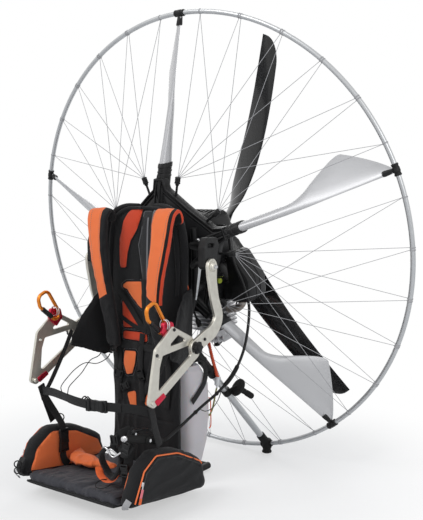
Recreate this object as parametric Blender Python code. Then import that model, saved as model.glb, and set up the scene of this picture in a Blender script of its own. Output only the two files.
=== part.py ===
"""A foot-launched paramotor: hoop cage, twisted arms, open engine, propeller and harness.

Metres, +Z up. +X is the pilot's left, +Y is behind the pilot. The floor is at z = 0.
"""
import math

import bmesh
import bpy
import numpy as np
from mathutils import Matrix, Vector

for old in list(bpy.data.objects):
    bpy.data.objects.remove(old, do_unlink=True)

# Clearances
SEAT_GAP = 0.0003        # between pieces that touch
SHAFT_GAP = 0.0005       # around a turning shaft
SWING_GAP = 0.0008       # beside a swinging arm, at its pivot

# Cage: a hoop that leans forward over the pilot, on the propeller's axis
HOOP_RADIUS = 0.700
HOOP_TUBE = 0.0072
HOOP_Y = 0.210
HOOP_LEAN = math.radians(10.37)
HOOP_FLOOR_GAP = 0.012   # from the lowest tube centre to the floor
AXIS_LOWEST = 0.7005     # the star frame and the legs clear the tank at this height
HOOP_Z = max(AXIS_LOWEST, HOOP_RADIUS * math.cos(HOOP_LEAN) + HOOP_FLOOR_GAP)
ARM_COUNT = 5
FIRST_ARM = math.radians(90)
ARM_STEP = 2 * math.pi / ARM_COUNT
CLIP_RADIUS = 0.0105
CLIP_LENGTH = 0.034

# Arms: their spars run from the sockets of the star frame back to the hoop
SOCKET_END = 0.272       # radius where the socket stops and the arm begins
SOCKET_START = 0.185
ARM_ROOT_Y = -0.150      # the spar's place along the axis, at the socket's end
ARM_ROOT_CHORD = 0.044
ARM_ROOT_THICK = 0.027
ARM_TIP_CHORD = 0.016
ARM_TIP_THICK = 0.012
PADDLE_CHORD = 0.150
PADDLE_PEAK = 0.63       # share of the arm's length
PADDLE_START = 0.30
PADDLE_TWIST = math.radians(45)
SOCKET_WALL = 0.0035

# Star frame
STAR_THICK = 0.030
STAR_NECK = 0.172        # how near the concave edges come to the centre
STAR_SLOPE = (0.0 - ARM_ROOT_Y) / (HOOP_RADIUS - SOCKET_END)
STAR_Y = ARM_ROOT_Y - STAR_SLOPE * (SOCKET_END - SOCKET_START)

# Propeller
BLADE_COUNT = 3
FIRST_BLADE = math.radians(67.5)
PROP_Y = 0.105
PROP_RADIUS = 0.650
BLADE_CHORD = 0.092
BLADE_ROOT_CHORD = 0.056
BLADE_THICK = 0.016
BLADE_PITCH = 0.60       # metres for each turn
BLADE_SWEEP = 0.026
HUB_RADIUS = 0.046
HUB_LENGTH = 0.030
SHAFT_RADIUS = 0.010
SHAFT_LENGTH = 0.030

# Engine
ENGINE_X = 0.045
CRANK_DROP = 0.115
CASE_RADIUS = 0.058
CASE_FRONT = -0.118
CASE_BACK = 0.006
DRIVE_TOP_RADIUS = 0.066
DRIVE_LOW_RADIUS = 0.046
DRIVE_THICK = 0.040
NOSE_RADIUS = 0.030
CYLINDER_RADIUS = 0.058
CYLINDER_CORE = 0.040
CYLINDER_Y = -0.056
CYLINDER_TOP = CRANK_DROP + CASE_RADIUS + 0.004   # below the propeller's axis
CYLINDER_LENGTH = 0.094
FIN_COUNT = 7
FIN_THICK = 0.0045
HEAD_LENGTH = 0.042
HEAD_RADIUS = 0.050
AIRBOX_TOP = 0.106
STARTER_RADIUS = 0.024
STARTER_GAP = 0.030      # from the crankcase to the starter's axis
CARB_CLEARANCE = 0.0057  # between the carburettor and the starter
SILENCER_X = 0.168
SILENCER_DROP = 0.098
SILENCER_HALF = (0.040, 0.052, 0.078)

# Swinging arms, brackets and what hangs from them, as seen from the side
ARM_X = 0.2315
S_ARM_THICK = 0.010
PIVOT = (-0.071, 0.648)
S_ARM_LINE = (PIVOT, (-0.069, 0.613), (-0.057, 0.556), (-0.040, 0.505), (-0.062, 0.470),
              (-0.105, 0.452), (-0.150, 0.434))
S_ARM_BOSS = 0.022
BRACKET_THICK = 0.008
BRACKET_X = ARM_X - S_ARM_THICK / 2 - SEAT_GAP - BRACKET_THICK / 2
BRACKET_TOP = (-0.235, 0.503)
BRACKET_BACK = (-0.150, 0.462)
BRACKET_HEEL = (-0.110, 0.410)
BRACKET_LOW = (-0.312, 0.298)
BRACKET_TOE = (-0.336, 0.310)
BRACKET_MID = (-0.306, 0.450)
KNOB_PLACE = (-0.150, 0.434)
KNOB_RADIUS = 0.018
KNOB_THICK = 0.018
PIN_RADIUS = 0.0055
PIN_LENGTH = 0.018
HOOK_THICK = 0.010
HOOK_HOLE = (-0.246, 0.497)
HOOK_EYE = 0.0055
CARABINER_ROD = 0.0052

# Harness and what stands behind it
BACK_FRONT_Y = -0.096
BACK_TOP_Z = 0.820
BACK_LOW_Z = 0.030
BACK_HALF_WIDTH = 0.136
BACK_FLARE = 0.012
RAIL_RADIUS = 0.0105
RAIL_X = 0.098
RAIL_Y = -0.058
TANK_HALF_WIDTH = 0.130
TANK_BACK_Y = 0.082
TANK_TOP_Z = 0.346
SEAT_HALF_WIDTH = 0.170
SEAT_FRONT_Y = -0.404
SEAT_THICK = 0.036
SEAT_REAR_Z = 0.010
SEAT_FRONT_Z = 0.046
POCKET_THICK = 0.050
STRAP_THICK = 0.020
WEB_X = 0.205
WEB_THICK = 0.003
WEB_WIDTH = 0.025
LEG_RADIUS = 0.0105
FOOT_RADIUS = 0.016
FOOT_X = 0.162
FOOT_SECTION = 2         # the hoop section that both feet clip onto
BAR_Y, BAR_Z = -0.022, 0.458
LEG_ROOT = (0.0594, -0.0170, 0.4567)   # where a leg's line meets the upper cross-bar
SLEEVE_LENGTH = 0.222
PAD_HEIGHTS = (0.6918, 0.5738)
PRIMER_TILT = math.radians(52)

POCKET_CORNERS = ((-0.404, 0.056, 0.012), (-0.360, 0.150, 0.040), (-0.300, 0.186, 0.040),
                  (-0.200, 0.168, 0.080), (-0.086, 0.112, 0.050), (-0.064, 0.014, 0.020),
                  (-0.230, 0.026, 0.100))

# Throttle: a cable from the airbox, out behind the left arm and down to the handle
CABLE_RADIUS = 0.0042
GRIP_RADIUS = 0.0125
GRIP_X = 0.181
GRIP_REAR_Y = -0.248
CABLE_ROUTE = ((0.164, 0.107, 0.738), (0.1745, 0.0985, 0.706), (0.184, 0.0975, 0.665),
               (0.193, 0.105, 0.630), (0.203, 0.117, 0.596), (0.2105, 0.129, 0.558),
               (0.218, 0.140, 0.499), (0.226, 0.106, 0.400),
               (0.223, 0.057, 0.329), (0.208, 0.004, 0.281), (0.199, -0.082, 0.245),
               (0.187, -0.168, 0.203))


def material(name, colour, roughness, metallic=0.0):
    made = bpy.data.materials.new(name)
    made.use_nodes = True
    shader = made.node_tree.nodes["Principled BSDF"]
    shader.inputs["Base Color"].default_value = (*colour, 1.0)
    shader.inputs["Roughness"].default_value = roughness
    shader.inputs["Metallic"].default_value = metallic
    return made


SATIN_ALUMINIUM = material("satin aluminium", (0.52, 0.53, 0.54), 0.35, 0.9)
ARM_SILVER = material("silver arm paint", (0.49, 0.50, 0.51), 0.42, 0.6)
BLACK_CARBON = material("black moulded frame", (0.018, 0.018, 0.019), 0.35)
BLACK_GLOSS = material("gloss black blade", (0.010, 0.010, 0.011), 0.12)
BLACK_RUBBER = material("black rubber", (0.020, 0.020, 0.020), 0.75)
CAST_ALUMINIUM = material("cast aluminium", (0.42, 0.43, 0.44), 0.45, 0.9)
DARK_CASE = material("dark engine case", (0.035, 0.035, 0.037), 0.55, 0.4)
MACHINED = material("machined aluminium", (0.62, 0.60, 0.54), 0.30, 0.9)
RED_ANODISED = material("red anodised", (0.55, 0.02, 0.05), 0.30, 0.8)
AMBER_ANODISED = material("amber anodised", (0.70, 0.25, 0.03), 0.28, 0.8)
BLACK_FABRIC = material("black fabric", (0.018, 0.018, 0.021), 0.85)
ORANGE_FABRIC = material("orange fabric", (1.00, 0.22, 0.07), 0.80)
WEBBING = material("black webbing", (0.015, 0.015, 0.016), 0.80)
TANK_PLASTIC = material("milky tank plastic", (0.62, 0.60, 0.62), 0.40)

# Frames that pieces are modelled in
cage = bpy.data.objects.new("cage_frame", None)
bpy.context.scene.collection.objects.link(cage)
cage.location = (0, HOOP_Y, HOOP_Z)
cage.rotation_euler = (HOOP_LEAN, 0, 0)
prop_axis = bpy.data.objects.new("prop_axis", None)
bpy.context.scene.collection.objects.link(prop_axis)
prop_axis.parent = cage
prop_axis.location = (0, PROP_Y, 0)


def world_of_cage(point):
    turn = Matrix.Translation((0, HOOP_Y, HOOP_Z)) @ Matrix.Rotation(HOOP_LEAN, 4, "X")
    return turn @ Vector(point)


def cage_of_world(point):
    turn = Matrix.Translation((0, HOOP_Y, HOOP_Z)) @ Matrix.Rotation(HOOP_LEAN, 4, "X")
    return turn.inverted() @ Vector(point)


def new_object(name, mesh, finish, parent=None, location=(0, 0, 0)):
    made = bpy.data.objects.new(name, mesh)
    bpy.context.scene.collection.objects.link(made)
    made.data.materials.clear()
    made.data.materials.append(finish)
    made.parent = parent
    made.location = location
    return made


def finish_mesh(bm, name):
    bmesh.ops.recalc_face_normals(bm, faces=bm.faces)
    mesh = bpy.data.meshes.new(name)
    bm.to_mesh(mesh)
    bm.free()
    mesh.shade_smooth()
    mesh.set_sharp_from_angle(angle=math.radians(35))
    return mesh


def loft(name, rings, closed=False):
    """A solid skin through rings of the same number of points, with flat ends unless closed."""
    bm = bmesh.new()
    rows = [[bm.verts.new(point) for point in ring] for ring in rings]
    pairs = list(zip(rows, rows[1:]))
    if closed:
        pairs.append((rows[-1], rows[0]))
    for low, high in pairs:
        for k in range(len(low)):
            after = (k + 1) % len(low)
            bm.faces.new((low[k], low[after], high[after], high[k]))
    if not closed:
        bm.faces.new(rows[0][::-1])
        bm.faces.new(rows[-1])
    return finish_mesh(bm, name)


def ring_points(centre, side, up, half_side, half_up, sides, power=2.0):
    """A superellipse of points round a centre, in the plane of two unit vectors."""
    centre, side, up = Vector(centre), Vector(side), Vector(up)
    points = []
    for k in range(sides):
        a = 2 * math.pi * k / sides
        c, s = math.cos(a), math.sin(a)
        u = math.copysign(abs(c) ** (2 / power), c) * half_side
        v = math.copysign(abs(s) ** (2 / power), s) * half_up
        points.append(centre + side * u + up * v)
    return points


def smooth_path(points, count):
    """Evenly placed points on a smooth curve through the given ones."""
    pts = [Vector(p) for p in points]
    pts = [pts[0] * 2 - pts[1]] + pts + [pts[-1] * 2 - pts[-2]]
    fine = []
    for i in range(1, len(pts) - 2):
        a, b, c, d = pts[i - 1:i + 3]
        for k in range(24):
            t = k / 24
            fine.append(0.5 * ((2 * b) + (c - a) * t + (2 * a - 5 * b + 4 * c - d) * t * t
                               + (3 * b - a - 3 * c + d) * t ** 3))
    fine.append(pts[-2])
    steps = [0.0]
    for p, q in zip(fine, fine[1:]):
        steps.append(steps[-1] + (q - p).length)
    wanted = np.linspace(0, steps[-1], count)
    return [Vector([float(np.interp(w, steps, [p[axis] for p in fine])) for axis in range(3)])
            for w in wanted]


def frames_along(path, first_side):
    """A side and an up vector at each point of a path, carried along it without twist."""
    frames = []
    side = Vector(first_side)
    for k, point in enumerate(path):
        ahead = path[min(k + 1, len(path) - 1)] - path[max(k - 1, 0)]
        ahead.normalize()
        side = (side - ahead * side.dot(ahead)).normalized()
        frames.append((point, side, ahead.cross(side)))
    return frames


def tube(name, points, radius, count, sides=10, first_side=(1, 0, 0)):
    path = smooth_path(points, count) if len(points) > 2 else [Vector(p) for p in points]
    rings = [ring_points(p, side, up, radius, radius, sides)
             for p, side, up in frames_along(path, first_side)]
    return loft(name, rings)


def strip(name, points, half_width, half_thick, count, sides=10, first_side=(1, 0, 0)):
    """A padded strip of rounded section; its half width may be a pair, from start to end."""
    start, end = half_width if isinstance(half_width, tuple) else (half_width, half_width)
    path = smooth_path(points, count)
    rings = []
    for k, (p, side, up) in enumerate(frames_along(path, first_side)):
        share = k / (count - 1)
        rings.append(ring_points(p, side, up, start + (end - start) * share, half_thick, sides, 3.0))
    return loft(name, rings)


def turned(name, profile, sides, axis="Z"):
    """A solid of revolution from (radius, height) pairs, low end first."""
    rings = [[Vector((r * math.cos(2 * math.pi * k / sides), r * math.sin(2 * math.pi * k / sides), h))
              for k in range(sides)] for r, h in profile]
    mesh = loft(name, rings)
    if axis == "Y":
        mesh.transform(Matrix.Rotation(math.radians(-90), 4, "X"))
    if axis == "X":
        mesh.transform(Matrix.Rotation(math.radians(90), 4, "Y"))
    return mesh


def plate(name, outline, thick, bevel, axes="XZ"):
    """A flat plate with chamfered rims; outline points lie in the plane of two axes."""
    normal = {"XZ": 1, "YZ": 0, "XY": 2}[axes]
    first, second = ("XYZ".index(axes[0]), "XYZ".index(axes[1]))
    bm = bmesh.new()
    rings = []
    for inset, height in ((bevel, -thick / 2), (0, bevel - thick / 2), (0, thick / 2 - bevel),
                          (bevel, thick / 2)):
        ring = []
        for p in inset_outline(outline, inset):
            place = [0.0, 0.0, 0.0]
            place[first], place[second], place[normal] = p[0], p[1], height
            ring.append(bm.verts.new(place))
        rings.append(ring)
    for low, high in zip(rings, rings[1:]):
        for k in range(len(low)):
            after = (k + 1) % len(low)
            bm.faces.new((low[k], low[after], high[after], high[k]))
    bm.faces.new(rings[0][::-1])
    bm.faces.new(rings[-1])
    return finish_mesh(bm, name)


def inset_outline(outline, distance):
    """The outline moved inwards by a distance, corner by corner."""
    if distance == 0:
        return list(outline)
    turn = sum(p[0] * q[1] - q[0] * p[1] for p, q in zip(outline, outline[1:] + outline[:1]))
    inward = 1 if turn > 0 else -1
    moved = []
    for before, here, after in zip(outline[-1:] + outline[:-1], outline, outline[1:] + outline[:1]):
        one = Vector((here[0] - before[0], here[1] - before[1])).normalized()
        two = Vector((after[0] - here[0], after[1] - here[1])).normalized()
        out = Vector((-one.y - two.y, one.x + two.x)).normalized() * inward
        stretch = 1 / max(0.4, math.sqrt(max(0.0, (1 + one.dot(two)) / 2)))
        moved.append((here[0] + out.x * distance * stretch, here[1] + out.y * distance * stretch))
    return moved


def rounded(corners, steps=4):
    """An outline of (x, y, radius) corners, each rounded by an arc."""
    outline = []
    for k, (x, y, radius) in enumerate(corners):
        here = Vector((x, y))
        before = Vector(corners[k - 1][:2])
        after = Vector(corners[(k + 1) % len(corners)][:2])
        one, two = (before - here).normalized(), (after - here).normalized()
        half = one.angle(two) / 2
        reach = min(radius / math.tan(half), 0.48 * (before - here).length, 0.48 * (after - here).length)
        start, end = here + one * reach, here + two * reach
        bow = reach * math.tan(half)
        middle = here + (one + two).normalized() * (reach / math.cos(half))
        a0 = math.atan2(start.y - middle.y, start.x - middle.x)
        a1 = math.atan2(end.y - middle.y, end.x - middle.x)
        sweep = (a1 - a0 + math.pi) % (2 * math.pi) - math.pi
        for step in range(steps + 1):
            a = a0 + sweep * step / steps
            outline.append((middle.x + bow * math.cos(a), middle.y + bow * math.sin(a)))
    return outline


def combine(target, tools, operation="UNION"):
    """Join or cut solids for good, so that one closed body is left."""
    for tool in tools:
        cut = target.modifiers.new(operation.lower(), "BOOLEAN")
        cut.operation = operation
        cut.solver = "EXACT"
        cut.object = tool
        bpy.context.view_layer.update()
        seen = target.evaluated_get(bpy.context.evaluated_depsgraph_get())
        mesh = bpy.data.meshes.new_from_object(seen)
        target.modifiers.remove(cut)
        target.data = mesh
        bpy.data.objects.remove(tool, do_unlink=True)
    bm = bmesh.new()
    bm.from_mesh(target.data)
    bmesh.ops.remove_doubles(bm, verts=bm.verts, dist=1e-6)
    bmesh.ops.dissolve_degenerate(bm, edges=bm.edges, dist=1e-6)
    bm.to_mesh(target.data)
    bm.free()
    target.data.set_sharp_from_angle(angle=math.radians(35))
    return target


def hoop_point(angle, y=0.0):
    return Vector((HOOP_RADIUS * math.cos(angle), y, HOOP_RADIUS * math.sin(angle)))


def hoop_rings(k, grow=0.0):
    """Rings of one hoop section, with its clip first; grow widens them evenly."""
    start = FIRST_ARM + k * ARM_STEP
    half_clip = CLIP_LENGTH / 2 / HOOP_RADIUS
    gap = SEAT_GAP / 2 / HOOP_RADIUS
    first, last = start - half_clip + gap, start + ARM_STEP - half_clip - gap
    places = [(first + 2 * half_clip * s, CLIP_RADIUS * (0.85 if s in (0.0, 1.0) else 1.0))
              for s in (0.0, 0.02, 0.98, 1.0)]
    places += [(first + 2 * half_clip + (last - first - 2 * half_clip) * s, HOOP_TUBE)
               for s in np.linspace(0.0005, 1, 12)]
    wide = grow / math.cos(math.pi / 8)
    return [ring_points(hoop_point(angle), (math.cos(angle), 0, math.sin(angle)), (0, 1, 0),
                        radius + wide, radius + wide, 8) for angle, radius in places]


def make_hoop():
    for k in range(ARM_COUNT):
        new_object(f"hoop_section_{k + 1}", loft("hoop section", hoop_rings(k)), SATIN_ALUMINIUM, cage)


def section(blunt, count):
    """Points (share of the chord, share of half the thickness) from oval to aerofoil."""
    points = []
    for k in range(count):
        a = 2 * math.pi * k / count
        x = (1 - math.cos(a)) / 2
        wing = math.copysign(1.75 * math.sqrt(x) * (1 - min(x, 1)) ** 0.8, math.sin(a))
        points.append((x, math.sin(a) * blunt + wing * (1 - blunt)))
    return points


def arm_rings(angle):
    outward = Vector((math.cos(angle), 0, math.sin(angle)))
    across = Vector((-math.sin(angle), 0, math.cos(angle)))
    end = HOOP_RADIUS - CLIP_RADIUS - 1.5 * SEAT_GAP
    rings = []
    for share in np.linspace(0, 1, 12):
        radius = SOCKET_END + (end - SOCKET_END) * share
        y = ARM_ROOT_Y * (1 - share)
        rise = min(1.0, max(0.0, (share - PADDLE_START) / (PADDLE_PEAK - PADDLE_START)))
        rise = rise * rise * (3 - 2 * rise)
        fall = min(1.0, max(0.0, (share - PADDLE_PEAK) / (1 - PADDLE_PEAK)))
        slim = ARM_ROOT_CHORD * (1 - share) * 0.75 + ARM_TIP_CHORD
        chord = slim + (PADDLE_CHORD - slim) * rise * (1 - fall) ** 0.9
        thick = ARM_TIP_THICK + (ARM_ROOT_THICK - ARM_TIP_THICK) * (1 - share)
        twist = math.pi / 2 + (PADDLE_TWIST - math.pi / 2) * min(1.0, share / 0.45)
        along = across * math.cos(twist) + Vector((0, 1, 0)) * math.sin(twist)
        flat = across * math.sin(twist) - Vector((0, 1, 0)) * math.cos(twist)
        blunt = max(0.0, 1 - rise * 1.2) if share < PADDLE_PEAK else max(0.0, (fall - 0.75) * 4)
        rings.append([outward * radius + Vector((0, y, 0)) + flat * lift * thick / 2
                      + along * (x * chord - slim / 2) for x, lift in section(blunt, 12)])
    return rings


def make_arms():
    for k in range(ARM_COUNT):
        angle = FIRST_ARM + k * ARM_STEP
        new_object(f"cage_arm_{k + 1}", loft("cage arm", arm_rings(angle)), ARM_SILVER, cage)


def make_star():
    outline = []
    for k in range(ARM_COUNT):
        angle = FIRST_ARM + k * ARM_STEP
        half = ARM_ROOT_THICK / 2 + SOCKET_WALL
        for radius, side in ((SOCKET_START + 0.045, -1), (SOCKET_START + 0.045, 1)):
            outline.append((radius * math.cos(angle) - side * half * math.sin(angle),
                            radius * math.sin(angle) + side * half * math.cos(angle)))
        for share in (0.12, 0.30, 0.5, 0.70, 0.88):
            dip = STAR_NECK + (SOCKET_START + 0.03 - STAR_NECK) * abs(2 * share - 1) ** 2
            a = angle + ARM_STEP * share
            outline.append((dip * math.cos(a), dip * math.sin(a)))
    star = new_object("star_frame", plate("star", outline, STAR_THICK, 0.006), BLACK_CARBON, cage,
                      (0, STAR_Y, 0))
    tools = []
    for k in range(ARM_COUNT):
        angle = FIRST_ARM + k * ARM_STEP
        outward = Vector((math.cos(angle), 0, math.sin(angle)))
        across = Vector((-math.sin(angle), 0, math.cos(angle)))
        rings = []
        for radius, grow in ((SOCKET_START - 0.03, 0.6), (SOCKET_START + 0.01, 1.0),
                             (SOCKET_END - SEAT_GAP, 1.0)):
            y = ARM_ROOT_Y - STAR_SLOPE * (SOCKET_END - radius)
            rings.append(ring_points(outward * radius + Vector((0, y, 0)), across, (0, 1, 0),
                                     (ARM_ROOT_THICK / 2 + SOCKET_WALL) * grow,
                                     (ARM_ROOT_CHORD / 2 + SOCKET_WALL) * grow, 12))
        tools.append(new_object(f"socket {k}", loft("socket", rings), BLACK_CARBON, cage))
    combine(star, tools)


def make_propeller():
    end = HUB_LENGTH / 2
    shaft = SHAFT_RADIUS - SHAFT_GAP
    hub = turned("hub", [(shaft, -end - SHAFT_LENGTH), (shaft, -end), (HUB_RADIUS, -end),
                         (HUB_RADIUS, -end + 0.008), (HUB_RADIUS * 0.9, -end + 0.009),
                         (HUB_RADIUS * 0.9, end - 0.004), (HUB_RADIUS * 0.8, end),
                         (HUB_RADIUS * 0.35, end + 0.004)], 16, "Y")
    new_object("prop_hub", hub, BLACK_GLOSS, prop_axis)
    for k in range(BLADE_COUNT):
        angle = FIRST_BLADE - k * 2 * math.pi / BLADE_COUNT
        new_object(f"prop_blade_{k + 1}", loft("blade", blade_rings(angle)), BLACK_GLOSS, prop_axis)


def blade_rings(angle):
    """Aerofoil sections from the hub out; the leading edge is on the clockwise side."""
    outward = Vector((math.cos(angle), 0, math.sin(angle)))
    across = Vector((-math.sin(angle), 0, math.cos(angle)))
    rings = []
    root = HUB_RADIUS + SEAT_GAP
    for share in (0.0, 0.06, 0.14, 0.26, 0.40, 0.54, 0.68, 0.80, 0.89, 0.95, 0.985, 1.0):
        radius = root + (PROP_RADIUS - root) * share
        grow = min(1.0, share / 0.2)
        chord = BLADE_ROOT_CHORD + (BLADE_CHORD - BLADE_ROOT_CHORD) * (grow * grow * (3 - 2 * grow))
        chord *= 1 - 0.28 * max(0.0, (share - 0.35) / 0.65)
        tip = max(0.0, (share - 0.88) / 0.12)
        lead_cut = chord * (1 - math.sqrt(max(0.0, 1 - tip * tip))) * 0.75
        pitch = math.atan(BLADE_PITCH / (2 * math.pi * max(radius, 0.09)))
        back = across * math.cos(pitch) + Vector((0, 1, 0)) * math.sin(pitch)
        flat = across * math.sin(pitch) - Vector((0, 1, 0)) * math.cos(pitch)
        thick = BLADE_THICK * (1 - 0.75 * share ** 0.7) + 0.010 * max(0.0, 1 - share / 0.10)
        bow = -BLADE_SWEEP * math.sin(math.pi * share ** 0.9)
        blunt = max(0.0, 1 - share / 0.08)
        rings.append([outward * radius + across * bow + flat * lift * thick / 2
                      + back * (lead_cut - chord / 2 + x * (chord - lead_cut))
                      for x, lift in section(blunt, 12)])
    return rings


def make_engine():
    centre = (ENGINE_X, 0, -CRANK_DROP)
    case = new_object("crankcase", turned("case", [
        (0.036, CASE_FRONT), (0.050, CASE_FRONT + 0.004), (0.050, CASE_FRONT + 0.020),
        (CASE_RADIUS, CASE_FRONT + 0.024), (CASE_RADIUS, CASE_BACK - 0.030),
        (0.051, CASE_BACK - 0.026), (0.051, CASE_BACK)], 20, "Y"), DARK_CASE, cage, centre)
    neck = ring_box((ENGINE_X, CYLINDER_Y, -(CRANK_DROP + CYLINDER_TOP) / 2),
                    (0.046, 0.046, (CYLINDER_TOP - CRANK_DROP) / 2), 0.010)
    tools = [new_object("neck", neck, DARK_CASE, cage)]
    for turn in (55, 125, 235, 305):
        a = math.radians(turn)
        lug = ring_box((ENGINE_X + 0.058 * math.cos(a), CASE_FRONT + 0.009,
                        -CRANK_DROP + 0.058 * math.sin(a)), (0.011, 0.009, 0.011), 0.0)
        tools.append(new_object("lug", lug, DARK_CASE, cage))
    combine(case, tools)

    mount_back = CASE_FRONT - SEAT_GAP
    star_back = STAR_Y + STAR_THICK / 2 + SEAT_GAP
    plate_thick = 0.006
    mount = new_object("engine_mount", plate("mount", rounded(
        [(-0.075, -0.185, 0.02), (0.105, -0.185, 0.02), (0.105, 0.050, 0.03), (-0.075, 0.050, 0.03)], 3),
        plate_thick, 0.001), DARK_CASE, cage, (0, mount_back - plate_thick / 2, 0))
    rubbers = []
    for x in (-0.055, 0.085):
        for z in (-0.160, 0.025):
            length = mount_back - plate_thick / 2 - star_back
            waist = turned("rubber", [(0.014, 0), (0.010, 0.010), (0.010, length - 0.010),
                                      (0.014, length)], 10, "Y")
            rubbers.append(new_object("rubber", waist, BLACK_RUBBER, cage, (x, star_back, z)))
    combine(mount, rubbers)

    profile = [(CYLINDER_CORE, 0.0)]
    pitch = CYLINDER_LENGTH / FIN_COUNT
    for k in range(FIN_COUNT):
        low = pitch * k + (pitch - FIN_THICK) / 2
        profile += [(CYLINDER_CORE, low), (CYLINDER_RADIUS, low + FIN_THICK * 0.2),
                    (CYLINDER_RADIUS, low + FIN_THICK * 0.8), (CYLINDER_CORE, low + FIN_THICK)]
    profile.append((CYLINDER_CORE, CYLINDER_LENGTH))
    new_object("cylinder", turned("cylinder", profile, 14), CAST_ALUMINIUM, cage,
               (ENGINE_X, CYLINDER_Y, -CYLINDER_TOP - CYLINDER_LENGTH - SEAT_GAP))

    head_top = -CYLINDER_TOP - CYLINDER_LENGTH - 2 * SEAT_GAP
    head = new_object("cylinder_head", turned("head", [
        (0.010, -HEAD_LENGTH - 0.022), (0.010, -HEAD_LENGTH - 0.002), (0.018, -HEAD_LENGTH),
        (HEAD_RADIUS * 0.8, -HEAD_LENGTH * 0.85), (HEAD_RADIUS, -HEAD_LENGTH * 0.5),
        (HEAD_RADIUS, -0.004), (HEAD_RADIUS - 0.004, 0.0)], 16), CAST_ALUMINIUM, cage,
        (ENGINE_X, CYLINDER_Y, head_top))
    grooves = []
    for k in range(-2, 3):
        slot = ring_box((ENGINE_X + k * 0.016, CYLINDER_Y, head_top - HEAD_LENGTH), (0.004, 0.07, 0.020), 0.0)
        grooves.append(new_object("groove", slot, CAST_ALUMINIUM, cage))
    combine(head, grooves, "DIFFERENCE")

    drive_y = CASE_BACK + SEAT_GAP + DRIVE_THICK / 2
    outline = belt_outline((0, 0), DRIVE_TOP_RADIUS, (ENGINE_X, -CRANK_DROP), DRIVE_LOW_RADIUS)
    drive = new_object("reduction_drive", plate("drive", outline, DRIVE_THICK, 0.004), DARK_CASE, cage,
                       (0, drive_y, 0))
    nose_end = PROP_Y - HUB_LENGTH / 2 - SHAFT_GAP
    nose_start = drive_y + DRIVE_THICK / 2 - 0.002
    nose = turned("nose", [(NOSE_RADIUS + 0.008, nose_start), (NOSE_RADIUS, nose_start + 0.008),
                           (NOSE_RADIUS, nose_end)], 20, "Y")
    combine(drive, [new_object("nose", nose, DARK_CASE, cage)])
    bore = turned("bore", [(SHAFT_RADIUS, nose_end - SHAFT_LENGTH - 0.002), (SHAFT_RADIUS, nose_end + 0.01)],
                  20, "Y")
    combine(drive, [new_object("bore", bore, DARK_CASE, cage)], "DIFFERENCE")

    box_y = (CASE_FRONT + CASE_BACK) / 2
    box_low = -CRANK_DROP + CASE_RADIUS + 0.006
    airbox = new_object("airbox", ring_box(
        (0.022, box_y, (box_low + AIRBOX_TOP) / 2),
        (0.100, (CASE_BACK - CASE_FRONT) / 2, (AIRBOX_TOP - box_low) / 2), 0.022), BLACK_CARBON, cage)
    ribs = [new_object("rib", ring_box((x, box_y, AIRBOX_TOP), (0.004, 0.052, 0.006), 0.0), BLACK_CARBON,
                       cage)
            for x in np.linspace(-0.050, 0.094, 7)]
    combine(airbox, ribs)


def ring_box(centre, half, radius, steps=2):
    """A box with rounded upright edges and chamfered rims."""
    x, y, z = half
    corners = [(x, y, radius), (-x, y, radius), (-x, -y, radius), (x, -y, radius)]
    outline = rounded(corners, steps) if radius else [(x, y), (-x, y), (-x, -y), (x, -y)]
    rim = min(radius * 0.4, z * 0.5)
    mesh = plate("box", outline, 2 * z, rim, "XY") if radius else plain_box(half)
    mesh.transform(Matrix.Translation(centre))
    return mesh


def plain_box(half):
    bm = bmesh.new()
    bmesh.ops.create_cube(bm, size=2)
    bmesh.ops.scale(bm, verts=bm.verts, vec=half)
    return finish_mesh(bm, "box")


def belt_outline(one, r1, two, r2, steps=9):
    """The outline round two pulleys."""
    gap = math.dist(one, two)
    lean = math.atan2(two[1] - one[1], two[0] - one[0])
    open_angle = math.acos((r1 - r2) / gap)
    points = []
    for k in range(steps + 1):
        a = lean + open_angle + (2 * math.pi - 2 * open_angle) * k / steps
        points.append((one[0] + r1 * math.cos(a), one[1] + r1 * math.sin(a)))
    for k in range(steps + 1):
        a = lean - open_angle + 2 * open_angle * k / steps
        points.append((two[0] + r2 * math.cos(a), two[1] + r2 * math.sin(a)))
    return points


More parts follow.
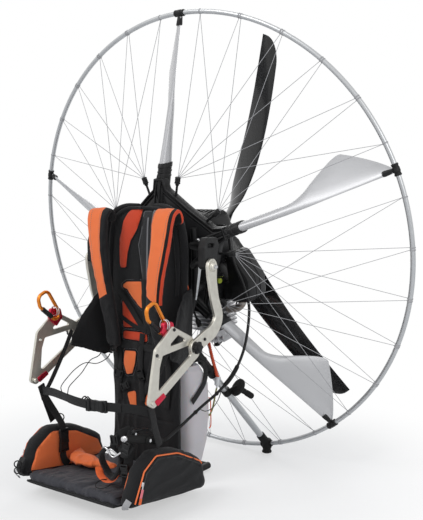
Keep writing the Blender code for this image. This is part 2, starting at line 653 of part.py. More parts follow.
def make_exhaust():
    silencer = new_object("silencer", ring_box((SILENCER_X, -0.030, -SILENCER_DROP), SILENCER_HALF, 0.028, 4),
                          BLACK_CARBON, cage)
    low = -SILENCER_DROP - SILENCER_HALF[2]
    tail = tube("tail", [(SILENCER_X + 0.022, 0.010, low + 0.026), (SILENCER_X + 0.024, 0.012, low - 0.009),
                         (SILENCER_X + 0.037, 0.020, low - 0.024)], 0.009, 6)
    combine(silencer, [new_object("tail", tail, BLACK_CARBON, cage)])
    port = ENGINE_X + CYLINDER_RADIUS + 1.5 * SEAT_GAP
    pipe_x, pipe_y, pipe_top = SILENCER_X - 0.016, -0.045, low - SEAT_GAP
    port_z = pipe_top - 0.029
    header = tube("header", [(port, CYLINDER_Y, port_z), (port + 0.012, CYLINDER_Y, port_z),
                             (pipe_x - 0.014, -0.050, port_z + 0.003), (pipe_x, pipe_y, port_z + 0.016),
                             (pipe_x, pipe_y, pipe_top - 0.006), (pipe_x, pipe_y, pipe_top)],
                  0.012, 13, 8, (0, 1, 0))
    new_object("exhaust_header", header, CAST_ALUMINIUM, cage)

    starter_x = ENGINE_X - CASE_RADIUS - STARTER_GAP
    nose_radius = STARTER_RADIUS - 0.004
    starter = new_object("starter_motor", turned("starter", [
        (STARTER_RADIUS - 0.006, -0.098), (STARTER_RADIUS, -0.094), (STARTER_RADIUS, -0.030),
        (nose_radius, -0.026), (nose_radius, CASE_BACK - 0.006)],
        14, "Y"), DARK_CASE, cage, (starter_x, 0, -CRANK_DROP))
    bridge = ring_box(((starter_x + ENGINE_X - CASE_RADIUS) / 2 - 0.004, -0.059, -CRANK_DROP),
                      ((ENGINE_X - CASE_RADIUS - starter_x) / 2 + 0.004 - SEAT_GAP, 0.037, 0.004), 0.0)
    combine(starter, [new_object("bridge", bridge, DARK_CASE, cage)])

    box_low = -CRANK_DROP + CASE_RADIUS + 0.006
    half = (box_low - SEAT_GAP + CRANK_DROP - STARTER_RADIUS - CARB_CLEARANCE) / 2
    new_object("carburettor", ring_box((-0.042, -0.070, box_low - SEAT_GAP - half), (0.024, 0.022, half),
                                       0.006), CAST_ALUMINIUM, cage)


def path_outline(points, half_widths, cap_steps=5):
    """The outline of a flat bar along a line of points, with round ends."""
    pts = smooth_path([(p[0], p[1], 0) for p in points], 14)
    shares = np.linspace(0, 1, len(pts))
    halves = np.interp(shares, np.linspace(0, 1, len(half_widths)), half_widths)
    left, right = [], []
    for k, p in enumerate(pts):
        ahead = (pts[min(k + 1, len(pts) - 1)] - pts[max(k - 1, 0)]).normalized()
        out = Vector((-ahead.y, ahead.x, 0)) * float(halves[k])
        left.append((p.x + out.x, p.y + out.y))
        right.append((p.x - out.x, p.y - out.y))
    caps = []
    for p, ahead, half in ((pts[-1], pts[-1] - pts[-2], halves[-1]), (pts[0], pts[0] - pts[1], halves[0])):
        base = math.atan2(ahead.y, ahead.x)
        caps.append([(p.x + half * math.cos(base + math.pi / 2 - math.pi * s / cap_steps),
                      p.y + half * math.sin(base + math.pi / 2 - math.pi * s / cap_steps))
                     for s in range(1, cap_steps)])
    return left + caps[0] + right[::-1] + caps[1]


def disc(name, radius, start, end, place, finish, sides=14, rim=0.0015):
    low, high = min(start, end), max(start, end)
    profile = [(radius, low), (radius, high)]
    if rim:
        profile = [(radius - rim, low), (radius, low + rim), (radius, high - rim), (radius - rim, high)]
    mesh = turned(name, profile, sides, "X")
    return new_object(name, mesh, finish, None, (0, *place))


def make_swinging_arm(side, tag):
    pivot = bpy.data.objects.new(f"arm_pivot_{tag}", None)
    bpy.context.scene.collection.objects.link(pivot)
    pivot.location = (side * ARM_X, *PIVOT)
    inner = ARM_X - S_ARM_THICK / 2
    outer = ARM_X + S_ARM_THICK / 2

    def side_plate(name, outline, thick, bevel, x, finish=MACHINED):
        made = new_object(name, plate("plate", outline, thick, bevel, "YZ"), finish)
        made.location = (side * x, 0, 0)
        return made

    halves = (S_ARM_BOSS, 0.0175, 0.0170, 0.0185, 0.0200, 0.0205, 0.0195)
    s_arm = side_plate(f"swing_arm_{tag}", path_outline(S_ARM_LINE, halves), S_ARM_THICK, 0.0018, ARM_X)
    combine(s_arm, [
        disc("cap", 0.014, side * (outer - 0.001), side * (outer + 0.009), PIVOT, MACHINED),
        disc("pin", PIN_RADIUS, side * (inner - PIN_LENGTH), side * (inner + 0.001), PIVOT, MACHINED, 16, 0.0),
        disc("knob", KNOB_RADIUS, side * (outer - 0.001), side * (outer + KNOB_THICK), KNOB_PLACE,
             MACHINED)])

    bracket = side_plate(f"hang_bracket_{tag}", rounded([
        (*BRACKET_TOP, 0.010), (*BRACKET_BACK, 0.014), (*BRACKET_HEEL, 0.016),
        (*BRACKET_LOW, 0.012), (*BRACKET_TOE, 0.012), (*BRACKET_MID, 0.016)], 3),
        BRACKET_THICK, 0.0012, BRACKET_X)
    small = rounded([(-0.256, 0.449, 0.004), (-0.210, 0.476, 0.004), (-0.172, 0.456, 0.004)], 2)
    large = rounded([(-0.276, 0.430, 0.006), (-0.163, 0.441, 0.008), (-0.157, 0.412, 0.008),
                     (-0.294, 0.336, 0.006), (-0.288, 0.400, 0.012)], 2)
    combine(bracket, [side_plate("cut", shape, BRACKET_THICK * 4, 0.0, BRACKET_X)
                      for shape in (small, large)], "DIFFERENCE")
    combine(bracket, [disc("eye", 0.006, side * (BRACKET_X - 0.012), side * (BRACKET_X + 0.008),
                           (-0.318, 0.313), MACHINED, 12, 0.001)])

    hook_x = BRACKET_X - BRACKET_THICK / 2 - SEAT_GAP - HOOK_THICK / 2
    hook = side_plate(f"riser_hook_{tag}", rounded([
        (-0.262, 0.515, 0.008), (-0.222, 0.512, 0.008), (-0.214, 0.484, 0.005),
        (-0.238, 0.460, 0.004), (-0.268, 0.488, 0.006)], 3), HOOK_THICK, 0.0015, hook_x, RED_ANODISED)
    combine(hook, [disc("hole", HOOK_EYE, side * (hook_x - 0.03), side * (hook_x + 0.0053), HOOK_HOLE,
                        RED_ANODISED, 14, 0.0)], "DIFFERENCE")
    clip_x = hook_x - HOOK_THICK / 2 - SEAT_GAP - CARABINER_ROD
    new_object(f"carabiner_{tag}", carabiner_mesh(side * clip_x), AMBER_ANODISED)

    for name in (f"swing_arm_{tag}", f"hang_bracket_{tag}", f"riser_hook_{tag}", f"carabiner_{tag}"):
        child = bpy.data.objects[name]
        child.parent = pivot
        child.matrix_parent_inverse = Matrix.Translation(pivot.location).inverted()


def carabiner_mesh(x):
    """A pear-shaped ring of round rod, across the hook's eye at its lower end."""
    y, z = HOOK_HOLE
    centre_line = rounded([(y + 0.008, z - 0.010, 0.006), (y + 0.006, z + 0.014, 0.014),
                           (y - 0.034, z + 0.074, 0.014), (y - 0.070, z + 0.058, 0.014),
                           (y - 0.062, z + 0.028, 0.014), (y - 0.008, z - 0.014, 0.006)], 3)
    rings = []
    for k, (u, v) in enumerate(centre_line):
        ahead = Vector(centre_line[(k + 1) % len(centre_line)]) - Vector(centre_line[k - 1])
        out = Vector((0, -ahead.y, ahead.x)).normalized()
        rings.append(ring_points((x, u, v), (1, 0, 0), out, CARABINER_ROD, CARABINER_ROD, 6))
    return loft("carabiner", rings, closed=True)


def leg_point(side, distance):
    """A point on a leg's line: 0 at the sleeve's end, positive towards the foot."""
    root = Vector((side * LEG_ROOT[0], LEG_ROOT[1], LEG_ROOT[2]))
    return root + (foot_place(side) - root).normalized() * (SLEEVE_LENGTH + distance)


def foot_place(side):
    """Where a leg meets the hoop."""
    return world_of_cage((side * FOOT_X, 0, -math.sqrt(HOOP_RADIUS ** 2 - FOOT_X ** 2)))


def make_rails():
    parts = []
    block_outer = ARM_X - S_ARM_THICK / 2 - SWING_GAP
    block_inner = 0.156
    for side in (-1, 1):
        route = [(side * RAIL_X, 0.095, RAIL_RADIUS), (side * RAIL_X, 0.030, RAIL_RADIUS),
                 (side * RAIL_X, -0.036, RAIL_RADIUS + 0.002), (side * RAIL_X, RAIL_Y, 0.036),
                 (side * RAIL_X, RAIL_Y, 0.120), (side * RAIL_X, RAIL_Y, 0.325),
                 (side * RAIL_X, RAIL_Y, 0.350), (side * 0.099, -0.0545, 0.385), (side * 0.108, -0.030, 0.460),
                 (side * 0.118, 0.000, 0.560), (side * 0.130, -0.014, 0.680), (side * 0.132, -0.022, 0.750)]
        parts.append(new_object("rail", tube("rail", route, RAIL_RADIUS, 22, 8), BLACK_CARBON))
        for height in PAD_HEIGHTS:
            rail = min(smooth_path(route, 200), key=lambda p: abs(p.z - height))
            start = cage_of_world(rail)
            pad = turned("pad", [(0.014, start.y), (0.014, STAR_Y - STAR_THICK / 2 - SEAT_GAP)], 10, "Y")
            parts.append(new_object("pad", pad, BLACK_CARBON, cage, (start.x, 0, start.z)))
        block = ring_box((side * (block_outer + block_inner) / 2, -0.050, 0.682),
                         ((block_outer - block_inner) / 2, 0.040, 0.055), 0.010)
        parts.append(new_object("block", block, BLACK_CARBON))
        link = tube("link", [(side * 0.125, -0.014, 0.690), (side * 0.165, -0.020, 0.690)], 0.014, 2, 10,
                    (0, 1, 0))
        parts.append(new_object("link", link, BLACK_CARBON))
        sleeve = tube("sleeve", [leg_point(side, -SEAT_GAP), leg_point(side, -SLEEVE_LENGTH)],
                      LEG_RADIUS + 0.0035, 2, 10)
        parts.append(new_object("sleeve", sleeve, BLACK_CARBON))
    for y, z, x in ((0.088, RAIL_RADIUS, RAIL_X), (BAR_Y, BAR_Z, 0.106)):
        bar = tube("bar", [(-x, y, z), (x, y, z)], RAIL_RADIUS, 2, 8, (0, 1, 0))
        parts.append(new_object("bar", bar, BLACK_CARBON))
    rails = parts.pop(0)
    rails.name = "frame_rails"
    combine(rails, parts)
    combine(rails, [disc("bore", PIN_RADIUS + SHAFT_GAP, side * (block_outer - PIN_LENGTH - 0.001),
                         side * (block_outer + 0.01), PIVOT, BLACK_CARBON, 16, 0.0) for side in (-1, 1)],
            "DIFFERENCE")


def make_legs():
    for side, tag in ((1, "left"), (-1, "right")):
        foot = foot_place(side)
        leg = new_object(f"leg_{tag}", tube("leg", [leg_point(side, 0), foot], LEG_RADIUS, 2, 12),
                         SATIN_ALUMINIUM)
        top = foot.z + FOOT_RADIUS
        shoe = turned("shoe", [(FOOT_RADIUS - 0.003, 0.0), (FOOT_RADIUS, 0.003), (FOOT_RADIUS, top - 0.005),
                               (FOOT_RADIUS - 0.004, top)], 12)
        combine(leg, [new_object("shoe", shoe, BLACK_RUBBER, None, (foot.x, foot.y, 0.0))])
        clip = loft("clip", hoop_rings(FOOT_SECTION, SEAT_GAP))
        combine(leg, [new_object("clip", clip, BLACK_RUBBER, cage)], "DIFFERENCE")


def section_loft(name, rows, finish, sides=20, power=4.0):
    """A soft solid from (z, y front, y back, half width) rows, of squared-off section."""
    rings = []
    for z, front, back, half in rows:
        rings.append(ring_points((0, (front + back) / 2, z), (1, 0, 0), (0, 1, 0), half,
                                 (back - front) / 2, sides, power))
    return new_object(name, loft(name, rings), finish)


def make_tank():
    front = RAIL_Y + RAIL_RADIUS + SEAT_GAP
    low = 2 * RAIL_RADIUS + SEAT_GAP
    rows = [(low, front + 0.034, 0.040, 0.105), (low + 0.028, front, 0.056, 0.120),
            (0.110, front, TANK_BACK_Y - 0.012, TANK_HALF_WIDTH),
            (0.200, front, TANK_BACK_Y, TANK_HALF_WIDTH),
            (0.280, front, TANK_BACK_Y - 0.006, TANK_HALF_WIDTH),
            (0.325, front, 0.050, TANK_HALF_WIDTH - 0.006), (TANK_TOP_Z, front + 0.010, 0.034, 0.112)]
    section_loft("fuel_tank", rows, TANK_PLASTIC, 20, 4.5)
    cap = turned("cap", [(0.021, 0.0), (0.021, 0.014), (0.017, 0.017)], 16)
    new_object("tank_cap", cap, BLACK_RUBBER, None, (0.0, 0.004, TANK_TOP_Z + SEAT_GAP))
    body = turned("primer", [(0.013, 0.0), (0.019, 0.003), (0.019, 0.044), (0.015, 0.048), (0.015, 0.056),
                             (0.010, 0.058)], 14)
    body.transform(Matrix.Rotation(PRIMER_TILT, 4, "X"))
    lowest = min(v.co.z for v in body.vertices)
    new_object("fuel_primer", body, BLACK_RUBBER, None, (0.106, 0.022, TANK_TOP_Z + SEAT_GAP - lowest))


def make_backrest():
    back = RAIL_Y - RAIL_RADIUS - SEAT_GAP
    rows = [(BACK_LOW_Z, BACK_FRONT_Y, back, BACK_HALF_WIDTH - 0.012),
            (BACK_LOW_Z + 0.012, BACK_FRONT_Y, back, BACK_HALF_WIDTH),
            (0.365, BACK_FRONT_Y, back, BACK_HALF_WIDTH),
            (0.400, BACK_FRONT_Y, -0.066, BACK_HALF_WIDTH + BACK_FLARE),
            (0.470, BACK_FRONT_Y, -0.052, BACK_HALF_WIDTH + BACK_FLARE),
            (0.580, BACK_FRONT_Y, -0.036, BACK_HALF_WIDTH + BACK_FLARE),
            (0.700, BACK_FRONT_Y, -0.036, BACK_HALF_WIDTH + 0.010),
            (0.780, BACK_FRONT_Y, -0.036, BACK_HALF_WIDTH - 0.006),
            (0.810, BACK_FRONT_Y + 0.004, -0.040, BACK_HALF_WIDTH - 0.040),
            (BACK_TOP_Z, BACK_FRONT_Y + 0.014, -0.050, BACK_HALF_WIDTH * 0.485)]
    section_loft("backrest", rows, BLACK_FABRIC, 16, 5.0)


def make_harness():
    make_backrest()
    front = BACK_FRONT_Y - SEAT_GAP + 0.0009
    half = STRAP_THICK / 2
    for side, tag in ((1, "left"), (-1, "right")):
        route = [(side * 0.124, front - half, 0.744), (side * 0.124, front - half, 0.774),
                 (side * 0.126, front - half - 0.018, 0.802), (side * 0.124, front - half - 0.040, 0.780),
                 (side * 0.117, front - half - 0.052, 0.700),
                 (side * 0.102, front - half - 0.054, 0.620), (side * 0.090, front - half - 0.046, 0.540),
                 (side * 0.088, front - half - 0.026, 0.460), (side * 0.096, front - half, 0.390)]
        new_object(f"shoulder_strap_{tag}", strip("strap", route, (0.042, 0.024), half, 15, 8),
                   ORANGE_FABRIC)
        root = BACK_HALF_WIDTH + BACK_FLARE + SEAT_GAP + 0.006
        rings = []
        for x, y, height, thick in ((root, -0.052, 0.118, 0.006), (root, -0.090, 0.112, 0.006),
                                    (root + 0.012, -0.130, 0.085, 0.009),
                                    (root + 0.028, -0.168, 0.050, 0.008),
                                    (root + 0.036, -0.202, 0.014, 0.005)):
            rings.append(ring_points((side * x, y, 0.470 - 0.06 * (y + 0.052) ** 2 / 0.0225),
                                     (1, 0, 0), (0, 0, 1), thick, height, 12, 3.0))
        new_object(f"hip_wing_{tag}", loft("wing", rings), BLACK_FABRIC)

        pocket = new_object(f"side_pocket_{tag}", plate("pocket", POCKET_OUTLINE, POCKET_THICK, 0.014, "YZ"),
                            BLACK_FABRIC)
        pocket.location = (side * (SEAT_HALF_WIDTH + SEAT_GAP + POCKET_THICK / 2), 0, 0)

        low = pocket_top(-0.262, WEB_WIDTH / 2) + SEAT_GAP
        web = [(-0.306, 0.296), (-0.290, 0.250), (-0.262, low)]
        rings = [ring_points((side * WEB_X, y, z), (0, 1, 0), (1, 0, 0), WEB_WIDTH / 2, WEB_THICK / 2, 8, 4.0)
                 for y, z in web]
        new_object(f"hang_web_{tag}", loft("web", rings), WEBBING)

    rear = BACK_FRONT_Y - SEAT_GAP
    rings = []
    for share in (0.0, 0.02, 0.25, 0.5, 0.75, 0.97, 1.0):
        y = rear + (SEAT_FRONT_Y - rear) * share
        low = SEAT_REAR_Z + (SEAT_FRONT_Z - SEAT_REAR_Z) * share ** 1.4
        slim = 0.004 if share in (0.0, 1.0) else 0.0
        rings.append(ring_points((0, y, low + SEAT_THICK / 2), (1, 0, 0), (0, 0, 1),
                                 SEAT_HALF_WIDTH - slim, SEAT_THICK / 2 - slim, 16, 6.0))
    new_object("seat", loft("seat", rings), BLACK_FABRIC)

    reach = WEB_X - WEB_THICK / 2 - SEAT_GAP
    path = smooth_path([(-reach, -0.304, 0.282), (-0.150, -0.312, 0.286), (-0.070, -0.330, 0.285),
                        (0.020, -0.338, 0.282), (0.100, -0.330, 0.286), (0.160, -0.316, 0.288),
                        (reach, -0.304, 0.282)], 13)
    rings = [ring_points(p, (0, 0, 1), (0, 1, 0), 0.0125, 0.0016, 6, 4.0) for p in path]
    waist_strap = new_object("waist_strap", loft("waist", rings), WEBBING)
    buckle = ring_box((0.045, -0.3375, 0.283), (0.032, 0.006, 0.018), 0.004)
    combine(waist_strap, [new_object("buckle", buckle, BLACK_RUBBER)])


def pocket_top(y, reach=0.0):
    """The height of a pocket's upper edge, at its highest within a reach of y."""
    highest = 0.0
    for p, q in zip(POCKET_OUTLINE, POCKET_OUTLINE[1:] + POCKET_OUTLINE[:1]):
        for share in np.linspace(0, 1, 9):
            if abs(p[0] + (q[0] - p[0]) * share - y) <= reach + 0.003:
                highest = max(highest, p[1] + (q[1] - p[1]) * share)
    return float(highest)


def make_throttle():
    lean = math.radians(16)
    rest = pocket_top(GRIP_REAR_Y) + 1.5 * SEAT_GAP
    up = Vector((0, math.sin(lean), math.cos(lean)))
    ahead = Vector((0, -math.cos(lean), math.sin(lean)))
    rear = Vector((GRIP_X, GRIP_REAR_Y, rest)) + up * GRIP_RADIUS
    rings = []
    for reach, slim in ((0.0, 0.8), (0.006, 1.0), (0.050, 1.0), (0.096, 0.92), (0.130, 0.72), (0.148, 0.5)):
        rings.append(ring_points(rear + ahead * reach - up * (1 - slim) * 0.4 * GRIP_RADIUS, (1, 0, 0), up,
                                 GRIP_RADIUS * slim, GRIP_RADIUS * slim, 12, 2.6))
    handle = new_object("throttle_handle", loft("grip", rings), BLACK_RUBBER)
    lever = tube("lever", [rear + ahead * 0.100, rear + ahead * 0.108 + up * 0.020,
                           rear + ahead * 0.070 + up * 0.026, rear + ahead * 0.024 + up * 0.024],
                 0.0045, 8, 8)
    combine(handle, [new_object("lever", lever, BLACK_RUBBER)])

    start = Vector((0.022 + 0.100 + 2 * SEAT_GAP, 0.115, 0.752))
    end = rear - ahead * 2 * SEAT_GAP
    path = smooth_path([start, start + Vector((0.022, 0, 0)), *CABLE_ROUTE, end - ahead * 0.026, end], 42)
    curve = bpy.data.curves.new("throttle cable", "CURVE")
    curve.dimensions = "3D"
    curve.bevel_depth = CABLE_RADIUS
    curve.bevel_resolution = 2
    curve.use_fill_caps = True
    line = curve.splines.new("POLY")
    line.points.add(len(path) - 1)
    for point, place in zip(line.points, path):
        point.co = (*place, 1)
    new_object("throttle_cable", curve, BLACK_RUBBER)


POCKET_OUTLINE = rounded(POCKET_CORNERS, 3)
make_hoop()
make_arms()
make_star()
make_propeller()
make_engine()
make_exhaust()
for which, label in ((1, "left"), (-1, "right")):
    make_swinging_arm(which, label)
make_rails()
make_legs()
make_tank()
make_harness()
make_throttle()
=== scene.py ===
# %% [markdown]
# # A paramotor on a white floor
#
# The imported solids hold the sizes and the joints. This notebook adds what the eye sees:
# metal, moulded carbon, padded fabric, webbing, the safety net and the studio.
# Run the cells from top to bottom; each one prints what it made.

# %% Load the frame and measure it
import math

import bmesh
import bpy
import numpy as np
from mathutils import Matrix, Vector
from mathutils import noise as field
from mathutils.bvhtree import BVHTree
from mathutils.geometry import delaunay_2d_cdt


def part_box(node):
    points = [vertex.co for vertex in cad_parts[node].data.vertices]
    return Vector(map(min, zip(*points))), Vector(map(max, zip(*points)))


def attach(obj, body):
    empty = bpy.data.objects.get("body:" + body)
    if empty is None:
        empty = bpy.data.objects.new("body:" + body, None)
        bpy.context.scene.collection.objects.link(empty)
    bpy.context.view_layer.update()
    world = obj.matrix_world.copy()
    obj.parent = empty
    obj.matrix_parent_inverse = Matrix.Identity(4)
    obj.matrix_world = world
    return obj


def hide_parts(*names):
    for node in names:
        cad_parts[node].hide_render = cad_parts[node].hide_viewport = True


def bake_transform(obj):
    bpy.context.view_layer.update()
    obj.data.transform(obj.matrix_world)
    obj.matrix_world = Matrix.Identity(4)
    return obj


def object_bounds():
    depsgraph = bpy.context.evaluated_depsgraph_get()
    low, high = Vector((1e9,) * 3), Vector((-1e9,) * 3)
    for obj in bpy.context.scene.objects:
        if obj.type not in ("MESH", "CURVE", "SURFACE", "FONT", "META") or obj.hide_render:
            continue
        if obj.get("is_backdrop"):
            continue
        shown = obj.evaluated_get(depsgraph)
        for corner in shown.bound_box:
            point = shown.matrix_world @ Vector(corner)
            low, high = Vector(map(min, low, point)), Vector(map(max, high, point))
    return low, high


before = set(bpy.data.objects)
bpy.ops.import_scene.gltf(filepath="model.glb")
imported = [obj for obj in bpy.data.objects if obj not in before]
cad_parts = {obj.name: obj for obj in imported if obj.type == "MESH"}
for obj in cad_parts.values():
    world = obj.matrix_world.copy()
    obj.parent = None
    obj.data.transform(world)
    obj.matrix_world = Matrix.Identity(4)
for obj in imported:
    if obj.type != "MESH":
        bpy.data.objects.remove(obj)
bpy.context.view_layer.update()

# %% [markdown]
# ## Sizes that the frame was built from
#
# The cage leans forward, so its pieces are easiest to place in a tilted frame whose middle is
# the hoop's centre: x to the pilot's left, y along the propeller's axis, z up the hoop. The
# same few sizes drive the solids, so a finer copy of a piece lands exactly on the plain one.

# %% The cage's own frame
HOOP_RADIUS = 0.700
HOOP_TUBE = 0.0072
HOOP_LEAN = math.radians(10.37)
HOOP_Y = 0.210
HOOP_Z = HOOP_RADIUS * math.cos(HOOP_LEAN) + 0.012
ARM_COUNT = 5
FIRST_ARM = math.radians(90)
ARM_STEP = 2 * math.pi / ARM_COUNT
SIDES = ((1, "left"), (-1, "right"))
CAGE = Matrix.Translation((0, HOOP_Y, HOOP_Z)) @ Matrix.Rotation(HOOP_LEAN, 4, "X")


def polar(angle, radius, y=0.0):
    """A point of the cage's frame, by its angle round the propeller's axis."""
    return Vector((radius * math.cos(angle), y, radius * math.sin(angle)))


print("the hoop's centre is", round(HOOP_Z, 3), "m above the floor")

# %% [markdown]
# ## The studio
#
# A product shot is lit evenly from a large pale room, with one soft main light for shape.
# The world is white to the camera and to reflections, and softer as a light, so that a
# colour renders about as it is written. The floor is white but still takes a shadow.

# %% Camera at the photograph's place
camera_data = bpy.data.cameras.new("camera")
camera_data.lens = 56.46
camera_data.sensor_width = 36
camera_data.clip_start = 0.05
camera = bpy.data.objects.new("camera", camera_data)
bpy.context.scene.collection.objects.link(camera)
camera_right = Vector((0.80720403, 0.590272525, 0.0))
camera_up = Vector((-0.05122332, 0.07004844, 0.99622758))
camera_back = Vector((0.58804577, -0.80415892, 0.08677911))
camera_turn = Matrix((camera_right, camera_up, camera_back)).transposed().to_4x4()
camera.matrix_world = Matrix.Translation((1.55842644, -1.88487158, 0.86197027)) @ camera_turn
bpy.context.scene.camera = camera
bpy.context.scene.view_settings.view_transform = "Standard"
print("camera placed", [round(v, 2) for v in camera.location])


# %% Small helpers for node trees
def add_node(tree, kind, place=(0, 0), **values):
    """A node with its properties and its unlinked inputs set by name."""
    made = tree.nodes.new(kind)
    made.location = place
    for key, value in values.items():
        if hasattr(made, key):
            setattr(made, key, value)
        else:
            made.inputs[key.replace("_", " ")].default_value = value
    return made


def wire(tree, *pairs):
    """Links given as (output socket, input socket)."""
    for start, end in pairs:
        tree.links.new(start, end)


# %% World, lamps and floor
world = bpy.data.worlds.new("studio")
world.use_nodes = True
bpy.context.scene.world = world
tree = world.node_tree
tree.nodes.clear()
rays = add_node(tree, "ShaderNodeLightPath", (-600, 200))
seen = add_node(tree, "ShaderNodeMath", (-400, 200), operation="MAXIMUM")
seen_through = add_node(tree, "ShaderNodeMath", (-250, 200), operation="MAXIMUM")
room = add_node(tree, "ShaderNodeBackground", (-250, 0), Color=(0.93, 0.96, 1.0, 1), Strength=0.52)
paper = add_node(tree, "ShaderNodeBackground", (-250, -150), Color=(1, 1, 1, 1), Strength=1.0)
choice = add_node(tree, "ShaderNodeMixShader", (0, 0))
out = add_node(tree, "ShaderNodeOutputWorld", (200, 0))
wire(tree, (rays.outputs["Is Camera Ray"], seen.inputs[0]), (rays.outputs["Is Glossy Ray"], seen.inputs[1]),
     (seen.outputs[0], seen_through.inputs[0]),
     (rays.outputs["Is Transmission Ray"], seen_through.inputs[1]),
     (seen_through.outputs[0], choice.inputs[0]), (room.outputs[0], choice.inputs[1]),
     (paper.outputs[0], choice.inputs[2]), (choice.outputs[0], out.inputs[0]))


def add_lamp(name, kind, place, target, energy, size):
    """A white lamp aimed at a point; the size is in metres, or in degrees for the sun."""
    lamp_data = bpy.data.lights.new(name, kind)
    lamp_data.energy = energy
    if kind == "AREA":
        lamp_data.size = size
    else:
        lamp_data.angle = math.radians(size)
    lamp = bpy.data.objects.new(name, lamp_data)
    bpy.context.scene.collection.objects.link(lamp)
    lamp.location = place
    lamp.rotation_euler = (Vector(target) - Vector(place)).to_track_quat("-Z", "Y").to_euler()
    return lamp


add_lamp("main light", "SUN", (-1.2, -2.6, 3.4), (0, 0, 0.5), 1.0, 24)
add_lamp("side light", "AREA", (2.8, -1.0, 1.8), (0.1, 0, 0.6), 17, 1.6)
add_lamp("back light", "AREA", (-1.5, 2.8, 2.4), (0, 0.2, 0.7), 20, 1.8)

floor_mesh = bpy.data.meshes.new("floor")
floor_mesh.from_pydata([(-9, -9, 0), (9, -9, 0), (9, 9, 0), (-9, 9, 0)], [], [(0, 1, 2, 3)])
floor = bpy.data.objects.new("floor", floor_mesh)
bpy.context.scene.collection.objects.link(floor)
floor.location.z = -0.0006
floor_paint = bpy.data.materials.new("white floor")
floor_paint.use_nodes = True
tree = floor_paint.node_tree
tree.nodes.clear()
spot = add_node(tree, "ShaderNodeTexCoord", (-900, 0))
reach = add_node(tree, "ShaderNodeVectorMath", (-700, 0), operation="LENGTH")
fade = add_node(tree, "ShaderNodeMapRange", (-500, 0), interpolation_type="SMOOTHSTEP")
fade.inputs["From Min"].default_value = 0.45
fade.inputs["From Max"].default_value = 1.15
fade.inputs["To Min"].default_value = 0.5
lit = add_node(tree, "ShaderNodeBsdfDiffuse", (-500, -250), Color=(0.97, 0.97, 0.97, 1))
glow = add_node(tree, "ShaderNodeEmission", (-500, -400), Color=(1, 1, 1, 1), Strength=1.0)
rays = add_node(tree, "ShaderNodeLightPath", (-700, 300))
near = add_node(tree, "ShaderNodeMath", (-300, 150), operation="MULTIPLY")
blend = add_node(tree, "ShaderNodeMixShader", (-100, 0))
out = add_node(tree, "ShaderNodeOutputMaterial", (100, 0))
wire(tree, (spot.outputs["Object"], reach.inputs[0]), (reach.outputs["Value"], fade.inputs["Value"]),
     (fade.outputs[0], near.inputs[0]), (rays.outputs["Is Camera Ray"], near.inputs[1]),
     (near.outputs[0], blend.inputs[0]), (lit.outputs[0], blend.inputs[1]),
     (glow.outputs[0], blend.inputs[2]), (blend.outputs[0], out.inputs[0]))
floor_mesh.materials.append(floor_paint)
floor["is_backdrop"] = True
print("studio ready")

# %% [markdown]
# ## Helpers for shapes
#
# Nearly every piece is a skin through rings of points: a tube, a blade, a strap or a pad.
# One helper joins the rings and also writes a UV map in real metres, round the ring and
# along the piece, so that a weave can follow a strap however it turns.

# %% Rings, paths and skins
def ring(centre, side, up, half_side, half_up, sides, power=2.0):
    """A superellipse of points round a centre, in the plane of two unit vectors."""
    centre, side, up = Vector(centre), Vector(side), Vector(up)
    points = []
    for k in range(sides):
        a = 2 * math.pi * k / sides
        c, s = math.cos(a), math.sin(a)
        u = math.copysign(abs(c) ** (2 / power), c) * half_side
        v = math.copysign(abs(s) ** (2 / power), s) * half_up
        points.append(centre + side * u + up * v)
    return points


def smooth_path(points, count):
    """Evenly placed points on a smooth curve through the given ones."""
    pts = [Vector(p) for p in points]
    pts = [pts[0] * 2 - pts[1]] + pts + [pts[-1] * 2 - pts[-2]]
    fine = []
    for i in range(1, len(pts) - 2):
        a, b, c, d = pts[i - 1:i + 3]
        for k in range(24):
            t = k / 24
            fine.append(0.5 * ((2 * b) + (c - a) * t + (2 * a - 5 * b + 4 * c - d) * t * t
                               + (3 * b - a - 3 * c + d) * t ** 3))
    fine.append(pts[-2])
    steps = [0.0]
    for p, q in zip(fine, fine[1:]):
        steps.append(steps[-1] + (q - p).length)
    wanted = np.linspace(0, steps[-1], count)
    return [Vector([float(np.interp(w, steps, [p[axis] for p in fine])) for axis in range(3)])
            for w in wanted]


def path_length(path):
    """The length of a line through points."""
    return sum((q - p).length for p, q in zip(path, path[1:]))


def frames_along(path, first_side):
    """A side and an up vector at each point of a path, carried along it without twist."""
    frames = []
    side = Vector(first_side)
    for k, point in enumerate(path):
        ahead = path[min(k + 1, len(path) - 1)] - path[max(k - 1, 0)]
        ahead.normalize()
        side = (side - ahead * side.dot(ahead)).normalized()
        frames.append((point, side, ahead.cross(side)))
    return frames


